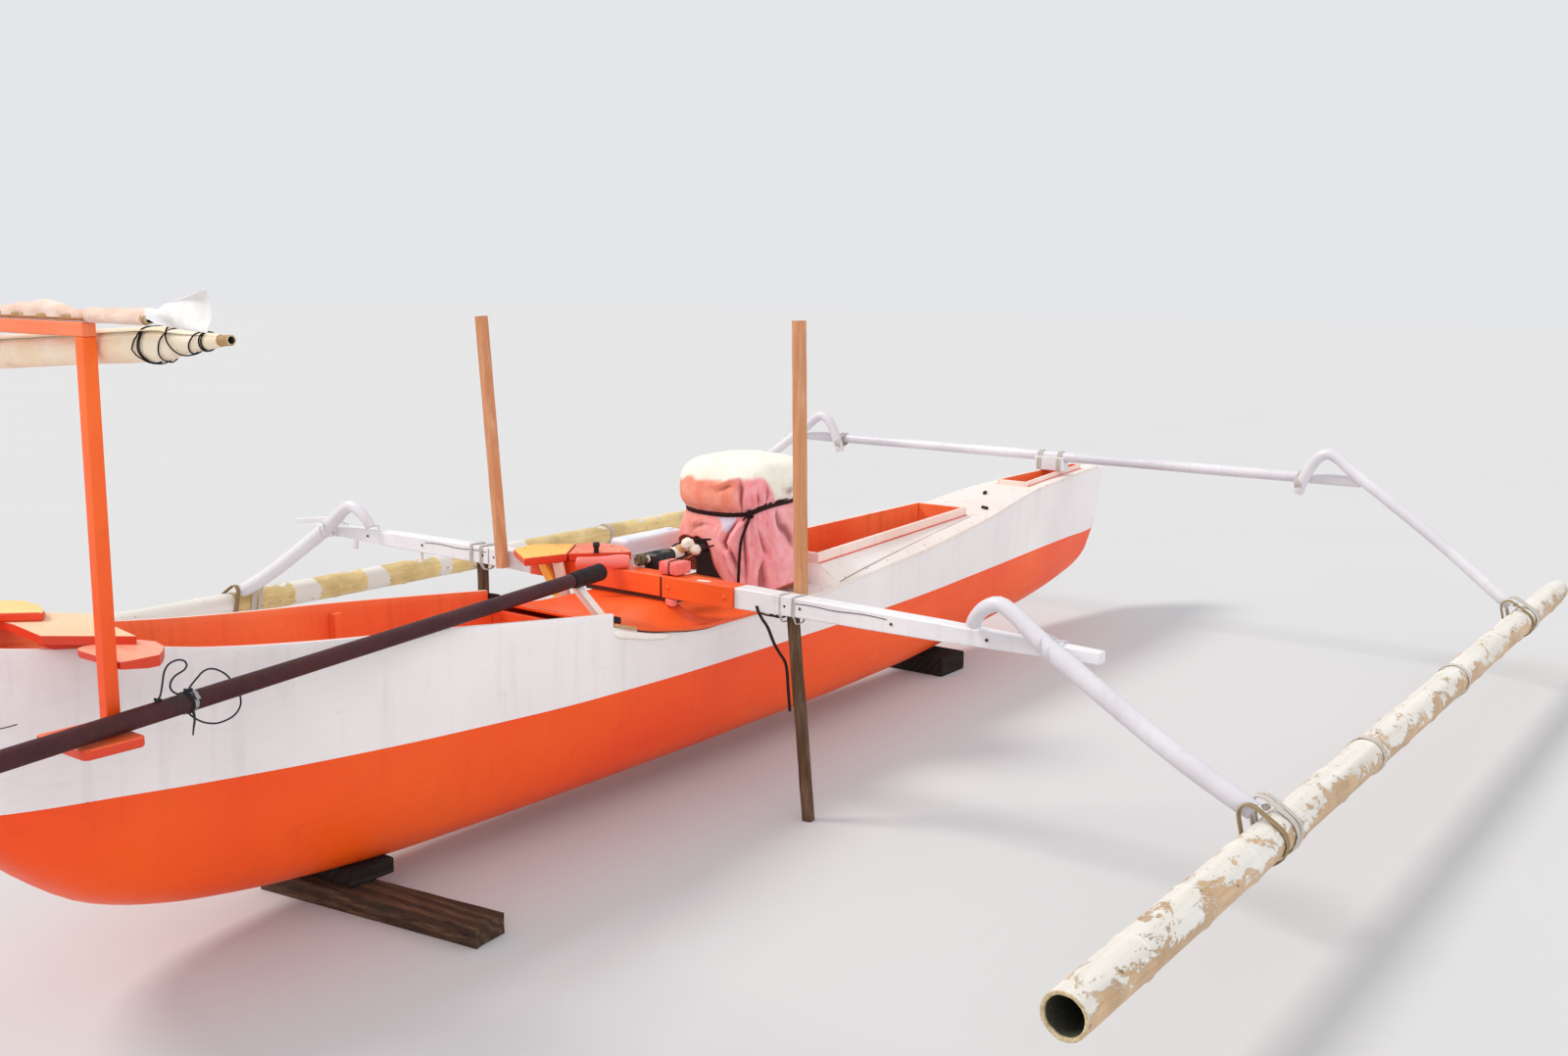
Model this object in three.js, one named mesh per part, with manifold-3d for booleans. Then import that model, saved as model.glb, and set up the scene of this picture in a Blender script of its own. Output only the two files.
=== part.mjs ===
// Double outrigger fishing canoe, hauled out on a plank, a bearer and a bow block.
// Millimetres. X runs towards the bow, Y to port, Z up from the ground.
import * as THREE from 'three';
import { mergeVertices, mergeGeometries } from 'three/addons/utils/BufferGeometryUtils.js';
import Module from 'manifold-3d';

const wasm = await Module();
wasm.setup();

// ---------------------------------------------------------------- sizes
const GAP = 0.3;                    // between pieces that touch
const ORIGIN_X = 4051.7;            // hull station that becomes X = 0
const SIDE_T = 15;                  // side plank thickness
const BOTTOM_T = 30;                // thickness of the dugout bottom at the keel
const STEP_X = 3160;                // where the raised after sheer ends
const STEM_X = 6930;                // after face of the stem
const STERN_X = 1250;               // forward face of the stern post
const DECK_T = 12;

const ARM_X = 3555;                 // main outrigger arm
const ARM_TOP = 688, ARM_BOTTOM = 622;
const ARM_IN = 433, ARM_TIP = 1625;
const FRONT_X = 6530;               // front outrigger arm
const FRONT_Z = 790, FRONT_R = 25, FRONT_TIP = 1440;
const FLOAT_Y = 2105, FLOAT_Z = 292, FLOAT_R = 52, FLOAT_WALL = 11;
const FLOAT_AFT = 2370, FLOAT_FORE = 7270;

const RACK_X = 1531, RACK_Y = 432.5, POST_W = 29, RACK_TOP = 1493;
const SHELF_Z = 834, SHELF_T = 23;  // boards outside the hull that the rack posts are nailed to
const PLANK_T = 18;                 // cross plank over them
const TRAY_TOP = 720;

const ENGINE_X = 4080;
const LEG_Y = 700;
const SHAFT_FORE = new THREE.Vector3(3270, -118, 735);
const SHAFT_AFT = new THREE.Vector3(900, -609, 747);
const SHAFT_R = 21;

// hull stations: keel height, paint line height and half beam, sheer height and half beam
const HULL = [
  { x: 1095, keel: 905, paint: 912, bPaint: 12, sheer: 935, bSheer: 14 },
  { x: 1180, keel: 735, paint: 742, bPaint: 34, sheer: 915, bSheer: 60 },
  { x: 1280, keel: 590, paint: 600, bPaint: 62, sheer: 890, bSheer: 105 },
  { x: 1390, keel: 455, paint: 500, bPaint: 92, sheer: 868, bSheer: 143 },
  { x: 1500, keel: 328, paint: 488, bPaint: 122, sheer: 849, bSheer: 173 },
  { x: 1700, keel: 183, paint: 476, bPaint: 160, sheer: 820, bSheer: 196 },
  { x: 1900, keel: 121, paint: 463, bPaint: 192, sheer: 782, bSheer: 213 },
  { x: 2200, keel: 82, paint: 443, bPaint: 220, sheer: 744, bSheer: 232 },
  { x: 2550, keel: 60, paint: 425, bPaint: 244, sheer: 711, bSheer: 250 },
  { x: 3120, keel: 58, paint: 405, bPaint: 266, sheer: 652, bSheer: 272 },
  { x: 3600, keel: 58, paint: 400, bPaint: 271, sheer: 530, bSheer: 280 },
  { x: 4200, keel: 58, paint: 400, bPaint: 266, sheer: 530, bSheer: 275 },
  { x: 4930, keel: 65, paint: 400, bPaint: 235, sheer: 572, bSheer: 247 },
  { x: 5480, keel: 90, paint: 402, bPaint: 190, sheer: 613, bSheer: 203 },
  { x: 6150, keel: 133, paint: 401, bPaint: 120, sheer: 678, bSheer: 134 },
  { x: 6600, keel: 190, paint: 397, bPaint: 70, sheer: 690, bSheer: 80 },
  { x: 6870, keel: 263, paint: 389, bPaint: 37, sheer: 694, bSheer: 46 },
  { x: 6965, keel: 385, paint: 392, bPaint: 24, sheer: 693, bSheer: 34 },
  { x: 7030, keel: 520, paint: 528, bPaint: 17, sheer: 691, bSheer: 24 },
  { x: 7090, keel: 676, paint: 682, bPaint: 12, sheer: 690, bSheer: 13 },
];
// sheer height from stern to bow, with the step down to the engine deck
const SHEER = [[1095, 935], [1280, 890], [1500, 849], [1700, 820], [1900, 782], [2200, 744], [2550, 711],
  [STEP_X, 646], [STEP_X, 606], [3340, 562], [3600, 530], [4200, 530], [4450, 545], [4930, 572],
  [5480, 613], [6150, 678], [6600, 690], [6870, 694], [7090, 690]];

// ---------------------------------------------------------------- paint
const paint = (hex, rough = 0.55, metal = 0) => new THREE.MeshStandardMaterial({ color: hex, roughness: rough, metalness: metal });
const WHITE = 0xe9e6ea, ORANGE = 0xf25a12, PALE = 0xf79a6b, WOOD = 0xb5774a, BROWN = 0x5d3f2c, BAMBOO = 0xd8bd86,
  CREAM = 0xefe3cf, DARK = 0x3a2a25, BLACK = 0x1c1c1e, PINK = 0xd9736b, STEEL = 0xa8a9ab, OLIVE = 0x77734f, CORD = 0x2a2724;

// ---------------------------------------------------------------- solids
const bare = (g) => {
  let h = g.index ? g.toNonIndexed() : g.clone();
  for (const n of Object.keys(h.attributes)) if (n !== 'position') h.deleteAttribute(n);
  h.clearGroups();
  return mergeVertices(h, 1e-3);
};
const volume = (g) => {
  const p = g.attributes.position, ix = g.index; let v = 0;
  const a = new THREE.Vector3(), b = new THREE.Vector3(), c = new THREE.Vector3();
  for (let i = 0; i < ix.count; i += 3) {
    a.fromBufferAttribute(p, ix.getX(i)); b.fromBufferAttribute(p, ix.getX(i + 1)); c.fromBufferAttribute(p, ix.getX(i + 2));
    v += a.dot(b.cross(c));
  }
  return v / 6;
};
const outward = (g) => {
  if (volume(g) < 0) {
    const ix = g.index;
    for (let i = 0; i < ix.count; i += 3) { const t = ix.getX(i); ix.setX(i, ix.getX(i + 1)); ix.setX(i + 1, t); }
  }
  return g;
};
const solid = (g) => {
  const h = outward(bare(g));
  return new wasm.Manifold(new wasm.Mesh({ numProp: 3, vertProperties: new Float32Array(h.attributes.position.array), triVerts: new Uint32Array(h.index.array) }));
};
const geometry = (m) => {
  const mesh = m.getMesh(), g = new THREE.BufferGeometry();
  g.setAttribute('position', new THREE.BufferAttribute(new Float32Array(mesh.vertProperties), 3));
  g.setIndex(new THREE.BufferAttribute(new Uint32Array(mesh.triVerts), 1));
  return g;
};
const box = (x0, x1, y0, y1, z0, z1) => new THREE.BoxGeometry(x1 - x0, y1 - y0, z1 - z0).translate((x0 + x1) / 2, (y0 + y1) / 2, (z0 + z1) / 2);
const outline = (pts) => new THREE.Shape(pts.map(([a, b]) => new THREE.Vector2(a, b)));
const slab = (pts, d) => new THREE.ExtrudeGeometry(outline(pts), { depth: d, bevelEnabled: false, steps: 1 });
// outline given in X,Z and thick in Y
const prismXZ = (pts, y0, y1) => slab(pts, y1 - y0).applyMatrix4(new THREE.Matrix4().set(1, 0, 0, 0, 0, 0, -1, y1, 0, 1, 0, 0, 0, 0, 0, 1));
// outline given in X,Y and thick in Z
const prismXY = (pts, z0, z1) => slab(pts, z1 - z0).translate(0, 0, z0);
// outline given in Y,Z and thick in X
const prismYZ = (pts, x0, x1) => slab(pts, x1 - x0).applyMatrix4(new THREE.Matrix4().set(0, 0, 1, x0, 1, 0, 0, 0, 0, 1, 0, 0, 0, 0, 0, 1));
const ring = (r, n, turn = 0) => Array.from({ length: n }, (_, i) => [r * Math.cos((i + turn) / n * 2 * Math.PI), r * Math.sin((i + turn) / n * 2 * Math.PI)]);
const rod = (a, b, r0, r1 = r0, sides = 12) => {
  const d = b.clone().sub(a), g = new THREE.CylinderGeometry(r1, r0, d.length(), sides, 1);
  g.applyQuaternion(new THREE.Quaternion().setFromUnitVectors(new THREE.Vector3(0, 1, 0), d.clone().normalize()));
  return g.translate((a.x + b.x) / 2, (a.y + b.y) / 2, (a.z + b.z) / 2);
};
const beam = (a, b, w, h) => {           // square bar from a to b, w across and h deep
  const d = b.clone().sub(a), x = d.clone().normalize();
  const up = Math.abs(x.z) > 0.95 ? new THREE.Vector3(1, 0, 0) : new THREE.Vector3(0, 0, 1);
  const y = up.clone().cross(x).normalize(), z = x.clone().cross(y);
  const m = new THREE.Matrix4().makeBasis(x, y, z).setPosition(a.clone().add(b).multiplyScalar(0.5));
  return new THREE.BoxGeometry(d.length(), w, h).applyMatrix4(m);
};
const V = (x, y, z) => new THREE.Vector3(x, y, z);
const tube = (points, r, sides, steps, smooth = true) => {
  let path;
  if (smooth) path = new THREE.CatmullRomCurve3(points, false, 'centripetal');
  else { path = new THREE.CurvePath(); for (let i = 1; i < points.length; i++) path.add(new THREE.LineCurve3(points[i - 1], points[i])); }
  return new THREE.ExtrudeGeometry(outline(ring(r, sides, 0.5)), { steps, extrudePath: path, bevelEnabled: false });
};
// closed rings of equal length, skinned in order and capped
const loft = (rings) => {
  const n = rings[0].length, pos = [], idx = [];
  for (const r of rings) for (const p of r) pos.push(...p);
  for (let k = 0; k + 1 < rings.length; k++) for (let i = 0; i < n; i++) {
    const a = k * n + i, b = k * n + (i + 1) % n, c = a + n, d = b + n;
    idx.push(a, b, d, a, d, c);
  }
  const last = (rings.length - 1) * n;
  for (let i = 1; i + 1 < n; i++) { idx.push(0, i + 1, i); idx.push(last, last + i, last + i + 1); }
  const g = new THREE.BufferGeometry();
  g.setAttribute('position', new THREE.Float32BufferAttribute(pos, 3));
  g.setIndex(idx);
  return g;
};
const lathe = (profile, sides, base, axis) => {   // profile [r, height] pairs about the axis from base
  const g = new THREE.LatheGeometry(profile.map(([r, h]) => new THREE.Vector2(r, h)), sides);
  g.applyQuaternion(new THREE.Quaternion().setFromUnitVectors(new THREE.Vector3(0, 1, 0), axis.clone().normalize()));
  return g.translate(base.x, base.y, base.z);
};
const at = (table, key, x) => {
  if (x <= table[0].x) return table[0][key];
  for (let i = 1; i < table.length; i++) if (x <= table[i].x) {
    const a = table[i - 1], b = table[i], t = (x - a.x) / (b.x - a.x);
    return a[key] + t * (b[key] - a[key]);
  }
  return table[table.length - 1][key];
};
const sheerAt = (x) => {
  for (let i = 1; i < SHEER.length; i++) if (x < SHEER[i][0]) {
    const [x0, z0] = SHEER[i - 1], [x1, z1] = SHEER[i];
    return z0 + (z1 - z0) * (x - x0) / (x1 - x0);
  }
  return SHEER[SHEER.length - 1][1];
};

// ---------------------------------------------------------------- hull skins
const TOP_RUN = 90;                  // the skins run past the sheer before they are trimmed
const FULLNESS = [[0.5, 0.10], [0.8, 0.30], [0.94, 0.60], [1, 1]];   // share of half beam, share of height
const section = (s, inset) => {
  const keel = s.keel + (inset ? BOTTOM_T : 0), bp = Math.max(s.bPaint - inset, 4), h = Math.max(s.paint - keel, 4);
  const flare = (s.bSheer - s.bPaint) / (s.sheer - s.paint), zt = s.sheer + TOP_RUN;
  const half = [...FULLNESS.map(([b, v]) => [b * bp, keel + v * h]), [bp + flare * (zt - s.paint), zt]];
  return [...half.slice().reverse().map(([y, z]) => [s.x, y, z]), [s.x, 0, keel], ...half.map(([y, z]) => [s.x, -y, z])];
};
const outer = solid(loft(HULL.map((s) => section(s, 0))));
const innerStations = (inset, x0, x1) => {
  const cols = ['keel', 'paint', 'bPaint', 'sheer', 'bSheer'];
  const cut = (x) => Object.fromEntries([['x', x], ...cols.map((c) => [c, at(HULL, c, x)])]);
  return [cut(x0), ...HULL.filter((s) => s.x > x0 + 5 && s.x < x1 - 5), cut(x1)].map((s) => section(s, inset));
};
const inner = solid(loft(innerStations(SIDE_T, STERN_X + 10, STEM_X - 5)));
const shell = outer.subtract(inner);
const outerGrown = solid(loft(HULL.map((s) => section(s, 0).map(([x, y, z]) => [x, y * 1.002 + Math.sign(y) * GAP, z]))));
// what fits inside the skins with a hair of clearance
const inside = solid(loft(innerStations(SIDE_T, STERN_X + 10, STEM_X - 5).map((r) => r.map(([x, y, z]) => [x, y * 0.993, z + 0.5]))));

const paintLine = HULL.map((s) => [s.x, s.paint]);
const WIDE = 900;
const below = solid(prismXZ([[1000, 0], [7200, 0], [7200, 900], ...paintLine.slice().reverse(), [1000, 990]], -WIDE, WIDE));
const above = solid(prismXZ([[STERN_X + GAP, at(HULL, 'paint', STERN_X + GAP) + GAP], ...paintLine.filter(([x]) => x > STERN_X + 20 && x < STEM_X).map(([x, z]) => [x, z + GAP]),
  [STEM_X - GAP, at(HULL, 'paint', STEM_X - GAP) + GAP], [STEM_X - GAP, sheerAt(STEM_X)], ...SHEER.filter(([x]) => x > STERN_X && x < STEM_X).reverse(), [STERN_X + GAP, sheerAt(STERN_X)]], -WIDE, WIDE));
const hullBottom = shell.intersect(below).intersect(solid(box(STERN_X + GAP, STEM_X - GAP, -WIDE, WIDE, 0, 1200)));
const sides = shell.intersect(above);
const underSheer = solid(prismXZ([[1000, 0], [7200, 0], ...SHEER.slice().reverse()], -WIDE, WIDE));
const sternPost = outer.intersect(underSheer).intersect(solid(box(1000, STERN_X, -WIDE, WIDE, 0, 1200)));
const stemPost = outer.intersect(underSheer).intersect(solid(box(STEM_X, 7200, -WIDE, WIDE, 0, 1200)));
const halfOf = (m, sign) => m.intersect(solid(box(0, 8000, sign > 0 ? 0 : -WIDE, sign > 0 ? WIDE : 0, 0, 1300)));

// plan of the hull at the sheer, with an overhang
const planAt = (x0, x1, over) => {
  const xs = [x0, ...HULL.map((s) => s.x).filter((x) => x > x0 + 5 && x < x1 - 5), x1];
  const half = xs.map((x) => [x, at(HULL, 'bSheer', x) + over]);
  return [...half.map(([x, y]) => [x, -y]), ...half.slice().reverse()];
};
// deck that follows the sheer
const deckSheet = (x0, x1, lift, t, over) => {
  const xs = [x0, ...SHEER.map(([x]) => x).filter((x) => x > x0 + 5 && x < x1 - 5), x1];
  const low = xs.map((x) => [x, sheerAt(x + 0.01) + lift]), high = xs.slice().reverse().map((x) => [x, sheerAt(x + 0.01) + lift + t]);
  return solid(prismXZ([...low, ...high], -WIDE, WIDE)).intersect(solid(prismXY(planAt(x0, x1, over), 0, 1300)));
};

// ---------------------------------------------------------------- assembly
const group = new THREE.Group();
const boat = new THREE.Group();
boat.position.set(-ORIGIN_X, 0, 0);
group.add(boat);
const add = (name, geo, mat) => {
  const g = geo.isBufferGeometry ? outward(bare(geo)) : geometry(geo);
  g.computeVertexNormals();
  const mesh = new THREE.Mesh(g, mat);
  mesh.name = name;
  boat.add(mesh);
  return mesh;
};
const SIDES = [['starboard', -1], ['port', 1]];

add('hull_bottom', hullBottom, paint(ORANGE));
// each side is planked in two lengths that butt at the step of the sheer
const PLANKING = [{ run: 'aft', x0: STERN_X, x1: STEP_X - GAP / 2 }, { run: 'forward', x0: STEP_X + GAP / 2, x1: STEM_X }];
for (const { run, x0, x1 } of PLANKING) for (const [side, s] of SIDES) add(`side_plank_${run}_${side}`, halfOf(sides, s).intersect(solid(box(x0, x1, -WIDE, WIDE, 0, 1300))), paint(WHITE));
add('stem_post', stemPost, paint(WHITE));
add('stern_post', sternPost, paint(WHITE));

// ribs inside the open well, and the bulkhead under the step
const RIBS = [{ name: 'rib_aft', x: 1900 }, { name: 'rib_forward', x: 2560 }];
const RIB_T = 26, RIB_DEPTH = 30;
for (const { name, x } of RIBS) {
  const outerRib = inside.intersect(solid(box(x - RIB_T / 2, x + RIB_T / 2, -WIDE, WIDE, at(HULL, 'keel', x) + BOTTOM_T + 3, sheerAt(x) - 25)));
  const bore = solid(loft(innerStations(SIDE_T + RIB_DEPTH, x - 61, x + 61).map((r) => r.map(([px, py, pz]) => [px, py, pz + RIB_DEPTH]))));
  add(name, outerRib.subtract(bore), paint(ORANGE));
}
const bulkX = STEP_X + 20;
add('well_bulkhead', inside.intersect(solid(box(bulkX - 8, bulkX + 8, -WIDE, WIDE, 92, 585))), paint(ORANGE));

// decks
const sternDeck = inside.intersect(
  solid(prismXZ([[STERN_X + 14, sheerAt(STERN_X) - 62], [1760, sheerAt(1760) - 62], [1760, sheerAt(1760) - 48], [STERN_X + 14, sheerAt(STERN_X) - 48]], -WIDE, WIDE)));
add('stern_deck', sternDeck, paint(PALE));
const FORE_DECK_X = 4060;
const HATCH = [{ x: 4330, b: 182 }, { x: 5500, b: 122 }];
const BOW_HATCH = [{ x: 6130, b: 78 }, { x: 6800, b: 26 }];
const trapeze = (h, grow) => [[h[0].x - grow, -h[0].b - grow], [h[1].x + grow, -h[1].b - grow], [h[1].x + grow, h[1].b + grow], [h[0].x - grow, h[0].b + grow]];
const hatchHole = solid(prismXY(trapeze(HATCH, 0), 300, 900));
const bowHole = solid(prismXY(trapeze(BOW_HATCH, 0), 300, 900));
add('engine_deck', deckSheet(STEP_X + 5, FORE_DECK_X, GAP, DECK_T, 12), paint(ORANGE));
// beside the fore hatch the deck slopes up from the sheer to the foot of the coaming, which runs nearly level
const hatchFoot = (x) => 612 + (x - HATCH[0].x) * 0.024;
const hatchRim = (x) => 648 + (x - HATCH[0].x) * 0.0222;
const hatchSide = (x) => HATCH[0].b + (x - HATCH[0].x) * (HATCH[1].b - HATCH[0].b) / (HATCH[1].x - HATCH[0].x);
const deckEdge = (x) => at(HULL, 'bSheer', x) - 4;
const rampFrom = HATCH[0].x - 45, rampLow = sheerAt(rampFrom) + DECK_T - 2, rampHigh = HATCH[0].x;
const slope = (s) => loft([4330, 4560, 4790, 5020, 5250, 5500].map((x) => [[x, s * hatchSide(x), sheerAt(x) + 6], [x, s * deckEdge(x), sheerAt(x) + 6], [x, s * deckEdge(x), sheerAt(x) + DECK_T + 1], [x, s * hatchSide(x), hatchFoot(x)]]));
const ramp = loft([[rampFrom, rampLow + 2.5], [rampHigh, hatchFoot(rampHigh)]].map(([x, z]) => [[x, -deckEdge(x), sheerAt(x) + 6], [x, deckEdge(x), sheerAt(x) + 6], [x, deckEdge(x), sheerAt(x) + DECK_T + 1], [x, hatchSide(x), z], [x, -hatchSide(x), z], [x, -deckEdge(x), sheerAt(x) + DECK_T + 1]]));
const foredeckSheet = deckSheet(FORE_DECK_X + GAP, STEM_X + 60, GAP, DECK_T, 4).subtract(hatchHole).subtract(bowHole);
add('foredeck', foredeckSheet.add(solid(slope(-1))).add(solid(slope(1))).add(solid(ramp)), paint(WHITE));
const coaming = (h, wall, low, high) => {
  const strip = prismXZ([[h[0].x - 80, sheerAt(h[0].x - 80) + low], ...SHEER.filter(([x]) => x > h[0].x - 70 && x < h[1].x + 70).map(([x, z]) => [x, z + low]), [h[1].x + 80, sheerAt(h[1].x + 80) + low],
    [h[1].x + 80, sheerAt(h[1].x + 80) + high], ...SHEER.filter(([x]) => x > h[0].x - 70 && x < h[1].x + 70).reverse().map(([x, z]) => [x, z + high]), [h[0].x - 80, sheerAt(h[0].x - 80) + high]], -WIDE, WIDE);
  return solid(prismXY(trapeze(h, -GAP), 300, 900)).subtract(solid(prismXY(trapeze(h, -wall), 200, 1000))).intersect(solid(strip));
};
const rimStrip = solid(prismXZ([[4300, 480], [5530, 480], [5530, hatchRim(5530)], [4300, hatchRim(4300)]], -WIDE, WIDE));
add('fore_hatch_coaming', coaming(HATCH, 18, -45, 160).intersect(rimStrip), paint(WHITE));
add('bow_hatch_coaming', coaming(BOW_HATCH, 12, -40, 34), paint(WHITE));

// ---------------------------------------------------------------- outriggers
const span = (s, a, b) => [Math.min(s * a, s * b), Math.max(s * a, s * b)];   // a Y range on one side
const deckSpace = deckSheet(STEP_X + 5, 4500, -120, 120 + GAP + DECK_T + GAP, 60);
// the beam stands on the deck by two chocks and lies between the arms
const chock = (s) => solid(box(ARM_X - 30, ARM_X + 30, ...span(s, 130, 215), 480, ARM_BOTTOM + 1)).subtract(deckSpace);
add('main_beam', solid(box(ARM_X - 35, ARM_X + 35, -ARM_IN, ARM_IN, ARM_BOTTOM, ARM_TOP)).add(chock(-1)).add(chock(1)), paint(ORANGE));
for (const [side, s] of SIDES) {
  // tapered arm: [y, bottom, top, half width]
  const ARM = [{ y: ARM_IN + GAP, lo: ARM_BOTTOM, hi: ARM_TOP, w: 33 }, { y: 1150, lo: 628, hi: 680, w: 28 }, { y: ARM_TIP, lo: 636, hi: 668, w: 20 }];
  add(`main_arm_${side}`, loft(ARM.map((a) => [[ARM_X - a.w, s * a.y, a.lo], [ARM_X + a.w, s * a.y, a.lo], [ARM_X + a.w, s * a.y, a.hi], [ARM_X - a.w, s * a.y, a.hi]])), paint(WHITE));
}
// front arm: one pole over the bow, on a saddle
add('front_arm', rod(V(FRONT_X, -FRONT_TIP, FRONT_Z), V(FRONT_X, FRONT_TIP, FRONT_Z), FRONT_R, FRONT_R, 12), paint(WHITE));
// bent outrigger struts: the foot stands on the arm's after edge, the rest is in a plane just aft of the arm;
// [y from the centre line, z from the ground, how far forward of that plane]
const STRUTS = [
  { arm: 'main', x: 3497, r: 26, path: [[1262, 695, 15], [1279, 723, 9], [1309, 752, 2], [1350, 767, 0], [1392, 748, 0], [1436, 715, 0], [1501, 667, 0], [1580, 619, 0], [1734, 525, 0], [1874, 444, 0]] },
  { arm: 'front', x: FRONT_X - FRONT_R - 25, r: 24, path: [[1190, 725, 0], [1205, 775, 0], [1265, 883, 0], [1310, 905, 0], [1354, 884, 0], [1395, 850, 0], [1470, 796, 0], [1780, 573, 0]] },
];
const floatTop = FLOAT_Z + FLOAT_R;
for (const st of STRUTS) for (const [side, s] of SIDES) {
  const pts = [...st.path.map(([y, z, dx]) => V(st.x + dx, s * y, z)), V(st.x, s * (FLOAT_Y - 45), floatTop + 7)];
  const raw = solid(tube(pts, st.r, 10, 26));
  const clear = solid(rod(V(FLOAT_AFT - 10, s * FLOAT_Y, FLOAT_Z), V(FLOAT_FORE + 10, s * FLOAT_Y, FLOAT_Z), FLOAT_R + 3, FLOAT_R + 3, 24));
  add(`${st.arm}_strut_${side}`, raw.subtract(clear), paint(WHITE));
}
for (const [side, s] of SIDES) {
  const len = FLOAT_FORE - FLOAT_AFT;
  const profile = [[FLOAT_R - FLOAT_WALL, 0], [FLOAT_R, 0], [FLOAT_R, len - 120], [FLOAT_R - 6, len], [0, len], [0, 260], [FLOAT_R - FLOAT_WALL, 260], [FLOAT_R - FLOAT_WALL, 0]];
  add(`float_${side}`, lathe(profile, 16, V(FLOAT_AFT, s * FLOAT_Y, FLOAT_Z), V(1, 0, 0)), paint(BAMBOO));
}
// saddle under the front arm, across the bow hatch coaming
add('bow_saddle', solid(box(FRONT_X - 32, FRONT_X + 32, -74, 74, sheerAt(FRONT_X + 32) + 35, FRONT_Z)).subtract(
  solid(rod(V(FRONT_X, -400, FRONT_Z), V(FRONT_X, 400, FRONT_Z), FRONT_R + GAP, FRONT_R + GAP, 12))), paint(WHITE));

// ---------------------------------------------------------------- midship posts and prop legs
add('midship_post_starboard', beam(V(3611.7, -620.9, 618), V(3607, -604, 1495), 36, 36), paint(WOOD));
add('midship_post_port', beam(V(3497, 548.9, 632), V(3497, 628, 1480), 36, 36), paint(WOOD));
for (const [side, s, top] of [['starboard', -1, 632], ['port', 1, 716]]) {
  const a = V(ARM_X, s * LEG_Y, -12), b = V(ARM_X, s * top, ARM_BOTTOM + 4);
  add(`prop_leg_${side}`, solid(beam(a, b, 34, 34)).intersect(solid(box(3400, 3700, -900, 900, 0, ARM_BOTTOM - 1))), paint(BROWN));
}

// ---------------------------------------------------------------- engine and its bed
add('engine_bed', solid(box(ENGINE_X - 155, ENGINE_X + 160, -142, 110, 480, 596)).subtract(deckSpace), paint(ORANGE));
add('engine_block', box(ENGINE_X - 118, ENGINE_X + 146, -132, 84, 596 + GAP, 925), paint(BLACK));
// cloth cover: [z, half length, half width, centre x]
const COVER = [
  { z: 566, a: 205, b: 190, cx: 6 }, { z: 680, a: 196, b: 182, cx: 8 }, { z: 790, a: 184, b: 172, cx: 12 }, { z: 815, a: 178, b: 167, cx: 14 },
  { z: 845, a: 190, b: 180, cx: 14 }, { z: 925, a: 193, b: 182, cx: 14 }, { z: 985, a: 162, b: 152, cx: 16 }, { z: 1016, a: 92, b: 86, cx: 18 }];
const COVER_Y = -24;
const oval = (c, t, dz = 0, n = 20) => Array.from({ length: n }, (_, i) => {
  const q = i / n * 2 * Math.PI, cs = Math.cos(q), sn = Math.sin(q), k = 0.62;
  return [ENGINE_X + c.cx + (c.a - t) * Math.sign(cs) * Math.abs(cs) ** k, COVER_Y + (c.b - t) * Math.sign(sn) * Math.abs(sn) ** k, c.z + dz];
});
const coverSkin = solid(loft(COVER.map((c) => oval(c, 0)))).subtract(solid(loft([oval({ ...COVER[0], z: 500 }, 9), ...COVER.map((c) => oval(c, 9, -9))])));
const passage = solid(box(ENGINE_X - 330, ENGINE_X, -60, 40, 540, 775));
add('engine_cover', coverSkin.subtract(passage), paint(PINK, 0.85));
add('output_coupling', rod(V(3704 + GAP, -16, 712), V(ENGINE_X - 118 - GAP, -16, 712), 24, 24, 14), paint(BLACK, 0.45));
add('gear_case', box(3612, 3704, -54, 16, 664, 738), paint(BLACK, 0.5));
add('drive_flange', rod(V(3572, 4, 710.5), V(3612 - GAP, 4, 710.5), 20, 20, 12), paint(OLIVE, 0.6));
add('fuel_can', solid(box(3736, 4040, 200, 276, 480, 735)).subtract(deckSpace), paint(WHITE, 0.5));
add('beam_pad', box(ARM_X - 30, ARM_X + 50, -205, -120, ARM_TOP + GAP, 737), paint(PINK));
add('drive_arm', rod(V(3420, 128, ARM_TOP + GAP + 22.5), V(3551, 17, ARM_TOP + GAP + 22.5), 22, 22, 12), paint(PALE));
// helmsman's seat: a board laid askew over the beam
const HELM_BOARD = [[3352, 292], [3504, 244], [3660, 108], [3730, 195], [3730, 310], [3640, 375], [3566, 470], [3453, 448]];
add('helm_seat', prismXY(HELM_BOARD, ARM_TOP + GAP, ARM_TOP + 28), paint(ORANGE));

// ---------------------------------------------------------------- stern rack
// cross plank over the sheers, with a small board under each end
const crossPlank = solid(prismXY([[1528, -190], [1648, -342], [1670, -212], [1702, -69], [1662, -11], [1642, 30], [1604, 120], [1640, 300], [1530, 278], [1546, -42]], SHELF_Z + SHELF_T - 1, SHELF_Z + SHELF_T + PLANK_T));
const shelf = (s) => solid(prismXY([[1548, s * 300], [1556, s * 278], [1572, s * 270], [1650, s * 284], [1676, s * 308], [1688, s * 345], [1676, s * 396], [1650, s * 432], [1630, s * 454], [1548, s * 452]], SHELF_Z, SHELF_Z + SHELF_T));
const underPlank = solid(box(1552, 1672, -192, -128, 780, SHELF_Z + SHELF_T)).add(solid(box(1552, 1672, 128, 192, 780, SHELF_Z + SHELF_T)));
const sheerBlock = solid(prismXZ([[1500, 400], ...SHEER.filter(([x]) => x > 1400 && x < 2000).map(([x, z]) => [x, z + GAP]), [1900, 400]], -WIDE, WIDE));
add('rack_board', crossPlank.add(shelf(-1)).add(shelf(1)).add(underPlank).subtract(sheerBlock), paint(ORANGE));
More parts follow.
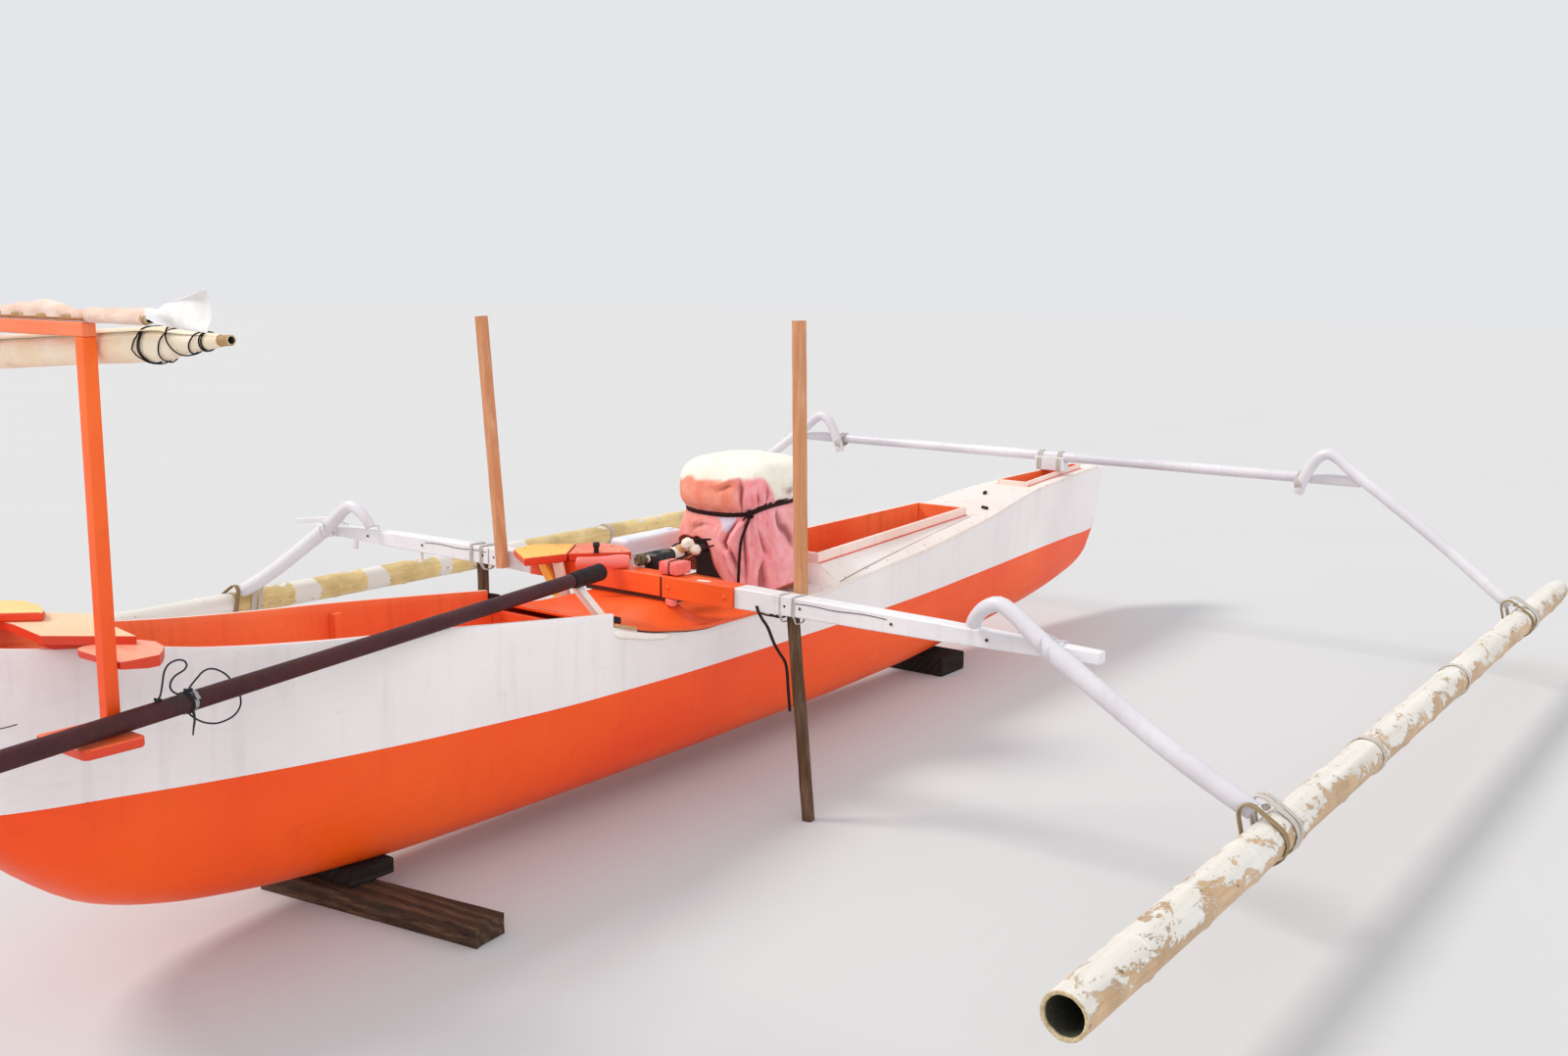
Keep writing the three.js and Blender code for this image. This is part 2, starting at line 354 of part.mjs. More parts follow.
const SEAT_Z = SHELF_Z + SHELF_T + PLANK_T + GAP;
add('stern_seat', prismXY([[1597, -66], [1612, -50], [1633, 8], [1637, 76], [1606, 126], [1502, 222], [1408, 130], [1536, -6]], SEAT_Z, SEAT_Z + 20), paint(ORANGE));
const POST_FOOT = { starboard: TRAY_TOP + GAP, port: SHELF_Z - 60 };
for (const [side, s] of SIDES) add(`rack_post_${side}`, box(RACK_X - POST_W / 2, RACK_X + POST_W / 2, s * RACK_Y - POST_W / 2, s * RACK_Y + POST_W / 2, POST_FOOT[side], RACK_TOP), paint(ORANGE));
// tray under the stowed shaft, nailed to the foot of the starboard post
add('shaft_tray', prismXY([[1425, -345], [1425, -512], [1434, -522], [1546, -522], [1555, -512], [1555, -345]], TRAY_TOP - 22, TRAY_TOP), paint(ORANGE));
add('rack_bar', box(RACK_X - POST_W / 2, RACK_X + POST_W / 2, -RACK_Y - POST_W / 2, RACK_Y + POST_W / 2, RACK_TOP + GAP, RACK_TOP + 28), paint(ORANGE));
const SPAR_R = 11, SPAR_Z = RACK_TOP + 28 + SPAR_R + 1;
const sparTube = (a, b, r, wall, sides) => {
  const d = b.clone().sub(a), len = d.length();
  return lathe([[r - wall, 0], [r, 0], [r, len], [r - wall, len], [r - wall, len - 90], [0, len - 90], [0, 90], [r - wall, 90], [r - wall, 0]], sides, a, d);
};
add('upper_spar', sparTube(V(RACK_X, -655, SPAR_Z), V(RACK_X, 1010, SPAR_Z), SPAR_R, 3.5, 12), paint(BAMBOO));
// sail rolled on its own spar, whose hollow end shows; it hangs on the fore side of the posts
const rollA = V(RACK_X + 52, -823, 1498), rollB = V(RACK_X + 52, 900, 1390), rollLen = rollA.distanceTo(rollB);
add('rolled_sail', lathe([[0, 24], [6.5, 24], [6.5, 0], [10, 0], [10, 33], [13, 40], [22, 138], [34, 200], [35.5, 850], [34, rollLen - 80], [22, rollLen], [0, rollLen]], 14, rollA, rollB.clone().sub(rollA)), paint(CREAM, 0.9));
// sail cloth along the top of the spar, ending in a loose corner: [y, low, high]
const CLOTH = [[-100, 1, 4], [-200, 1, 12], [-310, 1, 20], [-400, 1, 7], [-575, 1, 8], [-656, 1, 12], [-660, -22, 13], [-740, -27, 24], [-836, -32, 46]];
add('sail_corner', prismYZ([...CLOTH.map(([y, lo]) => [y, SPAR_Z + SPAR_R + lo]), ...CLOTH.slice().reverse().map(([y, , hi]) => [y, SPAR_Z + SPAR_R + hi])], RACK_X - 11, RACK_X + 13), paint(WHITE, 0.9));

// ---------------------------------------------------------------- shaft
const along = SHAFT_AFT.clone().sub(SHAFT_FORE).normalize();
const shaftAt = (d) => SHAFT_FORE.clone().addScaledVector(along, d);
const shaftLen = SHAFT_FORE.distanceTo(SHAFT_AFT);
add('shaft_sleeve', lathe([[14, 0], [28, 0], [28, 150], [23, 160], [14, 160], [14, 0]], 16, SHAFT_FORE, along), paint(BLACK, 0.6));
add('shaft_tube', rod(shaftAt(160 + GAP), shaftAt(shaftLen), SHAFT_R, SHAFT_R, 16), paint(DARK, 0.6));
const sleeveAt = SHAFT_FORE.clone().addScaledVector(along, 120);
add('shaft_rest', solid(beam(V(sleeveAt.x, -262, 606), V(sleeveAt.x, sleeveAt.y + 8, sleeveAt.z - 26), 26, 20)).subtract(deckSpace).subtract(halfOf(sides, -1))
  .subtract(solid(rod(shaftAt(-20), shaftAt(300), 28.5, 28.5, 16))), paint(PALE));
// propeller: hub and two blades, one body
const hubBase = shaftAt(shaftLen + 6);
const blades = (() => {
  const hub = solid(lathe([[0, 0], [17, 0], [19, 12], [16, 44], [7, 60], [0, 62]], 14, V(0, 0, 0), V(0, 1, 0)));
  let m = hub;
  for (const k of [0, 1]) {
    const blade = new THREE.BoxGeometry(84, 5, 44).translate(52, 0, 0);
    blade.rotateX(0.55).translate(0, 26, 0).rotateY(k * Math.PI);
    m = m.add(solid(blade));
  }
  return geometry(m);
})();
blades.applyQuaternion(new THREE.Quaternion().setFromUnitVectors(new THREE.Vector3(0, 1, 0), along)).translate(hubBase.x, hubBase.y, hubBase.z);
add('propeller', blades, paint(0xb08d4a, 0.4, 0.8));

// ---------------------------------------------------------------- ground supports
const PLANK = [[2444, -560], [2335, -580], [2235, 150], [2344, 165]];      // a heavy board on the ground, askew under the keel
add('bearer_plank', prismXY(PLANK, 0, 56), paint(BROWN));
add('bearer_log', solid(box(2300, 2440, -150, 150, 56 + GAP, 100)).subtract(outerGrown), paint(BROWN));
add('bow_block', box(5240, 5425, -175, 165, 0, 77.5), paint(BROWN));

// ---------------------------------------------------------------- loose cords
const cordMat = () => paint(CORD, 0.8);
const CORD_ROUTES = {
  // strap that hangs from the starboard arm
  hanging_strap: { r: 5, steps: 26, at: [[3510, -530, 646], [3506, -539, 632], [3503, -556, 612], [3502, -577, 590], [3502, -602, 544], [3502, -622, 518], [3502, -643, 494], [3502, -651, 466], [3502, -655, 423], [3502, -659, 385], [3502, -663, 346]] },
  // tie of the engine cover, hanging from its knot
  cover_cord: { r: 5, steps: 24, at: [[3937, -172, 826], [3935, -169, 812], [3925, -163, 785], [3914, -157, 752], [3907, -156, 713], [3901, -157, 671], [3896, -159, 622], [3894, -161, 590], [3893, -162, 570]] },
  // stiff wire ring clipped to the shaft tube, standing behind it
  ring_loop: { r: 2, steps: 64, at: [[1694, -444, 768], [1706, -440, 777], [1720, -435, 785], [1738, -427, 793], [1756, -419, 795], [1775, -412, 791], [1795, -403, 781], [1815, -395, 767], [1831, -389, 749], [1845, -385, 731],
    [1853, -384, 711], [1853, -385, 692], [1844, -389, 681], [1827, -397, 674], [1804, -405, 671], [1778, -413, 672], [1756, -421, 678], [1733, -430, 688], [1710, -438, 703], [1694, -444, 717]] },
  // wire tied to the tube beside the bracket, ending in an eye
  bracket_loop: { r: 2, steps: 60, at: [[1617, -460, 767], [1623, -459, 774], [1627, -458, 784], [1632, -457, 804], [1637, -455, 819], [1647, -451, 830], [1663, -446, 835], [1681, -441, 834], [1694, -438, 828], [1698, -438, 819], [1691, -441, 812], [1678, -446, 809], [1662, -451, 805],
    [1651, -454, 796], [1649, -454, 785], [1656, -452, 774], [1668, -449, 766]] },
};
for (const [name, c] of Object.entries(CORD_ROUTES)) add(name, tube(c.at.map((q) => V(...q)), c.r, 8, c.steps), cordMat());

export default group;
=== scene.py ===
import math
import random

import bmesh
import bpy
import numpy as np
from mathutils import Matrix, Quaternion, Vector, noise


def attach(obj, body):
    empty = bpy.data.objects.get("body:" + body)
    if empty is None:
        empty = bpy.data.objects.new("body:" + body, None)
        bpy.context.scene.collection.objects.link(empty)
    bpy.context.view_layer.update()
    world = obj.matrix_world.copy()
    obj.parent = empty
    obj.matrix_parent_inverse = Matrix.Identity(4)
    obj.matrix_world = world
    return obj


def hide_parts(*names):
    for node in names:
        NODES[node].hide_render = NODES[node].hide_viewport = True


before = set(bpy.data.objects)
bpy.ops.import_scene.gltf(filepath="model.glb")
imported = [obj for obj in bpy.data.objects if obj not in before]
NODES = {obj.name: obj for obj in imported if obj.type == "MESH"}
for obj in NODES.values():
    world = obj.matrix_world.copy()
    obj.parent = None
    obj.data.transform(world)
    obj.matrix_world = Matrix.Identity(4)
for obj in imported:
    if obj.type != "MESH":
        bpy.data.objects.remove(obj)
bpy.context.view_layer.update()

ORIGIN_X = 4.0517            # hull station at X = 0, metres
SCENE = bpy.context.scene
rng = random.Random(7)


def P(x, y, z):
    """A point given by its hull station, in metres, in the row frame."""
    return Vector((x - ORIGIN_X, y, z))


# ------------------------------------------------------------------ camera
def make_camera():
    yaw, pitch, roll = 0.632217, 0.164871, -0.010690
    fwd = Vector((math.cos(pitch) * math.cos(yaw), math.cos(pitch) * math.sin(yaw), -math.sin(pitch)))
    right = Vector((math.sin(yaw), -math.cos(yaw), 0))
    down = fwd.cross(right)
    r = math.cos(roll) * right + math.sin(roll) * down
    d = -math.sin(roll) * right + math.cos(roll) * down
    data = bpy.data.cameras.new("camera")
    data.sensor_fit = "HORIZONTAL"
    data.sensor_width = 36.0
    data.lens = 1535.307 / 1600 * 36.0
    data.clip_start, data.clip_end = 0.05, 200
    cam = bpy.data.objects.new("camera", data)
    m = Matrix.Identity(4)
    for i in range(3):
        m[i][0], m[i][1], m[i][2] = r[i], -d[i], -fwd[i]
    loc = P(0, -3.19954, 1.61752)
    m[0][3], m[1][3], m[2][3] = loc
    cam.matrix_world = m
    SCENE.collection.objects.link(cam)
    SCENE.camera = cam
    return cam


make_camera()

# ------------------------------------------------------------------ nodes for materials
class Mat:
    """A small builder for one procedural material."""

    def __init__(self, name):
        self.m = bpy.data.materials.new(name)
        self.m.use_nodes = True
        self.t = self.m.node_tree
        self.t.nodes.clear()
        self.out = self.t.nodes.new("ShaderNodeOutputMaterial")
        self.b = self.t.nodes.new("ShaderNodeBsdfPrincipled")
        self.t.links.new(self.b.outputs[0], self.out.inputs[0])
        self.co = self.t.nodes.new("ShaderNodeTexCoord")
        self.obj = self.co.outputs["Object"]

    def link(self, a, b):
        self.t.links.new(a, b)

    def set(self, **kw):
        for k, v in kw.items():
            s = self.b.inputs[k.replace("_", " ")]
            if isinstance(v, bpy.types.NodeSocket):
                self.link(v, s)
            elif isinstance(v, (tuple, list)) and len(v) == 3 and s.type == "RGBA":
                s.default_value = (*v, 1)
            else:
                s.default_value = v
        return self

    def scale(self, s, src=None, rot=(0, 0, 0), loc=(0, 0, 0)):
        n = self.t.nodes.new("ShaderNodeMapping")
        n.inputs["Scale"].default_value = s
        n.inputs["Rotation"].default_value = rot
        n.inputs["Location"].default_value = loc
        self.link(src or self.obj, n.inputs["Vector"])
        return n.outputs[0]

    def noise(self, scale=5, detail=4, rough=0.55, vec=None, distort=0.0):
        n = self.t.nodes.new("ShaderNodeTexNoise")
        n.inputs["Scale"].default_value = scale
        n.inputs["Detail"].default_value = detail
        n.inputs["Roughness"].default_value = rough
        n.inputs["Distortion"].default_value = distort
        self.link(vec or self.obj, n.inputs["Vector"])
        return n.outputs["Fac"]

    def voronoi(self, scale=5, vec=None, feature="F1", out="Distance"):
        n = self.t.nodes.new("ShaderNodeTexVoronoi")
        n.feature = feature
        n.inputs["Scale"].default_value = scale
        self.link(vec or self.obj, n.inputs["Vector"])
        return n.outputs[out]

    def wave(self, scale=5, vec=None, distort=2.0, detail=2.0, axis="X", kind="BANDS", dscale=1.0, profile="SIN"):
        n = self.t.nodes.new("ShaderNodeTexWave")
        n.wave_type = kind
        n.wave_profile = profile
        if kind == "BANDS":
            n.bands_direction = axis
        n.inputs["Scale"].default_value = scale
        n.inputs["Distortion"].default_value = distort
        n.inputs["Detail"].default_value = detail
        n.inputs["Detail Scale"].default_value = dscale
        self.link(vec or self.obj, n.inputs["Vector"])
        return n.outputs["Fac"]

    def ramp(self, fac, stops, interp="LINEAR"):
        n = self.t.nodes.new("ShaderNodeValToRGB")
        n.color_ramp.interpolation = interp
        el = n.color_ramp.elements
        while len(el) < len(stops):
            el.new(0.5)
        for e, (pos, c) in zip(el, stops):
            e.position = pos
            e.color = (c, c, c, 1) if not isinstance(c, (tuple, list)) else (*c, 1)
        self.link(fac, n.inputs[0])
        return n.outputs[0]

    def remap(self, v, a, b, c=0.0, d=1.0, clamp=True):
        n = self.t.nodes.new("ShaderNodeMapRange")
        n.clamp = clamp
        for i, x in enumerate((a, b, c, d)):
            n.inputs[1 + i].default_value = x
        self.link(v, n.inputs[0])
        return n.outputs[0]

    def mix(self, fac, a, b, blend="MIX"):
        n = self.t.nodes.new("ShaderNodeMix")
        n.data_type = "RGBA"
        n.blend_type = blend
        n.clamp_factor = True
        for sock, v in ((n.inputs[0], fac), (n.inputs[6], a), (n.inputs[7], b)):
            if isinstance(v, bpy.types.NodeSocket):
                self.link(v, sock)
            elif sock.type == "RGBA":
                sock.default_value = (*v, 1) if len(v) == 3 else v
            else:
                sock.default_value = v
        return n.outputs[2]

    def math(self, op, a, b=None, c=None, clamp=False):
        n = self.t.nodes.new("ShaderNodeMath")
        n.operation = op
        n.use_clamp = clamp
        for i, v in enumerate((a, b, c)):
            if v is None:
                continue
            if isinstance(v, bpy.types.NodeSocket):
                self.link(v, n.inputs[i])
            else:
                n.inputs[i].default_value = v
        return n.outputs[0]

    def xyz(self, src=None):
        n = self.t.nodes.new("ShaderNodeSeparateXYZ")
        self.link(src or self.obj, n.inputs[0])
        return n.outputs

    def normal(self):
        n = self.t.nodes.new("ShaderNodeNewGeometry")
        return self.xyz(n.outputs["Normal"])

    def position(self):
        n = self.t.nodes.new("ShaderNodeNewGeometry")
        return self.xyz(n.outputs["Position"])

    def pointy(self):
        n = self.t.nodes.new("ShaderNodeNewGeometry")
        return n.outputs["Pointiness"]

    def attr(self, name):
        n = self.t.nodes.new("ShaderNodeAttribute")
        n.attribute_name = name
        return n.outputs["Fac"]

    def bump(self, height, dist, strength=1.0, after=None):
        n = self.t.nodes.new("ShaderNodeBump")
        n.inputs["Strength"].default_value = strength
        n.inputs["Distance"].default_value = dist
        self.link(height, n.inputs["Height"])
        if after is not None:
            self.link(after, n.inputs["Normal"])
        return n.outputs[0]


def lin(h):
    """A colour written as an RRGGBB number, as linear light."""
    out = []
    for s in (16, 8, 0):
        c = ((h >> s) & 255) / 255
        out.append(c / 12.92 if c <= 0.04045 else ((c + 0.055) / 1.055) ** 2.4)
    return tuple(out)


def painted(name, base, dark, light, chip, grain=(1, 1, 1), rough=0.42, chips=0.70, dirt=0.35, dirt_colour=0x4a3a2c, streak=0.5, low=None, worn=0.0, scale=1.0):
    """Brushed enamel on planed timber. grain stretches the brush marks; low is the height under which dirt gathers."""
    m = Mat(name)
    g = m.scale(grain)
    broad = m.noise(1.6 * scale, 3, 0.5)
    brush = m.noise(60 * scale, 6, 0.65, g, 0.4)
    fine = m.noise(190 * scale, 3, 0.6, g)
    col = m.mix(m.remap(broad, 0.32, 0.68), lin(dark), lin(light))
    col = m.mix(m.remap(brush, 0.3, 0.75, 0, streak), col, lin(base))
    # scuffs: thin marks of many directions
    scuff = m.noise(9 * scale, 8, 0.72, m.scale((1, 1, 2.6), rot=(0.3, 0.5, 0.2)), 1.2)
    scuffs = m.remap(scuff, 0.60, 0.70, 0, 0.55 * dirt)
    col = m.mix(scuffs, col, lin(dirt_colour))
    # runs of dirty water down the sides
    run = m.noise(7 * scale, 4, 0.6, m.scale((4.0, 4.0, 0.35)), 0.3)
    runs = m.remap(run, 0.54, 0.80, 0, 0.5 * dirt)
    col = m.mix(runs, col, lin(dirt_colour))
    if low is not None:
        z = m.xyz()[2]
        damp = m.math("MULTIPLY", m.remap(z, low + 0.12, low, 0, 1), m.remap(m.noise(11, 6, 0.7), 0.35, 0.65))
        col = m.mix(m.math("MULTIPLY", damp, 0.6), col, lin(dirt_colour))
    chipn = m.noise(26 * scale, 10, 0.78, m.scale((1, 1, 1.6)), 0.6)
    edge = m.remap(m.pointy(), 0.52, 0.60, 0, 0.16 + worn)
    chipmask = m.remap(m.math("ADD", chipn, edge), chips, chips + 0.012)
    col = m.mix(chipmask, col, m.mix(m.noise(90, 5, 0.6, g), lin(chip), lin(0x6d4a33)))
    rg = m.math("ADD", m.remap(brush, 0.3, 0.7, rough - 0.06, rough + 0.12), m.math("MULTIPLY", chipmask, 0.3))
    b1 = m.bump(m.math("ADD", brush, m.math("MULTIPLY", fine, 0.35)), 0.0009, 0.55)
    b2 = m.bump(m.math("SUBTRACT", broad, m.math("MULTIPLY", chipmask, 0.25)), 0.004, 0.5, b1)
    m.set(Base_Color=col, Roughness=rg, Normal=b2)
    m.b.inputs["Specular IOR Level"].default_value = 0.45
    return m.m


def timber(name, pale, mid, dark, grain, crack=0.6, rough=0.75, scale=1.0, green=None):
    """Bare sawn timber; grain is the stretch that runs the grain along the piece."""
    m = Mat(name)
    g = m.scale(grain)
    rings = m.wave(16 * scale, g, 7.0, 4.0, "DIAGONAL", dscale=1.2)
    fibre = m.noise(120 * scale, 7, 0.7, g, 0.3)
    patch = m.noise(3.1 * scale, 4, 0.6)
    col = m.mix(m.remap(rings, 0.1, 0.9), lin(mid), lin(pale))
    col = m.mix(m.remap(fibre, 0.35, 0.7, 0, 0.8), lin(dark), col)
    col = m.mix(m.remap(patch, 0.35, 0.7, 0, 0.55), col, lin(dark))
    crackn = m.noise(34 * scale, 9, 0.8, g, 0.2)
    cracks = m.remap(crackn, 0.30, 0.335, 1, 0)
    col = m.mix(m.math("MULTIPLY", cracks, crack), col, lin(0x160e09))
    if green is not None:
        col = m.mix(m.remap(m.noise(5, 6, 0.7), 0.5, 0.72, 0, 0.5), col, lin(green))
    h = m.math("SUBTRACT", m.math("ADD", m.math("MULTIPLY", rings, 0.35), fibre), m.math("MULTIPLY", cracks, crack))
    m.set(Base_Color=col, Roughness=m.remap(fibre, 0.3, 0.7, rough - 0.1, rough + 0.15), Normal=m.bump(h, 0.0016, 0.7))
    m.b.inputs["Specular IOR Level"].default_value = 0.25
    return m.m


def plain(name, base, dark, rough, metal=0.0, bump=0.0006, scale=40, mottling=0.5, spec=0.5, coat=0.0, rust=None):
    """Metal, rubber or plastic with grime and handling marks."""
    m = Mat(name)
    a = m.noise(scale * 0.18, 5, 0.6)
    b = m.noise(scale * 2.2, 5, 0.7)
    col = m.mix(m.remap(a, 0.35, 0.66, 0, mottling), lin(base), lin(dark))
    col = m.mix(m.remap(b, 0.58, 0.75, 0, 0.4), col, lin(dark))
    if rust is not None:
        mask = m.remap(m.noise(scale * 0.5, 8, 0.75), 0.52, 0.62)
        col = m.mix(mask, col, m.mix(m.noise(scale * 3, 4), lin(rust), lin(0x3a1c10)))
    m.set(Base_Color=col, Roughness=m.remap(b, 0.3, 0.7, rough - 0.08, rough + 0.14), Normal=m.bump(b, bump, 0.6))
    m.b.inputs["Metallic"].default_value = metal
    m.b.inputs["Specular IOR Level"].default_value = spec
    m.b.inputs["Coat Weight"].default_value = coat
    return m.m


M = {}
M["white"] = painted("paint_white_sides", 0xf3ecec, 0xe6dedf, 0xf8f4f3, 0xb89a80, (0.10, 1, 1), 0.34, 0.79, 0.26, 0x8d857c, 0.55)
M["white_beam"] = painted("paint_white_arms", 0xeeebee, 0xd6d3d6, 0xf3f1f2, 0xa9805d, (1, 0.10, 1), 0.36, 0.785, 0.34, 0x77706a, 0.5, worn=0.03)
M["white_deck"] = painted("paint_white_deck", 0xf2e6e0, 0xe5d3ca, 0xf6efe9, 0xd8a088, (0.10, 1, 1), 0.40, 0.79, 0.30, 0x9a8474, 0.5)
M["orange"] = painted("paint_orange_bottom", 0xff5203, 0xf24200, 0xff6008, 0x9c4a22, (0.10, 1, 1), 0.44, 0.79, 0.22, 0x8a3010, 0.6, low=0.04)
# lighter than the bottom's orange to make up for the shade inside the hull: painted light
M["orange_in"] = painted("paint_orange_inside_with_painted_light", 0xfa7440, 0xee5a2c, 0xff8a50, 0x8e4a2a, (0.12, 1, 1), 0.45, 0.785, 0.45, 0x7c2f1a, 0.5)
M["orange_deck"] = painted("paint_orange_deck", 0xf6601f, 0xea4e12, 0xfa7030, 0xc88458, (1, 0.14, 1), 0.40, 0.78, 0.34, 0x8a3418, 0.5)
M["orange_rack"] = painted("paint_orange_rack", 0xfc5e0c, 0xee4c06, 0xff7424, 0xc08050, (1, 1, 0.10), 0.36, 0.77, 0.26, 0x8a3010, 0.55, worn=0.03)
M["orange_board"] = painted("paint_orange_boards", 0xfb7440, 0xee5826, 0xfc8f5e, 0xd8a47c, (1, 0.12, 1), 0.42, 0.775, 0.30, 0x96401f, 0.5, worn=0.03)
# darker red-orange for the side faces of boards, as painted shade on their sides; the coaming beads use it too
M["red_edge"] = painted("paint_red_edges", 0xe8471e, 0xd2381a, 0xf0562c, 0xa86a48, (0.3, 0.3, 1), 0.40, 0.78, 0.30, 0x7a2412, 0.5)
M["pale"] = painted("paint_pale_boards", 0xfad9b4, 0xf5c49a, 0xfbe6cc, 0xe0b890, (1, 0.12, 1), 0.48, 0.785, 0.24, 0xb06a44, 0.5, worn=0.03)
M["coaming"] = painted("paint_coaming", 0xf6dcd2, 0xf0bfae, 0xf8e8e0, 0xe07a50, (0.12, 1, 1), 0.40, 0.78, 0.32, 0xa0705a, 0.5, worn=0.04)
M["post"] = timber("timber_posts", 0xf6c39c, 0xe4a67c, 0xc0845a, (1, 1, 0.07), 0.55, 0.72)
M["old"] = timber("timber_old", 0x8e6a52, 0x5f4534, 0x2e2019, (1, 0.08, 1), 0.9, 0.85, green=0x3a3326)
M["old_x"] = timber("timber_block", 0x4a3d36, 0x2f2622, 0x14100e, (0.08, 1, 1), 0.9, 0.9, green=0x2a261e)
M["leg"] = timber("timber_legs", 0x9a7a62, 0x74563f, 0x45301f, (1, 1, 0.07), 0.8, 0.82)
M["black"] = plain("cast_black", 0x1a1a1c, 0x0a0a0b, 0.42, 0.0, 0.0012, 60, 0.5, 0.5)
M["olive"] = plain("metal_olive", 0x8d8a68, 0x4a4734, 0.45, 0.35, 0.0006, 60, 0.7, 0.5, rust=0x6a3a1c)
M["steel"] = plain("metal_clamp", 0xb9babd, 0x77787a, 0.28, 0.9, 0.0004, 60, 0.5, 0.5)
M["rusty"] = plain("metal_nails", 0x5a4a40, 0x2a1c16, 0.6, 0.5, 0.0006, 60, 0.7, 0.4, rust=0x6e3718)
M["shaft"] = plain("shaft_primer", 0x4a2226, 0x33161a, 0.55, 0.0, 0.0005, 50, 0.6, 0.28, rust=0x552420)
M["tape"] = plain("tape_black", 0x2c1c1e, 0x161012, 0.5, 0.0, 0.0012, 80, 0.5, 0.4)
# also the black block that stands for the shade in a gap at the engine deck's corner
M["rubber"] = plain("rubber_sleeve", 0x2a1a1c, 0x170f11, 0.70, 0.0, 0.0009, 70, 0.6, 0.3)
M["can"] = plain("can_plastic", 0xeff3fb, 0xd6dde8, 0.42, 0.0, 0.0006, 25, 0.5, 0.45)
M["bronze"] = plain("bronze_cast", 0xa67a3a, 0x5e4020, 0.34, 0.95, 0.0008, 60, 0.6, 0.5, rust=0x4a5a44)


def cord_material(name, base, dark, pitch=900):
    m = Mat(name)
    n = m.noise(pitch, 3, 0.6)
    b = m.voronoi(pitch * 0.6)
    col = m.mix(m.remap(n, 0.3, 0.7), lin(dark), lin(base))
    m.set(Base_Color=col, Roughness=0.85, Normal=m.bump(b, 0.0008, 0.8))
    m.b.inputs["Specular IOR Level"].default_value = 0.2
    return m.m


M["cord"] = cord_material("cord_black", 0x2c2624, 0x120f0e)
M["cord_grey"] = cord_material("cord_wire", 0x3b4046, 0x1c2024, 1500)
M["strap"] = cord_material("strap_brown", 0x3a1f1c, 0x1a0e0d, 700)
M["rope"] = cord_material("rope_tan", 0xb9a27c, 0x6e5a3e, 500)


def bamboo_material(name, bare_light, bare_dark, flake, seed_loc, bands=()):
    """Dry culm along X with paint left in flakes on its upper side."""
    m = Mat(name)
    g = m.scale((0.06, 1, 1), loc=seed_loc)
    fib = m.noise(95, 6, 0.7, g, 0.2)
    patch = m.noise(3.5, 5, 0.65, m.scale((0.8, 1, 1), loc=seed_loc))
    col = m.mix(m.remap(fib, 0.3, 0.7), lin(bare_dark), lin(bare_light))
    col = m.mix(m.remap(patch, 0.4, 0.72, 0, 0.75), col, lin(0x8b6a3c))
    up = m.normal()[2]
    edge = m.noise(15, 10, 0.76, m.scale((0.55, 1, 1), loc=seed_loc), 0.5)
    cover = m.math("ADD", m.math("MULTIPLY", up, 0.16), edge)
    paint_mask = m.remap(cover, flake, flake + 0.018)
    for x0, x1 in bands:            # whole bands of paint round the culm
        px = m.math("ADD", m.position()[0], m.math("MULTIPLY", m.math("SUBTRACT", m.noise(9, 5, 0.7), 0.5), 0.10))
        inside = m.math("MULTIPLY", m.remap(px, x0, x0 + 0.006), m.remap(px, x1, x1 + 0.006, 1, 0))
        paint_mask = m.math("MAXIMUM", paint_mask, inside)
    pcol = m.mix(m.remap(m.noise(30, 4, 0.6, g), 0.3, 0.7), lin(0xece9e2), lin(0xd9d3c8))
    col = m.mix(paint_mask, col, pcol)
    crackn = m.noise(20, 8, 0.8, m.scale((0.05, 1, 1), loc=seed_loc), 0.1)
    cracks = m.remap(crackn, 0.315, 0.335, 1, 0)
    col = m.mix(m.math("MULTIPLY", cracks, 0.85), col, lin(0x1e150d))
    spots = m.remap(m.noise(48, 3, 0.5), 0.69, 0.72, 0, 0.7)
    col = m.mix(spots, col, lin(0x3a2b1a))
    h = m.math("ADD", m.math("MULTIPLY", fib, 0.4), m.math("MULTIPLY", paint_mask, 0.5))
    h = m.math("SUBTRACT", h, m.math("MULTIPLY", cracks, 1.2))
    m.set(Base_Color=col, Roughness=m.remap(paint_mask, 0, 1, 0.42, 0.55), Normal=m.bump(h, 0.0014, 0.8))
    m.b.inputs["Specular IOR Level"].default_value = 0.4
    return m.m


M["bamboo_near"] = bamboo_material("bamboo_float_near", 0xe0c19c, 0xc4a078, 0.560, (0, 0, 0))
M["bamboo_far"] = bamboo_material("bamboo_float_far", 0xf4e0a4, 0xdcbc78, 0.70, (5, 2, 1), ((-2.2, -0.60), (-0.31, -0.19), (0.055, 0.175), (0.46, 0.54), (0.90, 1.02)))


def end_grain(name, wall, inner):
    m = Mat(name)
    n = m.noise(160, 4, 0.6)
    col = m.mix(m.remap(n, 0.3, 0.7), lin(inner), lin(wall))
    m.set(Base_Color=col, Roughness=0.85, Normal=m.bump(n, 0.0008, 0.7))
    return m.m


M["bamboo_rim"] = end_grain("bamboo_rim", 0xd9c9a6, 0xa68c62)
# dark grey inside the hollow ends: painted shade in the holes
M["bamboo_hole_shade"] = end_grain("bamboo_hole_shade", 0x4c4a3a, 0x26261e)


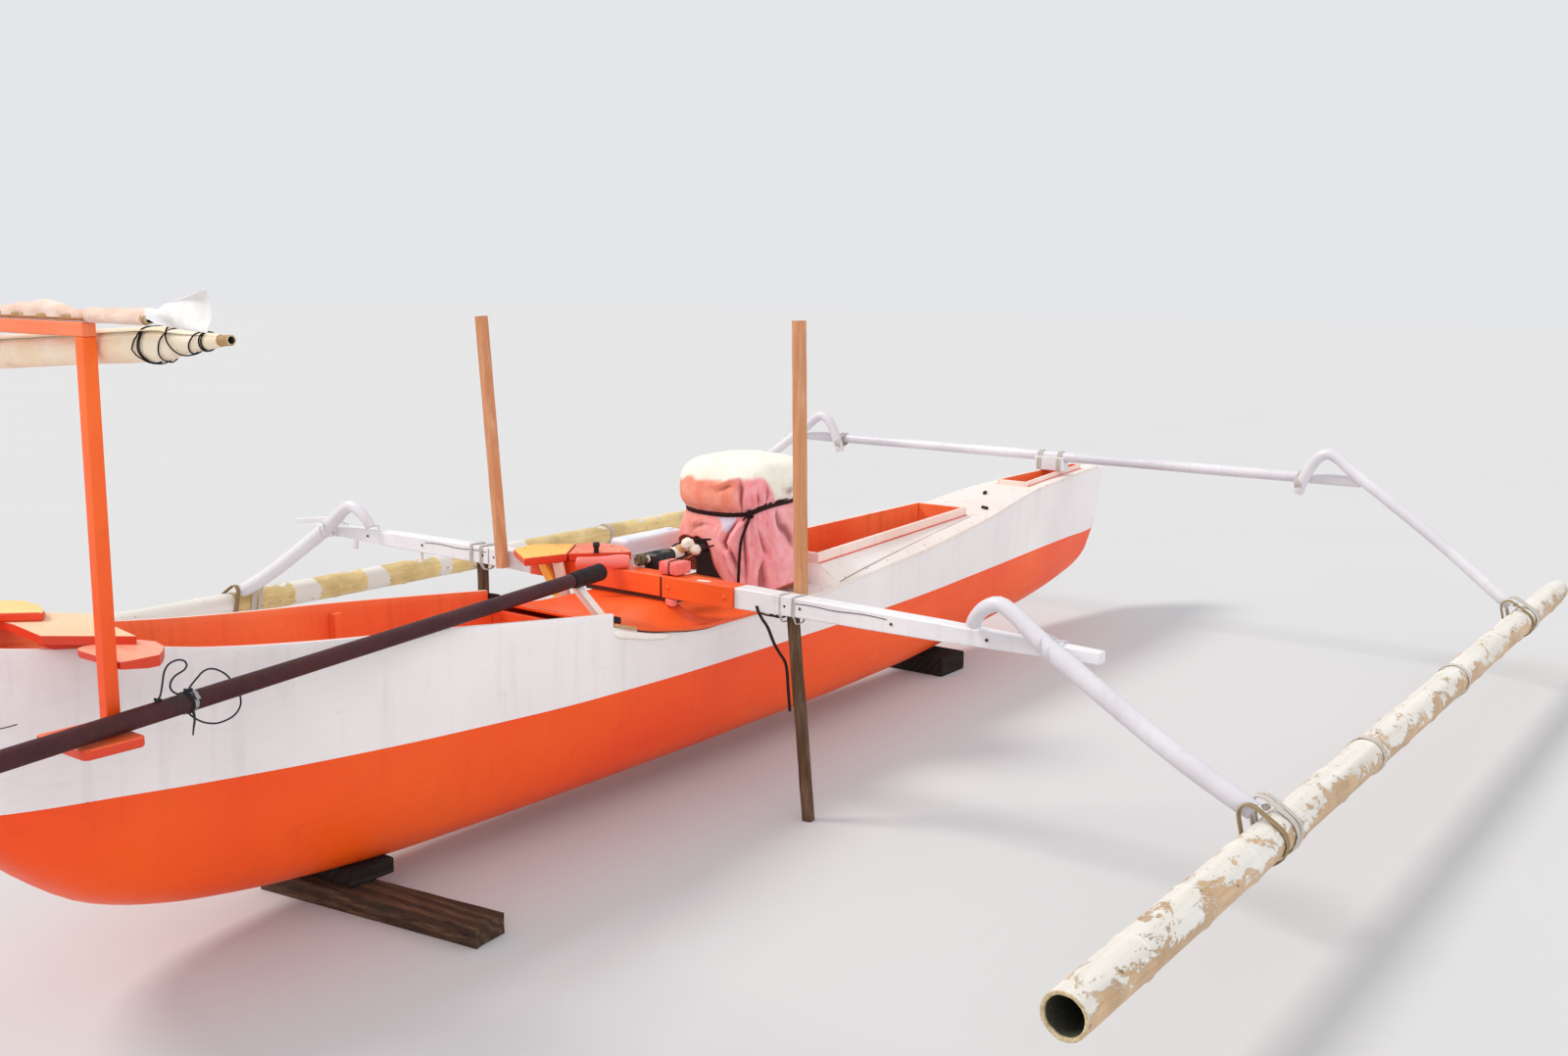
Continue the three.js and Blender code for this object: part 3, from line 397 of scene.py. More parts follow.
M["white_pipe"] = painted("paint_white_pipes", 0xe0dce2, 0xc9c5cd, 0xe9e7ea, 0xb9a68c, (0.25, 0.25, 0.25), 0.32, 0.80, 0.34, 0x8a8680, 0.35)
M["orange_beam"] = painted("paint_orange_beam", 0xf35a1c, 0xe2440f, 0xf96c2c, 0xb06a3c, (1, 0.10, 1), 0.40, 0.775, 0.34, 0x7a2c14, 0.5, worn=0.03)
M["pink_paint"] = painted("paint_pink_red", 0xf0746a, 0xe45850, 0xf79a8c, 0xd8a890, (0.3, 0.3, 1), 0.42, 0.78, 0.30, 0x9a3c30, 0.5)
M["helm_yellow"] = painted("paint_yellow_orange", 0xffcd50, 0xfdb53c, 0xffdf84, 0xe8c890, (1, 0.14, 1), 0.40, 0.775, 0.28, 0xb0601c, 0.5, worn=0.03)
M["helm_pink"] = painted("paint_helm_salmon", 0xf88e6c, 0xf2744e, 0xfbae90, 0xe8b898, (1, 0.14, 1), 0.42, 0.775, 0.28, 0xa8482c, 0.5, worn=0.03)
M["cream_paint"] = painted("paint_cream", 0xf3e6d8, 0xead4c0, 0xf8f0e6, 0xc09874, (0.12, 1, 1), 0.42, 0.785, 0.30, 0x9a7458, 0.5)
# dark brown for the after face of the raised deck: painted shade in its opening
M["shade_wood"] = timber("timber_painted_shade", 0x6a3c30, 0x54302a, 0x40221c, (0.1, 1, 1), 0.7, 0.6)
M["batten"] = painted("paint_batten", 0xfbf4ee, 0xf3e8dd, 0xfffbf7, 0xc8a888, (0.12, 1, 1), 0.40, 0.79, 0.26, 0x9a7458, 0.4)
M["peach"] = painted("paint_peach_boards", 0xfab89c, 0xf39a7a, 0xfccbb4, 0xe8c4a0, (1, 0.12, 1), 0.44, 0.775, 0.30, 0xb06048, 0.5, worn=0.03)
M["seat_yellow"] = painted("paint_seat_yellow", 0xfcdc8c, 0xf8c468, 0xfde9b4, 0xe8d8b0, (1, 0.14, 1), 0.42, 0.78, 0.24, 0xb07a34, 0.5, worn=0.03)
M["cream_wood"] = timber("timber_cream", 0xecd9b4, 0xdcbf8e, 0xb0885a, (0.10, 1, 1), 0.35, 0.7)
# black for tar, and for painted shade and shadow in gaps and under the engine deck's lip
M["tar"] = plain("tar_black", 0x1c1513, 0x0c0908, 0.5, 0.0, 0.0006, 90, 0.5, 0.4)
# brown for real seams, and for a strip of painted shade under the beam
M["tar_soft"] = plain("seam_and_shade_brown", 0x6e4a3c, 0x3c2820, 0.6, 0.0, 0.0006, 90, 0.5, 0.3)
M["rope_pale"] = cord_material("rope_painted", 0xe4e0da, 0xa89e90, 500)
M["tail_green"] = cord_material("tail_olive", 0x4a4a34, 0x22241a, 600)
M["bamboo_tan"] = timber("bamboo_spar", 0xd9bd86, 0xbf9a60, 0x7c5a34, (1, 0.05, 1), 0.35, 0.5)


def cloth_material(name, base, dark, light, weave=900.0, rough=0.88, attrs=False, stain=0.0, stain_colour=0x3a2a20, stain_and_shade_below=None, fold_bump=0.0):
    m = Mat(name)
    broad = m.noise(4.2, 4, 0.55)
    mid = m.noise(17, 6, 0.62, None, 0.5)
    fine = m.noise(240, 3, 0.6)
    wx = m.wave(weave * 0.16, m.scale((1, 1, 0.15)), 0.6, 1.0, "X")
    wz = m.wave(weave * 0.16, m.scale((0.15, 0.15, 1)), 0.6, 1.0, "Z")
    weave_h = m.math("ADD", wx, wz)
    col = m.mix(m.remap(broad, 0.34, 0.66), lin(dark), lin(base))
    col = m.mix(m.remap(mid, 0.45, 0.72, 0, 0.6), col, lin(light))
    if attrs:
        pink = m.mix(m.remap(mid, 0.3, 0.7), lin(0xf58d94), lin(0xffb6ba))
        salmon = m.mix(m.remap(mid, 0.3, 0.7), lin(0xef8468), lin(0xfbae94))
        col = m.mix(m.attr("pink"), salmon, pink)
        fade = m.remap(m.noise(9, 5, 0.6, None, 0.8), 0.52, 0.70, 0, 0.55)
        col = m.mix(fade, col, lin(0xf6b4ac))
        # the cover's top: sun-bleached cream with painted sunlight on it, above a boundary given per angle
        col = m.mix(m.attr("bleached_lit_top"), col, m.mix(m.remap(mid, 0.3, 0.7), lin(0xf1ead8), lin(0xfaf6ea)))
        # white cloth under the tie in lilac grey: painted shade on white
        col = m.mix(m.attr("white_patch_shade"), col, lin(0xd9d0e6))
        grime = m.remap(m.noise(6.5, 7, 0.7, m.scale((1, 1, 1.4))), 0.60, 0.76, 0, 0.30)
        col = m.mix(grime, col, lin(0xb8605a))
        # painted shade in the fold valleys and along the tie, read from a point attribute
        col = m.mix(m.math("MULTIPLY", m.attr("crease_shade"), 0.78), col, lin(0x7c2c34))
    if stain:
        sn = m.noise(7.5, 8, 0.72, None, 0.6)
        mask = m.remap(sn, 0.56, 0.68, 0, stain)
        # stronger on faces that point down: stains and painted shade on the underside
        if stain_and_shade_below is not None:
            zz = m.normal()[2]
            mask = m.math("MULTIPLY", mask, m.remap(zz, stain_and_shade_below + 0.5, stain_and_shade_below, 0.15, 1.0))
        col = m.mix(mask, col, lin(stain_colour))
    # painted shade: every cloth is darker where its surface is hollow, as in its creases
    crease_shade = m.remap(m.pointy(), 0.44, 0.50, 0.55, 0.0)
    col = m.mix(crease_shade, col, m.mix(0.5, lin(dark), lin(0x40201c)))
    b1 = m.bump(m.math("ADD", weave_h, fine), 0.0005, 0.45)
    b2 = m.bump(mid, 0.004, 0.35, b1)
    m.set(Base_Color=col, Roughness=rough, Normal=b2)
    m.b.inputs["Specular IOR Level"].default_value = 0.2
    m.b.inputs["Sheen Weight"].default_value = 0.25
    m.b.inputs["Sheen Roughness"].default_value = 0.5
    return m.m


M["cover"] = cloth_material("cloth_engine_cover", 0xe4705e, 0xcc5248, 0xf4a090, attrs=True)
M["cover_plain"] = cloth_material("cloth_cover_hem", 0xdc6660, 0xc04c48, 0xee8c84)
M["pad"] = cloth_material("cloth_pad", 0xee6e66, 0xd64c4a, 0xf89a8c)
M["tan_cloth"] = cloth_material("cloth_tan", 0xdca870, 0xb07a4a, 0xecc898)
# the roll's stains darken toward its underside, partly as painted shade
M["sail"] = cloth_material("cloth_sail_rolled", 0xfff2da, 0xfae6c4, 0xfffaf0, stain=0.55, stain_colour=0x5a4a40, stain_and_shade_below=-0.95)
M["wrap"] = cloth_material("cloth_spar_wrap", 0xf2d4c2, 0xe2b8a2, 0xfae8dc, stain=0.35, stain_colour=0x8a5c48)
M["sail_white"] = cloth_material("cloth_sail_corner", 0xf4f3f2, 0xe6e2de, 0xffffff, stain=0.22, stain_colour=0xc8a888)


# ------------------------------------------------------------------ cords: they lie where the CAD solids lie
def smooth_path(points, step=0.004, closed=False):
    """Centripetal Catmull-Rom through the points, as the CAD tubes run, sampled evenly enough."""
    pts = [Vector(p) for p in points]
    ext = [pts[0] * 2 - pts[1]] + pts + [pts[-1] * 2 - pts[-2]]
    out = []
    for i in range(1, len(ext) - 2):
        p0, p1, p2, p3 = ext[i - 1], ext[i], ext[i + 1], ext[i + 2]
        t0 = 0.0
        t1 = t0 + max((p1 - p0).length ** 0.5, 1e-6)
        t2 = t1 + max((p2 - p1).length ** 0.5, 1e-6)
        t3 = t2 + max((p3 - p2).length ** 0.5, 1e-6)
        n = max(2, int((p2 - p1).length / step))
        for k in range(n):
            t = t1 + (t2 - t1) * k / n
            a1 = p0 * ((t1 - t) / (t1 - t0)) + p1 * ((t - t0) / (t1 - t0))
            a2 = p1 * ((t2 - t) / (t2 - t1)) + p2 * ((t - t1) / (t2 - t1))
            a3 = p2 * ((t3 - t) / (t3 - t2)) + p3 * ((t - t2) / (t3 - t2))
            b1 = a1 * ((t2 - t) / (t2 - t0)) + a2 * ((t - t0) / (t2 - t0))
            b2 = a2 * ((t3 - t) / (t3 - t1)) + a3 * ((t - t1) / (t3 - t1))
            out.append(b1 * ((t2 - t) / (t2 - t1)) + b2 * ((t - t1) / (t2 - t1)))
    out.append(pts[-1])
    return out


def new_object(name, mesh, mats, body="boat", smooth=None):
    for mt in mats:
        mesh.materials.append(mt)
    ob = bpy.data.objects.new(name, mesh)
    SCENE.collection.objects.link(ob)
    if smooth is not None:
        shade(ob, smooth)
    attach(ob, body)
    return ob


def shade(ob, degrees=35):
    """Smooth shading with creases where faces turn by more than that."""
    me = ob.data
    me.polygons.foreach_set("use_smooth", [True] * len(me.polygons))
    bm = bmesh.new()
    bm.from_mesh(me)
    lim = math.radians(degrees)
    for e in bm.edges:
        if len(e.link_faces) == 2:
            try:
                e.smooth = e.calc_face_angle() < lim
            except ValueError:
                e.smooth = True
        else:
            e.smooth = True
    bm.to_mesh(me)
    bm.free()


def frames_along(pts):
    """Tangents and a frame that doesn't twist, for each point."""
    n = len(pts)
    tan = []
    for i in range(n):
        a, b = pts[max(i - 1, 0)], pts[min(i + 1, n - 1)]
        tan.append((b - a).normalized())
    up = Vector((0, 0, 1)) if abs(tan[0].z) < 0.9 else Vector((1, 0, 0))
    u = (up - tan[0] * up.dot(tan[0])).normalized()
    res = []
    for i in range(n):
        if i:
            q = tan[i - 1].rotation_difference(tan[i])
            u = q @ u
            u = (u - tan[i] * u.dot(tan[i])).normalized()
        res.append((tan[i], u, tan[i].cross(u)))
    return res


def tube_mesh(name, pts, radius, sides=12, flat=1.0, twist=0.0, caps=True, rfun=None, side_dir=None):
    """A closed tube along the points. flat presses the section along its first axis."""
    fr = frames_along(pts)
    verts, faces = [], []
    for i, (p, (t, u, v)) in enumerate(zip(pts, fr)):
        r = radius if rfun is None else rfun(i / (len(pts) - 1)) * radius
        if side_dir is not None:
            v2 = (side_dir - t * side_dir.dot(t)).normalized()
            u, v = t.cross(v2) * -1, v2
        for k in range(sides):
            a = 2 * math.pi * k / sides + twist * i
            verts.append(p + u * (math.cos(a) * r * flat) + v * (math.sin(a) * r))
    n = len(pts)
    for i in range(n - 1):
        for k in range(sides):
            a, b = i * sides + k, i * sides + (k + 1) % sides
            faces.append((a, b, b + sides, a + sides))
    if caps:
        faces.append(tuple(range(sides))[::-1])
        faces.append(tuple((n - 1) * sides + k for k in range(sides)))
    me = bpy.data.meshes.new(name)
    me.from_pydata([tuple(v) for v in verts], [], faces)
    me.validate()
    fix_normals(me)
    return me


def fix_normals(me):
    bm = bmesh.new()
    bm.from_mesh(me)
    bmesh.ops.recalc_face_normals(bm, faces=bm.faces)
    bm.to_mesh(me)
    bm.free()


CORDS = {
    "hanging_strap": dict(r=0.005, at=[[3510, -530, 646], [3506, -539, 632], [3503, -556, 612], [3502, -577, 590], [3502, -602, 544], [3502, -622, 518], [3502, -643, 494], [3502, -651, 466], [3502, -655, 423], [3502, -659, 385], [3502, -663, 346]],
                          mat="strap", far="bare", stiff="limp"),
    "cover_cord": dict(r=0.005, at=[[3937, -172, 826], [3935, -169, 812], [3925, -163, 785], [3914, -157, 752], [3907, -156, 713], [3901, -157, 671], [3896, -159, 622], [3894, -161, 590], [3893, -162, 570]],
                       mat="strap", far="bare", stiff="limp"),
    "ring_loop": dict(r=0.002, at=[[1694, -444, 768], [1706, -440, 777], [1720, -435, 785], [1738, -427, 793], [1756, -419, 795], [1775, -412, 791], [1795, -403, 781], [1815, -395, 767], [1831, -389, 749], [1845, -385, 731],
                                   [1853, -384, 711], [1853, -385, 692], [1844, -389, 681], [1827, -397, 674], [1804, -405, 671], [1778, -413, 672], [1756, -421, 678], [1733, -430, 688], [1710, -438, 703], [1694, -444, 717]],
                      mat="cord_grey", far="object", stiff="stiff"),
    "bracket_loop": dict(r=0.002, at=[[1617, -460, 767], [1623, -459, 774], [1627, -458, 784], [1632, -457, 804], [1637, -455, 819], [1647, -451, 830], [1663, -446, 835], [1681, -441, 834], [1694, -438, 828], [1698, -438, 819], [1691, -441, 812], [1678, -446, 809], [1662, -451, 805],
                                      [1651, -454, 796], [1649, -454, 785], [1656, -452, 774], [1668, -449, 766]],
                         mat="cord_grey", far="object", stiff="stiff"),
}
for name, c in CORDS.items():
    pts = smooth_path([P(x / 1000, y / 1000, z / 1000) for x, y, z in c["at"]], 0.0025)
    me = tube_mesh(name + "_cord", pts, c["r"], 10, flat=0.55 if name in ("hanging_strap", "cover_cord") else 1.0, side_dir=Vector((0.83, -0.56, 0)) if name in ("hanging_strap", "cover_cord") else None)
    ob = new_object(name + "_cord", me, [M[c["mat"]]], smooth=60)
    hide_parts(name)


# ------------------------------------------------------------------ small shapes in mesh code
class Shape:
    """Closed pieces gathered in one mesh; each face carries the number of its material."""

    def __init__(self):
        self.v, self.f, self.m = [], [], []

    def add(self, verts, faces, mat=0):
        b = len(self.v)
        self.v += [tuple(p) for p in verts]
        self.f += [tuple(b + i for i in f) for f in faces]
        self.m += [mat] * len(faces) if isinstance(mat, int) else list(mat)

    def tube(self, pts, r, sides=12, mat=0, rfun=None, flat=1.0, side_dir=None, caps=True):
        fr = frames_along(pts)
        verts, faces = [], []
        n = len(pts)
        for i, (p, (t, u, w)) in enumerate(zip(pts, fr)):
            rr = r if rfun is None else r * rfun(i / (n - 1))
            if side_dir is not None:
                w = (side_dir - t * side_dir.dot(t)).normalized()
                u = w.cross(t)
            for k in range(sides):
                a = 2 * math.pi * k / sides
                verts.append(p + u * (math.cos(a) * rr * flat) + w * (math.sin(a) * rr))
        for i in range(n - 1):
            for k in range(sides):
                a, b = i * sides + k, i * sides + (k + 1) % sides
                faces.append((a, b, b + sides, a + sides))
        if caps:
            faces.append(tuple(range(sides))[::-1])
            faces.append(tuple((n - 1) * sides + k for k in range(sides)))
        self.add(verts, faces, mat)

    def ring(self, pts, r, sides=8, mat=0, flat=1.0, side_dir=None):
        """A tube that closes on itself."""
        n = len(pts)
        verts, faces = [], []
        u = None
        for i in range(n):
            t = (pts[(i + 1) % n] - pts[i - 1]).normalized()
            if side_dir is not None:
                w = (side_dir - t * side_dir.dot(t)).normalized()
                u = w.cross(t)
            else:
                if u is None:
                    up = Vector((0, 0, 1)) if abs(t.z) < 0.9 else Vector((1, 0, 0))
                    u = up
                u = (u - t * u.dot(t)).normalized()
                w = t.cross(u)
            for k in range(sides):
                a = 2 * math.pi * k / sides
                verts.append(pts[i] + u * (math.cos(a) * r * flat) + w * (math.sin(a) * r))
        for i in range(n):
            for k in range(sides):
                a, b = i * sides + k, i * sides + (k + 1) % sides
                j = ((i + 1) % n) * sides
                faces.append((a, b, j + (k + 1) % sides, j + k))
        self.add(verts, faces, mat)

    def lathe(self, origin, axis, profile, sides=32, mat=0, wob=None, up=None):
        """profile: (radius, distance along the axis), ends on the axis or closes on itself; mat: one per profile step."""
        axis = Vector(axis).normalized()
        ref = Vector(up) if up is not None else (Vector((0, 0, 1)) if abs(axis.z) < 0.9 else Vector((1, 0, 0)))
        u = (ref - axis * ref.dot(axis)).normalized()
        w = axis.cross(u)
        origin = Vector(origin)
        loops, verts = [], []
        closed = profile[0][0] > 1e-9
        prof = profile[:-1] if closed else profile
        for j, (r, d) in enumerate(prof):
            if r < 1e-9:
                loops.append([len(verts)])
                verts.append(origin + axis * d)
                continue
            ids = []
            for k in range(sides):
                a = 2 * math.pi * k / sides
                rr, dd = (r, d) if wob is None else wob(r, d, a, j)
                ids.append(len(verts))
                verts.append(origin + axis * dd + u * (math.cos(a) * rr) + w * (math.sin(a) * rr))
            loops.append(ids)
        faces, mats = [], []
        pairs = list(zip(range(len(loops)), range(1, len(loops))))
        if closed:
            pairs.append((len(loops) - 1, 0))
        for j, (a, b) in enumerate(pairs):
            A, B = loops[a], loops[b]
            mi = mat if isinstance(mat, int) else mat[j]
            for k in range(sides):
                k2 = (k + 1) % sides
                if len(A) == 1 and len(B) == 1:
                    continue
                if len(A) == 1:
                    faces.append((A[0], B[k], B[k2]))
                elif len(B) == 1:
                    faces.append((A[k], B[0], A[k2]))
                else:
                    faces.append((A[k], B[k], B[k2], A[k2]))
                mats.append(mi)
        self.add(verts, faces, mats)

    def prism(self, outline, off, mat=0, cap=None):
        n = len(outline)
        off = Vector(off)
        verts = [Vector(p) for p in outline] + [Vector(p) + off for p in outline]
        faces = [tuple(range(n))[::-1], tuple(range(n, 2 * n))] + [(k, (k + 1) % n, n + (k + 1) % n, n + k) for k in range(n)]
        c = mat if cap is None else cap
        self.add(verts, faces, [c, c] + [mat] * n)

    def box(self, x0, x1, y0, y1, z0, z1, mat=0):
        self.prism([P(x0, y0, z0), P(x1, y0, z0), P(x1, y1, z0), P(x0, y1, z0)], (0, 0, z1 - z0), mat)

    def stick(self, a, b, w, h, mat=0, up=(0, 0, 1), taper=1.0, n=1):
        """A square stick from a to b, w wide and h deep."""
        a, b = Vector(a), Vector(b)
        t = (b - a).normalized()
        up = Vector(up)
        v = (up - t * up.dot(t)).normalized()
        u = t.cross(v)
        verts, faces = [], []
        for i in range(n + 1):
            p = a + (b - a) * i / n
            k = 1 + (taper - 1) * i / n
            for s1, s2 in ((-1, -1), (1, -1), (1, 1), (-1, 1)):
                verts.append(p + u * (s1 * w / 2 * k) + v * (s2 * h / 2 * k))
        for i in range(n):
            for k in range(4):
                c = 4 * i
                faces.append((c + k, c + (k + 1) % 4, c + 4 + (k + 1) % 4, c + 4 + k))
        faces += [(3, 2, 1, 0), (4 * n, 4 * n + 1, 4 * n + 2, 4 * n + 3)]
        self.add(verts, faces, mat)

    def blob(self, centre, r, mat=0, seg=12, squash=(1, 1, 1), rough=0.0):
        centre = Vector(centre)
        prof = []
        verts, faces = [], []
        rows = seg // 2
        for i in range(rows + 1):
            th = math.pi * i / rows
            for k in range(seg):
                a = 2 * math.pi * k / seg
                d = Vector((math.sin(th) * math.cos(a) * squash[0], math.sin(th) * math.sin(a) * squash[1], math.cos(th) * squash[2]))
                verts.append(centre + d * (r * (1 + rough * noise.noise(d * 2.7 + centre * 31))))
                if i in (0, rows):
                    break
        def at(i, k):
            if i == 0:
                return 0
            if i == rows:
                return 1 + (rows - 1) * seg
            return 1 + (i - 1) * seg + k % seg
        for i in range(rows):
            for k in range(seg):
                q = [at(i, k), at(i, k + 1), at(i + 1, k + 1), at(i + 1, k)]
                q = list(dict.fromkeys(q))
                if len(q) > 2:
                    faces.append(tuple(q))
        self.add(verts, faces, mat)

    def done(self, name, mats, smooth=35, body="boat", bev=0.0, seg=2, angle=40):
        me = bpy.data.meshes.new(name)
        me.from_pydata(self.v, [], self.f)
        me.polygons.foreach_set("material_index", self.m)
        fix_normals(me)
        ob = new_object(name, me, mats, body=body, smooth=smooth)
        if bev:
            bevel(ob, bev, seg, angle)
        return ob


def hull2d(pts):
    pts = sorted(set((round(a, 6), round(b, 6)) for a, b in pts))

    def half(ps):
        out = []
        for p in ps:
            while len(out) >= 2 and (out[-1][0] - out[-2][0]) * (p[1] - out[-2][1]) - (out[-1][1] - out[-2][1]) * (p[0] - out[-2][0]) <= 0:
                out.pop()
            out.append(p)
        return out[:-1]

    return half(pts) + half(pts[::-1])


def circle2d(cx, cy, r, n=20):
    return [(cx + r * math.cos(2 * math.pi * k / n), cy + r * math.sin(2 * math.pi * k / n)) for k in range(n)]


def rect2d(cx, cy, a, b, r):
    """Corners of a rectangle grown by r, rounded."""
    out = []
    for sx, sy in ((1, 1), (-1, 1), (-1, -1), (1, -1)):
        for k in range(5):
            q = math.atan2(sy, sx) - math.pi / 4 + k * math.pi / 8
            out.append((cx + sx * a + r * math.cos(q), cy + sy * b + r * math.sin(q)))
    return out


def around(section, n=30):
    """The hull of the section, as n points evenly along it."""
    h = hull2d(section)
    h = h + [h[0]]
    seg = [math.dist(a, b) for a, b in zip(h, h[1:])]
    total = sum(seg)
    out, i, acc = [], 0, 0.0
    for k in range(n):
        t = total * k / n
        while acc + seg[i] < t:
            acc += seg[i]
            i += 1
        f = (t - acc) / max(seg[i], 1e-9)
        out.append((h[i][0] + (h[i + 1][0] - h[i][0]) * f, h[i][1] + (h[i + 1][1] - h[i][1]) * f))
    return out


def lash(shape, centre, axis, u, v, section, turns, cr, mat=0, sides=6, n=30, pitch=1.02, jitter=0.0, seed=0):
    """Cord wound tight round a section; the section is already grown by the cord's radius."""
    axis, u, v, centre = Vector(axis), Vector(u), Vector(v), Vector(centre)
    ring = around(section, n)
    r2 = random.Random(seed)
    pts = []
    for i in range(turns * n + 1):
        x, y = ring[i % n]
        d = (i / n - turns / 2) * 2 * cr * pitch
        w = jitter * (noise.noise(Vector((i * 0.21, seed, 0.5))))
        k = 1.0 + 0.3 * cr / max(math.hypot(x, y), 1e-4) * noise.noise(Vector((i * 0.37, seed + 9, 0.1)))
        pts.append(centre + u * x * k + v * y * k + axis * (d + w))
    shape.tube(pts, cr, sides, mat)


def knot(shape, at, size, r, mat=0, turn=(0, 0, 1), sides=6, n=60):
    """A small overhand knot pulled tight."""
    q = Vector((0, 0, 1)).rotation_difference(Vector(turn))
    pts = []
    for i in range(n):
        t = 2 * math.pi * i / n
        p = Vector((math.sin(t) + 2 * math.sin(2 * t), math.cos(t) - 2 * math.cos(2 * t), -math.sin(3 * t) * 1.3))
        pts.append(Vector(at) + q @ (p * (size / 6)))
    shape.ring(pts, r, sides, mat)


def puff(ob, voxel=0.004, pressure=4.0, cap=0.006, frames=20):
    """Cloth filled with air, capped, for small stuffed pieces."""
    me = ob.data
    rm = ob.modifiers.new("remesh", "REMESH")
    rm.mode = "VOXEL"
    rm.voxel_size = voxel
    deps = bpy.context.evaluated_depsgraph_get()
    base = bpy.data.meshes.new_from_object(ob.evaluated_get(deps))
    ob.modifiers.remove(rm)
    tmp = bpy.data.objects.new(ob.name + "_sim", base)
    SCENE.collection.objects.link(tmp)
    start = [v.co.copy() for v in base.vertices]
    cl = tmp.modifiers.new("cloth", "CLOTH")
    cl.settings.use_pressure = True
    cl.settings.uniform_pressure_force = pressure
    cl.settings.effector_weights.gravity = 0
    cl.settings.quality = 5
    cl.point_cache.frame_start, cl.point_cache.frame_end = 1, frames
    for f in range(1, frames + 1):
        SCENE.frame_set(f)
    deps = bpy.context.evaluated_depsgraph_get()
    out = bpy.data.meshes.new_from_object(tmp.evaluated_get(deps))
    for v, s in zip(out.vertices, start):
        d = v.co - s
        if d.length > cap:
            v.co = s + d * (cap / d.length)
    SCENE.frame_set(1)
    bpy.data.objects.remove(tmp)
    mats = list(me.materials)
    ob.data = out
    out.materials.clear()
    for m in mats:
        out.materials.append(m)
    out.polygons.foreach_set("use_smooth", [True] * len(out.polygons))
    sub = ob.modifiers.new("sub", "SUBSURF")
    sub.levels = sub.render_levels = 1


# ------------------------------------------------------------------ hull
HULL = [  # station, keel, paint line, half beam there, sheer, half beam there, in mm
    (1095, 905, 912, 12, 935, 14), (1180, 735, 742, 34, 915, 60), (1280, 590, 600, 62, 890, 105), (1390, 455, 500, 92, 868, 143), (1500, 328, 488, 122, 849, 173),
    (1700, 183, 476, 160, 820, 196), (1900, 121, 463, 192, 782, 213), (2200, 82, 443, 220, 744, 232), (2550, 60, 425, 244, 711, 250), (3120, 58, 405, 266, 652, 272),
    (3600, 58, 400, 271, 530, 280), (4200, 58, 400, 266, 530, 275), (4930, 65, 400, 235, 572, 247), (5480, 90, 402, 190, 613, 203), (6150, 133, 401, 120, 678, 134),
    (6600, 190, 397, 70, 690, 80), (6870, 263, 389, 37, 694, 46), (6965, 385, 392, 24, 693, 34), (7030, 520, 528, 17, 691, 24), (7090, 676, 682, 12, 690, 13)]
SHEER_AFT = [(1095, 935), (1280, 890), (1500, 849), (1700, 820), (1900, 782), (2200, 744), (2550, 711), (3160, 646)]
SHEER_FORE = [(3160, 606), (3340, 562), (3600, 530), (4200, 530), (4450, 545), (4930, 572), (5480, 613), (6150, 678), (6600, 690), (6870, 694), (7090, 690)]
STEP_X, STEM_X, STERN_X = 3.160, 6.930, 1.250


def pchip(xs, ys):
    """A smooth curve through the points that doesn't overshoot."""
    xs, ys = np.array(xs, float), np.array(ys, float)
    h, d = np.diff(xs), np.diff(ys) / np.diff(xs)
    s = np.zeros(len(xs))
    for i in range(1, len(xs) - 1):
        if d[i - 1] * d[i] > 0:
            w1, w2 = 2 * h[i] + h[i - 1], h[i] + 2 * h[i - 1]
            s[i] = (w1 + w2) / (w1 / d[i - 1] + w2 / d[i])
    s[0], s[-1] = d[0], d[-1]

    def f(x):
        x = min(max(x, xs[0]), xs[-1])
        i = min(int(np.searchsorted(xs, x, side="right")) - 1, len(xs) - 2)
        t = (x - xs[i]) / h[i]
        return float((1 + 2 * t) * (1 - t) ** 2 * ys[i] + t * (1 - t) ** 2 * h[i] * s[i] + t * t * (3 - 2 * t) * ys[i + 1] + t * t * (t - 1) * h[i] * s[i + 1])

    return f


_hx = [r[0] / 1000 for r in HULL]
keel_at = pchip(_hx, [r[1] / 1000 for r in HULL])
paint_at = pchip(_hx, [r[2] / 1000 for r in HULL])
bpaint_at = pchip(_hx, [r[3] / 1000 for r in HULL])
flare_at = pchip(_hx, [(r[5] - r[3]) / (r[4] - r[2]) for r in HULL])
bsheer_at = pchip(_hx, [r[5] / 1000 for r in HULL])
_sa = pchip([a / 1000 for a, b in SHEER_AFT], [b / 1000 for a, b in SHEER_AFT])
_sf = pchip([a / 1000 for a, b in SHEER_FORE], [b / 1000 for a, b in SHEER_FORE])


def sheer_at(x):
    return _sa(x) if x < STEP_X else _sf(x)


FULL = pchip([0, 1, 2, 3, 4], [0, 0.50, 0.80, 0.94, 1.0]), pchip([0, 1, 2, 3, 4], [0, 0.10, 0.30, 0.60, 1.0])


def half_beam(x, z, inset=0.0):
    """Half beam above the paint line."""
    return max(bpaint_at(x) - inset, 0.004) + flare_at(x) * (z - paint_at(x))


def bottom_half(x, inset, n=14):
    k = keel_at(x) + (0.030 if inset else 0)
    bp, h = max(bpaint_at(x) - inset, 0.004), max(paint_at(x) - k, 0.004)
    return [(FULL[0](4 * i / n) * bp, k + FULL[1](4 * i / n) * h) for i in range(n + 1)]


def stations(x0, x1, step=0.045):
    n = max(2, int(math.ceil((x1 - x0) / step)))
    return [x0 + (x1 - x0) * i / n for i in range(n + 1)]


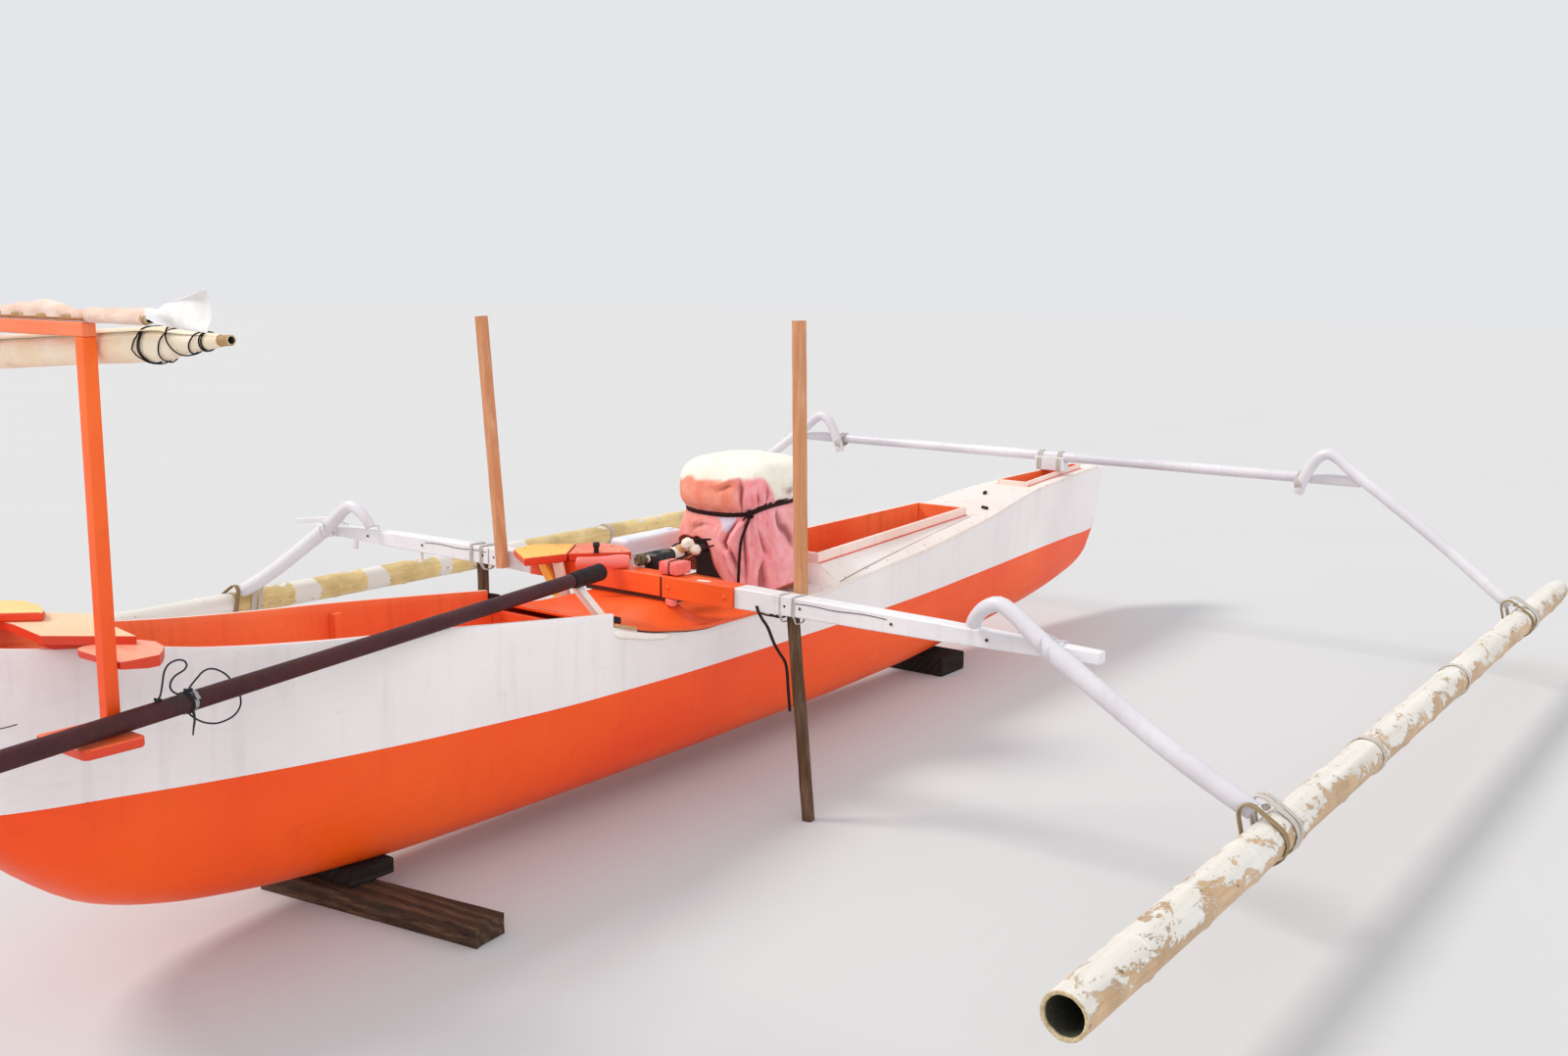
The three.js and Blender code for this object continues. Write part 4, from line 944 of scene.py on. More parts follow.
def grid_solid(name, rows_out, rows_in, mats, mat_of=None):
    """A closed body from an outer and an inner grid of equal size."""
    nr, nc = len(rows_out), len(rows_out[0])
    verts = [tuple(p) for r in rows_out for p in r] + [tuple(p) for r in rows_in for p in r]
    off = nr * nc
    faces, idx = [], []

    def q(a, b, c, d, mi):
        faces.append((a, b, c, d))
        idx.append(mi)

    for i in range(nr - 1):
        for j in range(nc - 1):
            a = i * nc + j
            q(a, a + 1, a + nc + 1, a + nc, 0)
            q(off + a, off + a + nc, off + a + nc + 1, off + a + 1, 1)
    for i in range(nr - 1):
        a, b = i * nc, (i + 1) * nc
        q(a, b, off + b, off + a, 2)
        a, b = i * nc + nc - 1, (i + 1) * nc + nc - 1
        q(b, a, off + a, off + b, 3)
    for j in range(nc - 1):
        q(j + 1, j, off + j, off + j + 1, 4)
        a = (nr - 1) * nc + j
        q(a, a + 1, off + a + 1, off + a, 4)
    me = bpy.data.meshes.new(name)
    me.from_pydata(verts, [], faces)
    pick = mat_of or (lambda k: k)
    me.polygons.foreach_set("material_index", [pick(i) for i in idx])
    fix_normals(me)
    return me


def wavy(x, z, amp=0.0011):
    return amp * noise.noise(Vector((x * 2.3, z * 5.0, 3.1)))


def build_hull():
    # bottom, from one paint line round the keel to the other
    out, inn = [], []
    for x in stations(STERN_X, STEM_X):
        o, i = bottom_half(x, 0), bottom_half(x, 0.015)
        out.append([P(x, -y, z) for y, z in reversed(o)] + [P(x, y, z) for y, z in o[1:]])
        inn.append([P(x, -y, z) for y, z in reversed(i)] + [P(x, y, z) for y, z in i[1:]])
    me = grid_solid("hull_bottom_skin", out, inn, 2, lambda k: 0 if k == 0 else 1)
    ob = new_object("hull_bottom_skin", me, [M["orange"], M["orange_in"]], smooth=40)
    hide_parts("hull_bottom")
    # side planks
    for run, x0, x1 in (("aft", STERN_X, STEP_X - 1e-6), ("forward", STEP_X, STEM_X)):
        for side, s in (("starboard", -1), ("port", 1)):
            out, inn = [], []
            for x in stations(x0, x1):
                zp, zs = paint_at(x), sheer_at(x)
                n = 12
                ro, ri = [], []
                for k in range(n + 1):
                    z = zp + (zs - zp) * k / n
                    w = wavy(x, z + (5 if s > 0 else 0)) * math.sin(math.pi * min(1, (x - STERN_X) / 0.3, (STEM_X - x) / 0.3) / 2) * math.sin(math.pi * k / n)
                    ro.append(P(x, s * (half_beam(x, z) + w), z))
                    ri.append(P(x, s * max(half_beam(x, z, 0.015), 0.0005), z))
                # eased top edge
                t = 0.0025
                yo, yi = half_beam(x, zs), max(half_beam(x, zs, 0.015), 0.0005)
                ro[-1] = P(x, s * yo, zs - t)
                ro.append(P(x, s * (yo - t * 0.4), zs - t * 0.3))
                ro.append(P(x, s * (yo - t), zs))
                ri[-1] = P(x, s * yi, zs - t)
                ri.append(P(x, s * (yi + t * 0.4), zs - t * 0.3))
                ri.append(P(x, s * (yi + t), zs))
                out.append(ro)
                inn.append(ri)
            nm = f"side_plank_{run}_{side}"
            me = grid_solid(nm + "_skin", out, inn, 3, lambda k: {0: 0, 1: 1, 2: 0, 3: 2, 4: 0}[k])
            ob = new_object(nm + "_skin", me, [M["white"], M["orange_in"], M["coaming"]], smooth=50)
            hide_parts(nm)
    # posts at the ends: solid, white above the paint line and orange below
    for nm, x0, x1 in (("stern_post", 1.095, STERN_X), ("stem_post", STEM_X, 7.090)):
        rings = []
        for x in stations(x0, x1, 0.012):
            b = bottom_half(x, 0, 8)
            zp, zs = paint_at(x), sheer_at(x)
            up = [(half_beam(x, zp + (zs - zp) * k / 6), zp + (zs - zp) * k / 6) for k in range(1, 7)]
            ring = [P(x, -y, z) for y, z in reversed(b + up)] + [P(x, y, z) for y, z in (b + up)[1:]]
            rings.append(ring)
        n = len(rings[0])
        verts = [tuple(p) for r in rings for p in r]
        faces, idx = [], []
        for i in range(len(rings) - 1):
            for j in range(n):
                a, b2 = i * n + j, i * n + (j + 1) % n
                faces.append((a, b2, b2 + n, a + n))
                low = 6 <= j < n - 1 - 6
                idx.append(1 if low else (2 if j == n - 1 else 0))
        faces.append(tuple(range(n))[::-1])
        faces.append(tuple((len(rings) - 1) * n + j for j in range(n)))
        idx += [0, 0]
        me = bpy.data.meshes.new(nm + "_skin")
        me.from_pydata(verts, [], faces)
        me.polygons.foreach_set("material_index", idx)
        fix_normals(me)
        ob = new_object(nm + "_skin", me, [M["white"], M["orange"], M["white_deck"]], smooth=40)
        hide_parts(nm)


build_hull()


# ------------------------------------------------------------------ decks and coamings
def slab_blocks(name, blocks, lift, thick, mats, idx_side=1, step=0.05, smooth=30):
    """Sheets that follow the sheer: blocks of (x0, x1, low y, high y), each y a function of x."""
    verts, faces, idx = [], [], []
    for x0, x1, ylo, yhi in blocks:
        xs = stations(x0, x1, step)
        base = len(verts)
        for x in xs:
            z = sheer_at(x + 1e-5) + lift
            for y, dz in ((ylo(x), 0), (yhi(x), 0), (yhi(x), thick), (ylo(x), thick)):
                verts.append(tuple(P(x, y, z + dz)))
        for i in range(len(xs) - 1):
            a = base + 4 * i
            for k in range(4):
                faces.append((a + k, a + (k + 1) % 4, a + 4 + (k + 1) % 4, a + 4 + k))
                idx.append(0 if k in (0, 2) else idx_side)
        faces.append((base, base + 1, base + 2, base + 3))
        e = base + 4 * (len(xs) - 1)
        faces.append((e, e + 1, e + 2, e + 3))
        idx += [idx_side, idx_side]
    me = bpy.data.meshes.new(name)
    me.from_pydata(verts, [], faces)
    me.polygons.foreach_set("material_index", idx)
    fix_normals(me)
    return me


def beam_of(over):
    return lambda x: bsheer_at(x) + over


def neg(f):
    return lambda x: -f(x)


def between(xa, ya, xb, yb):
    return lambda x: ya + (yb - ya) * (x - xa) / (xb - xa)


def bevel(ob, width, seg=2, angle=35):
    md = ob.modifiers.new("bevel", "BEVEL")
    md.width = width
    md.segments = seg
    md.limit_method = "ANGLE"
    md.angle_limit = math.radians(angle)
    md.harden_normals = False
    return md


def hatch_half(x):
    return 0.182 + (x - 4.330) * (0.122 - 0.182) / 1.170


def hatch_foot(x):
    """Height of the deck at the foot of the fore hatch's coaming."""
    return 0.612 + (x - 4.330) * 0.024


def margin_z(x, y):
    """Height of the sloping deck beside the fore hatch."""
    edge, h = bsheer_at(x) - 0.004, hatch_half(x)
    t = max(0.0, min(1.0, (edge - y) / (edge - h)))
    return sheer_at(x) + 0.0133 + (hatch_foot(x) - sheer_at(x) - 0.0133) * t


def build_decks():
    # engine deck: overhangs the sides by 12 mm and follows their curve
    def o(x):
        t = max(0.0, min(1.0, (x - 3.165) / 0.21))
        return bsheer_at(x) - 0.002 + 0.014 * t * t * (3 - 2 * t)
    me = slab_blocks("engine_deck_sheet", [(3.1655, 4.0600, neg(o), o)], 0.0003, 0.012, 1, step=0.02)
    ob = new_object("engine_deck_sheet", me, [M["orange_deck"], M["orange_deck"]], smooth=25)
    bevel(ob, 0.003, 2, 50)
    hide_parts("engine_deck")
    # its raised middle, which the beam sits on; open at its after end, whose face is dark brown as painted shade in the
    # opening
    outer, inner = [], []
    xs = stations(3.1700, 3.620, 0.016)
    for i, x in enumerate(xs):
        e = bsheer_at(x) - 0.010
        fall = max(0.0, min(1.0, (3.620 - x) / 0.055))
        ro, ri = [], []
        for k in range(41):
            y = e * (k / 20 - 1)
            t = max(0.0, min(1.0, (e - abs(y)) / 0.115))
            t = t * t * (3 - 2 * t) * 0.65 + t * 0.35
            low = sheer_at(x + 1e-4) + 0.0124
            z = low + 0.0009 + max(0.0, 0.6045 - low) * t * fall
            ro.append(P(x, y, z + 0.0006 * noise.noise(Vector((x * 9, y * 9, 2)))))
            ri.append(P(x, y, low))
        outer.append(ro)
        inner.append(ri)
    me = grid_solid("engine_deck_middle", outer, inner, 1, lambda k: 0)
    fix_normals(me)
    for f in me.polygons:
        c = f.center
        if abs(f.normal.x) > 0.8 and c.x < P(3.1702, 0, 0).x and -0.035 < c.y < 0.215:
            f.material_index = 1
    new_object("engine_deck_middle", me, [M["orange_deck"], M["shade_wood"]], smooth=35)
    # foredeck with its two hatches
    o = beam_of(0.004)
    h = between(4.330, 0.182, 5.500, 0.122)
    b = between(6.130, 0.078, 6.800, 0.026)
    blocks = [(4.0603, 4.330, neg(o), o), (4.330, 5.500, neg(o), neg(h)), (4.330, 5.500, h, o), (5.500, 6.130, neg(o), o),
              (6.130, 6.800, neg(o), neg(b)), (6.130, 6.800, b, o), (6.800, 6.990, neg(o), o)]
    me = slab_blocks("foredeck_sheet", blocks, 0.0003, 0.012, 2, 0, 0.05)
    ob = new_object("foredeck_sheet", me, [M["white_deck"]], smooth=25)
    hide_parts("foredeck")
    # boards that slope up to the fore hatch, and the ramp abaft it
    for s in (-1, 1):
        outer, inner = [], []
        for x in stations(4.330, 5.500, 0.03):
            h, e = hatch_half(x) + 0.0001, bsheer_at(x) - 0.003
            ro, ri = [], []
            for k in range(9):
                t = k / 8
                y = e + (h - e) * t
                crown = 0.0035 * math.sin(math.pi * t)
                ro.append(P(x, s * y, margin_z(x, y) + crown + 0.0006 * noise.noise(Vector((x * 6, t * 3, s)))))
                ri.append(P(x, s * y, sheer_at(x) + 0.0118))
            outer.append(ro)
            inner.append(ri)
        me = grid_solid("foredeck_margin", outer, inner, 1, lambda k: 0)
        fix_normals(me)
        new_object("foredeck_margin_" + ("port" if s > 0 else "starboard"), me, [M["white_deck"]], smooth=35)
    outer, inner = [], []
    for i in range(9):
        x = 4.285 + 0.0452 * i / 8
        ro, ri = [], []
        for k in range(25):
            y = (bsheer_at(x) - 0.003) * (k / 12 - 1)
            lift = max(0.0, margin_z(4.330, abs(y)) - sheer_at(4.330) - 0.0125) * (i / 8)
            ro.append(P(x, y, sheer_at(x) + 0.0126 + lift))
            ri.append(P(x, y, sheer_at(x) + 0.0118))
        outer.append(ro)
        inner.append(ri)
    me = grid_solid("foredeck_ramp", outer, inner, 1, lambda k: 0)
    fix_normals(me)
    new_object("foredeck_ramp", me, [M["white_deck"]], smooth=35)
    # coamings: two long boards and two across
    for nm, x0, b0, x1, b1, wall, low, high in (("fore_hatch_coaming", 4.330, 0.182, 5.500, 0.122, 0.018, -0.045, 0.042), ("bow_hatch_coaming", 6.130, 0.078, 6.800, 0.026, 0.012, -0.040, 0.034)):
        verts, faces, idx = [], [], []

        def board(rows):
            """rows: closed sections of (point, part) corners."""
            base, n = len(verts), len(rows[0])
            for r in rows:
                verts.extend(tuple(p) for p in r)
            for i in range(len(rows) - 1):
                for k in range(n):
                    a = base + i * n + k
                    c = base + i * n + (k + 1) % n
                    faces.append((a, c, c + n, a + n))
                    idx.append(k)
            faces.append(tuple(base + k for k in range(n)))
            faces.append(tuple(base + (len(rows) - 1) * n + k for k in range(n)))
            idx.extend([4, 4])

        half = between(x0, b0 - 0.0003, x1, b1 - 0.0003)
        if nm == "fore_hatch_coaming":      # its rim runs straight, above the deck
            rim = lambda x: 0.648 + (x - 4.330) * 0.0222
        else:
            rim = lambda x: sheer_at(x) + high
        for s in (-1, 1):
            rows = []
            for x in stations(x0 + 0.0003, x1 - 0.0003, 0.06):
                z, y = sheer_at(x), half(x)
                rows.append([P(x, s * y, z + low), P(x, s * y, rim(x)), P(x, s * (y - wall), rim(x)), P(x, s * (y - wall), z + low)])
            board(rows)
        for x, inner in ((x0 + 0.0003, 1), (x1 - 0.0003, -1)):
            rows = []
            y = half(x) - wall - 0.0003
            for yy in (-y, y):
                xa, xb = x, x + inner * wall
                za, zb = sheer_at(xa), sheer_at(xb)
                rows.append([P(xa, yy, za + low), P(xa, yy, rim(xa)), P(xb, yy, rim(xb)), P(xb, yy, zb + low)])
            board(rows)
        me = bpy.data.meshes.new(nm + "_boards")
        me.from_pydata(verts, [], faces)
        me.polygons.foreach_set("material_index", [{0: 0, 1: 0, 2: 1, 3: 0, 4: 0}[k] for k in idx])
        fix_normals(me)
        ob = new_object(nm + "_boards", me, [M["coaming"], M["orange_in"]], smooth=30)
        bevel(ob, 0.0025, 2, 50)
        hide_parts(nm)


build_decks()


# ------------------------------------------------------------------ CAD nodes that keep their shape, with eased edges
def soften(node, width, mats, seg=2, rename=None, mat_of=None, angle=30, body="boat", subdiv=0, warp=0.0, wscale=8.0):
    """A copy of a CAD node with eased edges stands for it. warp moves its skin in and out a little, as adzed timber has it."""
    src = NODES[node]
    me = src.data.copy()
    me.name = (rename or node + "_piece")
    me.materials.clear()
    bm = bmesh.new()
    bm.from_mesh(me)
    bmesh.ops.remove_doubles(bm, verts=bm.verts, dist=1e-5)
    bmesh.ops.dissolve_limit(bm, angle_limit=math.radians(1.2), verts=bm.verts, edges=bm.edges)
    if subdiv:
        for _ in range(subdiv):
            long = [e for e in bm.edges if e.calc_length() > 0.10]
            bmesh.ops.subdivide_edges(bm, edges=long, cuts=1, use_grid_fill=True)
    if warp:
        bm.normal_update()
        for v in bm.verts:
            k = noise.noise(v.co * wscale) * warp
            v.co += v.normal * (k - warp) * 0.5
    bmesh.ops.recalc_face_normals(bm, faces=bm.faces)
    for f in bm.faces:
        f.material_index = mat_of(f) if mat_of else 0
    bm.to_mesh(me)
    bm.free()
    ob = new_object(rename or node + "_piece", me, mats, body=body)
    if width:
        bevel(ob, width, seg, angle)
    me.polygons.foreach_set("use_smooth", [True] * len(me.polygons))
    es = ob.modifiers.new("normals", "WEIGHTED_NORMAL")
    es.keep_sharp = True
    es.weight = 60
    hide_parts(node)
    return ob


soften("stern_deck", 0.002, [M["orange_in"]])
soften("rib_aft", 0.003, [M["orange_in"]])
soften("rib_forward", 0.003, [M["orange_in"]])
soften("well_bulkhead", 0.002, [M["orange_in"]])
soften("bow_saddle", 0.003, [M["white_beam"]])
soften("engine_bed", 0.003, [M["orange_in"]])
soften("engine_block", 0.008, [M["black"]])
# the rack board's side faces take the darker red: painted shade on its sides
soften("rack_board", 0.0035, [M["pale"], M["red_edge"], M["peach"]], 3,
       mat_of=lambda f: 1 if f.normal.z < 0.5 else (0 if f.calc_center_median().z > 0.866 else 2))
soften("stern_seat", 0.005, [M["seat_yellow"], M["red_edge"]], 3, mat_of=lambda f: 0 if f.normal.z > 0.5 else 1)
soften("rack_post_starboard", 0.003, [M["orange_rack"]], 3)
soften("rack_post_port", 0.003, [M["orange_rack"]], 3)
soften("rack_bar", 0.003, [M["orange_board"]], 3)
soften("shaft_tray", 0.005, [M["orange_board"], M["red_edge"]], 3, mat_of=lambda f: 0 if f.normal.z > 0.5 else 1)
soften("shaft_rest", 0.002, [M["cream_paint"]])
soften("bearer_log", 0.006, [M["old_x"]], 3)
soften("bow_block", 0.008, [M["old_x"]], 3)

# ------------------------------------------------------------------ outrigger arms, struts and floats
FLOAT_X0, FLOAT_X1, FLOAT_R = 2.370, 7.270, 0.052
ARM_X = 3.555


# x of its plane, radius, then rows of (y, z, forward of that plane)
STRUTS = {
    "main": (3.497, 0.0275, [(1.262, 0.6945, 0.015), (1.279, 0.723, 0.009), (1.309, 0.752, 0.002), (1.350, 0.767, 0), (1.392, 0.748, 0), (1.436, 0.715, 0), (1.501, 0.667, 0), (1.580, 0.619, 0), (1.734, 0.525, 0), (1.874, 0.444, 0), (2.060, 0.351, 0)]),
    "front": (6.480, 0.0235, [(1.190, 0.725, 0), (1.205, 0.775, 0), (1.265, 0.883, 0), (1.310, 0.905, 0), (1.354, 0.884, 0), (1.395, 0.850, 0), (1.470, 0.796, 0), (1.780, 0.573, 0), (2.060, 0.351, 0)]),
}


def strut_path(s, x, rows):
    return smooth_path([P(x + dx, s * y, z) for y, z, dx in rows], 0.012)


def build_struts():
    for nm, (x, rad, rows) in STRUTS.items():
        y0, foot = rows[0][0], rows[0][1]
        for side, s in (("starboard", -1), ("port", 1)):
            pts = strut_path(s, x, rows)
            n = len(pts)
            ph = 1.7 * s + x

            def rf(t):
                q = 1 + 0.035 * noise.noise(Vector((t * 5.0, ph, 0.0))) + 0.02 * noise.noise(Vector((t * 17.0, ph, 4.0)))
                # a grown bend: slender at its foot, thick along the straight
                q *= 0.72 + 0.28 * min(1.0, max(0.0, (t - 0.04) / 0.30)) if nm == "main" else 1.0
                if t > 0.97:
                    q *= 1 - (t - 0.97) * 4
                return q * (0.90 if t < 0.01 else 1.0)

            sh = Shape()
            sh.tube(pts, rad, 22, 0, rf)
            ob = sh.done(f"{nm}_strut_{side}_bend", [M["white_pipe"]], 50)
            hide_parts(f"{nm}_strut_{side}")
            # wound cord where the strut meets its arm and its float
            tie = Shape()
            if nm == "main":
                # seized once where it crosses the arm, painted over with it
                z_arm = 0.654
                for k, (y, z) in enumerate(((1.484, 0.6795), (1.508, 0.6620))):
                    sec = circle2d(x - ARM_X, z - z_arm, 0.0262 + 0.0020) + rect2d(0, 0, 0.0265, 0.0185, 0.002)
                    lash(tie, P(ARM_X, s * y, z_arm), (0, 1, 0), (1, 0, 0), (0, 0, 1), sec, 2, 0.0018, 2, seed=k)
                tie.tube([P(x + 0.024, s * (y0 + 0.004), 0.6985), P(ARM_X - 0.004, s * (y0 + 0.002), 0.6930), P(ARM_X - 0.004, s * (y0 + 0.002), 0.6700)], 0.0045, 8, 2)
            else:
                sec = circle2d(x - 6.530, -0.02, 0.0235 + 0.0025) + circle2d(0, 0, 0.025 + 0.0025)
                lash(tie, P(6.530, s * (y0 + 0.004), 0.790), (0, 1, 0), (1, 0, 0), (0, 0, 1), sec, 6, 0.0025, 0, seed=4)
            sec = circle2d(s * 2.062 - s * 2.105, 0.352 - 0.292, 0.0265) + circle2d(0, 0, FLOAT_R + 0.003)
            for k, dx in enumerate((-0.036, 0.044, 0.072)):
                lash(tie, P(x + dx, s * 2.105, 0.292), (1, 0, 0), (0, 1, 0), (0, 0, 1), sec, 4 if k < 2 else 3, 0.0026, 0 if k else 1, n=36, seed=k + 7)
            tie.blob(P(x + 0.058, s * (2.105 - 0.034), 0.347), 0.010, 0, 12, (1.3, 1, 0.8), 0.6)
            tie.done(f"{nm}_strut_{side}_lashing", [M["rope_pale"], M["rope"], M["white_pipe"]], 60)


def build_floats():
    for side, s, mt in (("starboard", -1, "bamboo_near"), ("port", 1, "bamboo_far")):
        r2 = random.Random(31 if s < 0 else 57)
        nodes, x = [], FLOAT_X0 + 0.305
        while x < FLOAT_X1 - 0.1:
            nodes.append(x)
            x += 0.335 + r2.uniform(-0.03, 0.035)
        xs = set()
        x = FLOAT_X0
        while x < FLOAT_X1:
            xs.add(round(x, 4))
            x += 0.045
        for c in nodes:
            for d in (-0.020, -0.012, -0.007, -0.004, -0.0015, 0.001, 0.0035, 0.007, 0.012, 0.020):
                xs.add(round(c + d, 4))
        xs.add(FLOAT_X1)
        xs = sorted(xs)

        def radius(x):
            r = 0.0498 + 0.0006 * math.sin(x * 3.1 + s)
            for c in nodes:
                d = (x - c) / 0.006
                r += 0.0021 * math.exp(-d * d) - 0.0012 * math.exp(-((x - c - 0.009) / 0.003) ** 2) + 0.0009 * math.exp(-((x - c) / 0.03) ** 2)
            t = max(0.0, (x - (FLOAT_X1 - 0.12)) / 0.12)
            return r - 0.006 * t

        prof = [(0, 0.26), (0.038, 0.262), (0.0405, 0.20), (0.0405, 0.10), (0.0400, 0.03), (0.0402, 0.006), (0.0412, 0.0012), (0.0440, 0.0), (0.0470, 0.0002), (0.0492, 0.0022)]
        mats = [2, 2, 2, 2, 2, 1, 1, 1, 1]
        for x in xs[1:]:
            prof.append((radius(x), x - FLOAT_X0))
            mats.append(0)
        e = FLOAT_X1 - FLOAT_X0
        prof += [(0.0425, e), (0.0355, e - 0.001), (0.0340, e - 0.05), (0, e - 0.052)]
        mats += [1, 1, 2, 2]

        def wob(r, d, a, j):
            x = FLOAT_X0 + d
            k = 1 + 0.012 * math.cos(2 * a + x * 0.8) + 0.006 * noise.noise(Vector((math.cos(a) * 1.3, math.sin(a) * 1.3, x * 2.0 + s)))
            if j <= 9:
                ragged = 0.0022 * (1 + noise.noise(Vector((math.cos(a) * 2.6, math.sin(a) * 2.6, 3.0 + s)))) + 0.0012 * (1 + noise.noise(Vector((math.cos(a) * 9, math.sin(a) * 9, 1.0))))
                if 5 <= j:
                    d = d + ragged
            return r * k, d

        sh = Shape()
        sh.lathe(P(FLOAT_X0, s * 2.105, 0.292), (1, 0, 0), prof, 48, mats, wob)
        ob = sh.done(f"float_{side}_culm", [M[mt], M["bamboo_rim"], M["bamboo_hole_shade"]], 38)
        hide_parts(f"float_{side}")
        # old windings on the culm
        tie = Shape()
        for k, (dx, turns) in enumerate((((1.94, 4), (2.98, 4)) if s < 0 else ((3.3, 4), (4.3, 3)))):
            lash(tie, P(FLOAT_X0 + dx, s * 2.105, 0.292), (1, 0.05 * (k - 1), 0), (0, 1, 0), (0, 0, 1), circle2d(0, 0, FLOAT_R + 0.0022), turns, 0.0024, 0, n=40, jitter=0.004, seed=k)
        tie.done(f"float_{side}_windings", [M["rope_pale"]], 60)


def build_front_arm():
    ys = stations(-1.440, 1.440, 0.04)
    pts = [P(6.530, y, 0.790) for y in ys]
    nodes = [-1.18, -0.83, -0.47, -0.12, 0.24, 0.60, 0.97, 1.28]
    fine = []
    for y in ys:
        fine.append(y)
    for c in nodes:
        fine += [c - 0.008, c - 0.003, c, c + 0.003, c + 0.008]
    fine = sorted(set(fine))
    prof = [(0, 0.0)]
    for y in fine:
        r = 0.0236 + 0.0005 * math.sin(y * 6)
        for c in nodes:
            r += 0.0012 * math.exp(-((y - c) / 0.004) ** 2)
        prof.append((r, y + 1.440))
    prof[1] = (0.020, 0.0)
    prof.insert(2, (0.0232, 0.003))
    prof.append((0.020, 2.880))
    prof.append((0, 2.879))
    sh = Shape()
    sh.lathe(P(6.530, -1.440, 0.790), (0, 1, 0), prof, 24, 0)
    ob = sh.done("front_arm_pole", [M["white_pipe"]], 40)
    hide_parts("front_arm")
    tie = Shape()
    for k, y in enumerate((-0.052, 0.050)):
        z = 0.790 - 0.026
        sec = circle2d(0, 0.026, 0.025 + 0.002) + rect2d(0, -0.014, 0.032, 0.022, 0.002)
        lash(tie, P(6.530, y, z), (0, 1, 0), (1, 0, 0), (0, 0, 1), sec, 5, 0.0022, 0, seed=k)
    tie.done("front_arm_lashing", [M["rope_pale"]], 60)


def build_beam():
    """The hardwood beam with its cheeks, and what is pegged to it."""
    sh = Shape()
    sh.stick(P(ARM_X, 0.4333, 0.655), P(ARM_X, -0.4333, 0.655), 0.070, 0.066, 0, n=10)
    ob = sh.done("main_beam_timber", [M["orange_beam"]], 30, bev=0.0035)
    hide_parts("main_beam")
    sh = Shape()
    # cheek boards on the after face, with an open joint between them
    sh.prism([P(3.520, -0.1530, 0.6215), P(3.520, -0.4330, 0.6215), P(3.5115, -0.4330, 0.6215), P(3.5115, -0.1530, 0.6215)], (0, 0, 0.0668), 0)
    sh.prism([P(3.520, 0.4330, 0.623), P(3.520, -0.1430, 0.623), P(3.5135, -0.1425, 0.623), P(3.5135, 0.4330, 0.623)], (0, 0, 0.0645), 0)
    sh.done("main_beam_cheeks", [M["orange_beam"]], 30, bev=0.0015)
    sh = Shape()
    # dark brown strip between the beam and the raised middle of the deck: painted shade under the beam
    sh.prism([P(3.538, -0.186, 0.6010), P(3.538, 0.200, 0.6010), P(3.538, 0.200, 0.6218), P(3.538, -0.186, 0.6218)], (0.046, 0, 0), 0)
    sh.done("beam_gap_shade", [M["tar_soft"]], 30, bev=0.002)
    # black tar at the back of the open joint, dark enough to stand for its shade: tar and painted shade
    sh = Shape()
    sh.prism([P(3.5168, -0.1528, 0.6225), P(3.5196, -0.1528, 0.6225), P(3.5196, -0.1432, 0.6225), P(3.5168, -0.1432, 0.6225)], (0, 0, 0.064), 0)
    sh.done("beam_joint_tar", [M["tar"]], 30, bev=0.001)
    sh = Shape()
    sh.prism([P(3.504, -0.203, 0.599), P(3.530, -0.201, 0.599), P(3.532, -0.176, 0.601), P(3.505, -0.174, 0.602)], (0, 0.001, 0.0185), 0)
    # a thin cream shim on the beam's top edge: a worn patch and a painted highlight
    sh.prism([P(3.524, -0.280, 0.6884), P(3.541, -0.284, 0.6884), P(3.546, -0.322, 0.6884), P(3.538, -0.331, 0.6884), P(3.527, -0.316, 0.6884)], (0, 0, 0.0022), 1)
    sh.done("beam_pegs", [M["pink_paint"], M["cream_paint"]], 30, bev=0.0018)
    # bolts through the beam and its cheeks
    bolts = Shape()
    for y, z in ((-0.405, 0.655), (-0.178, 0.656), (0.205, 0.654), (0.400, 0.656)):
        x = 3.5115 if y < -0.15 else 3.5135
        bolts.lathe(P(x, y, z), (-1, 0, 0), [(0, -0.001), (0.0072, -0.001), (0.0074, 0.001), (0.0062, 0.0028), (0.003, 0.0038), (0, 0.004)], 14, 0)
    bolts.done("beam_bolts", [M["orange_beam"]], 40)


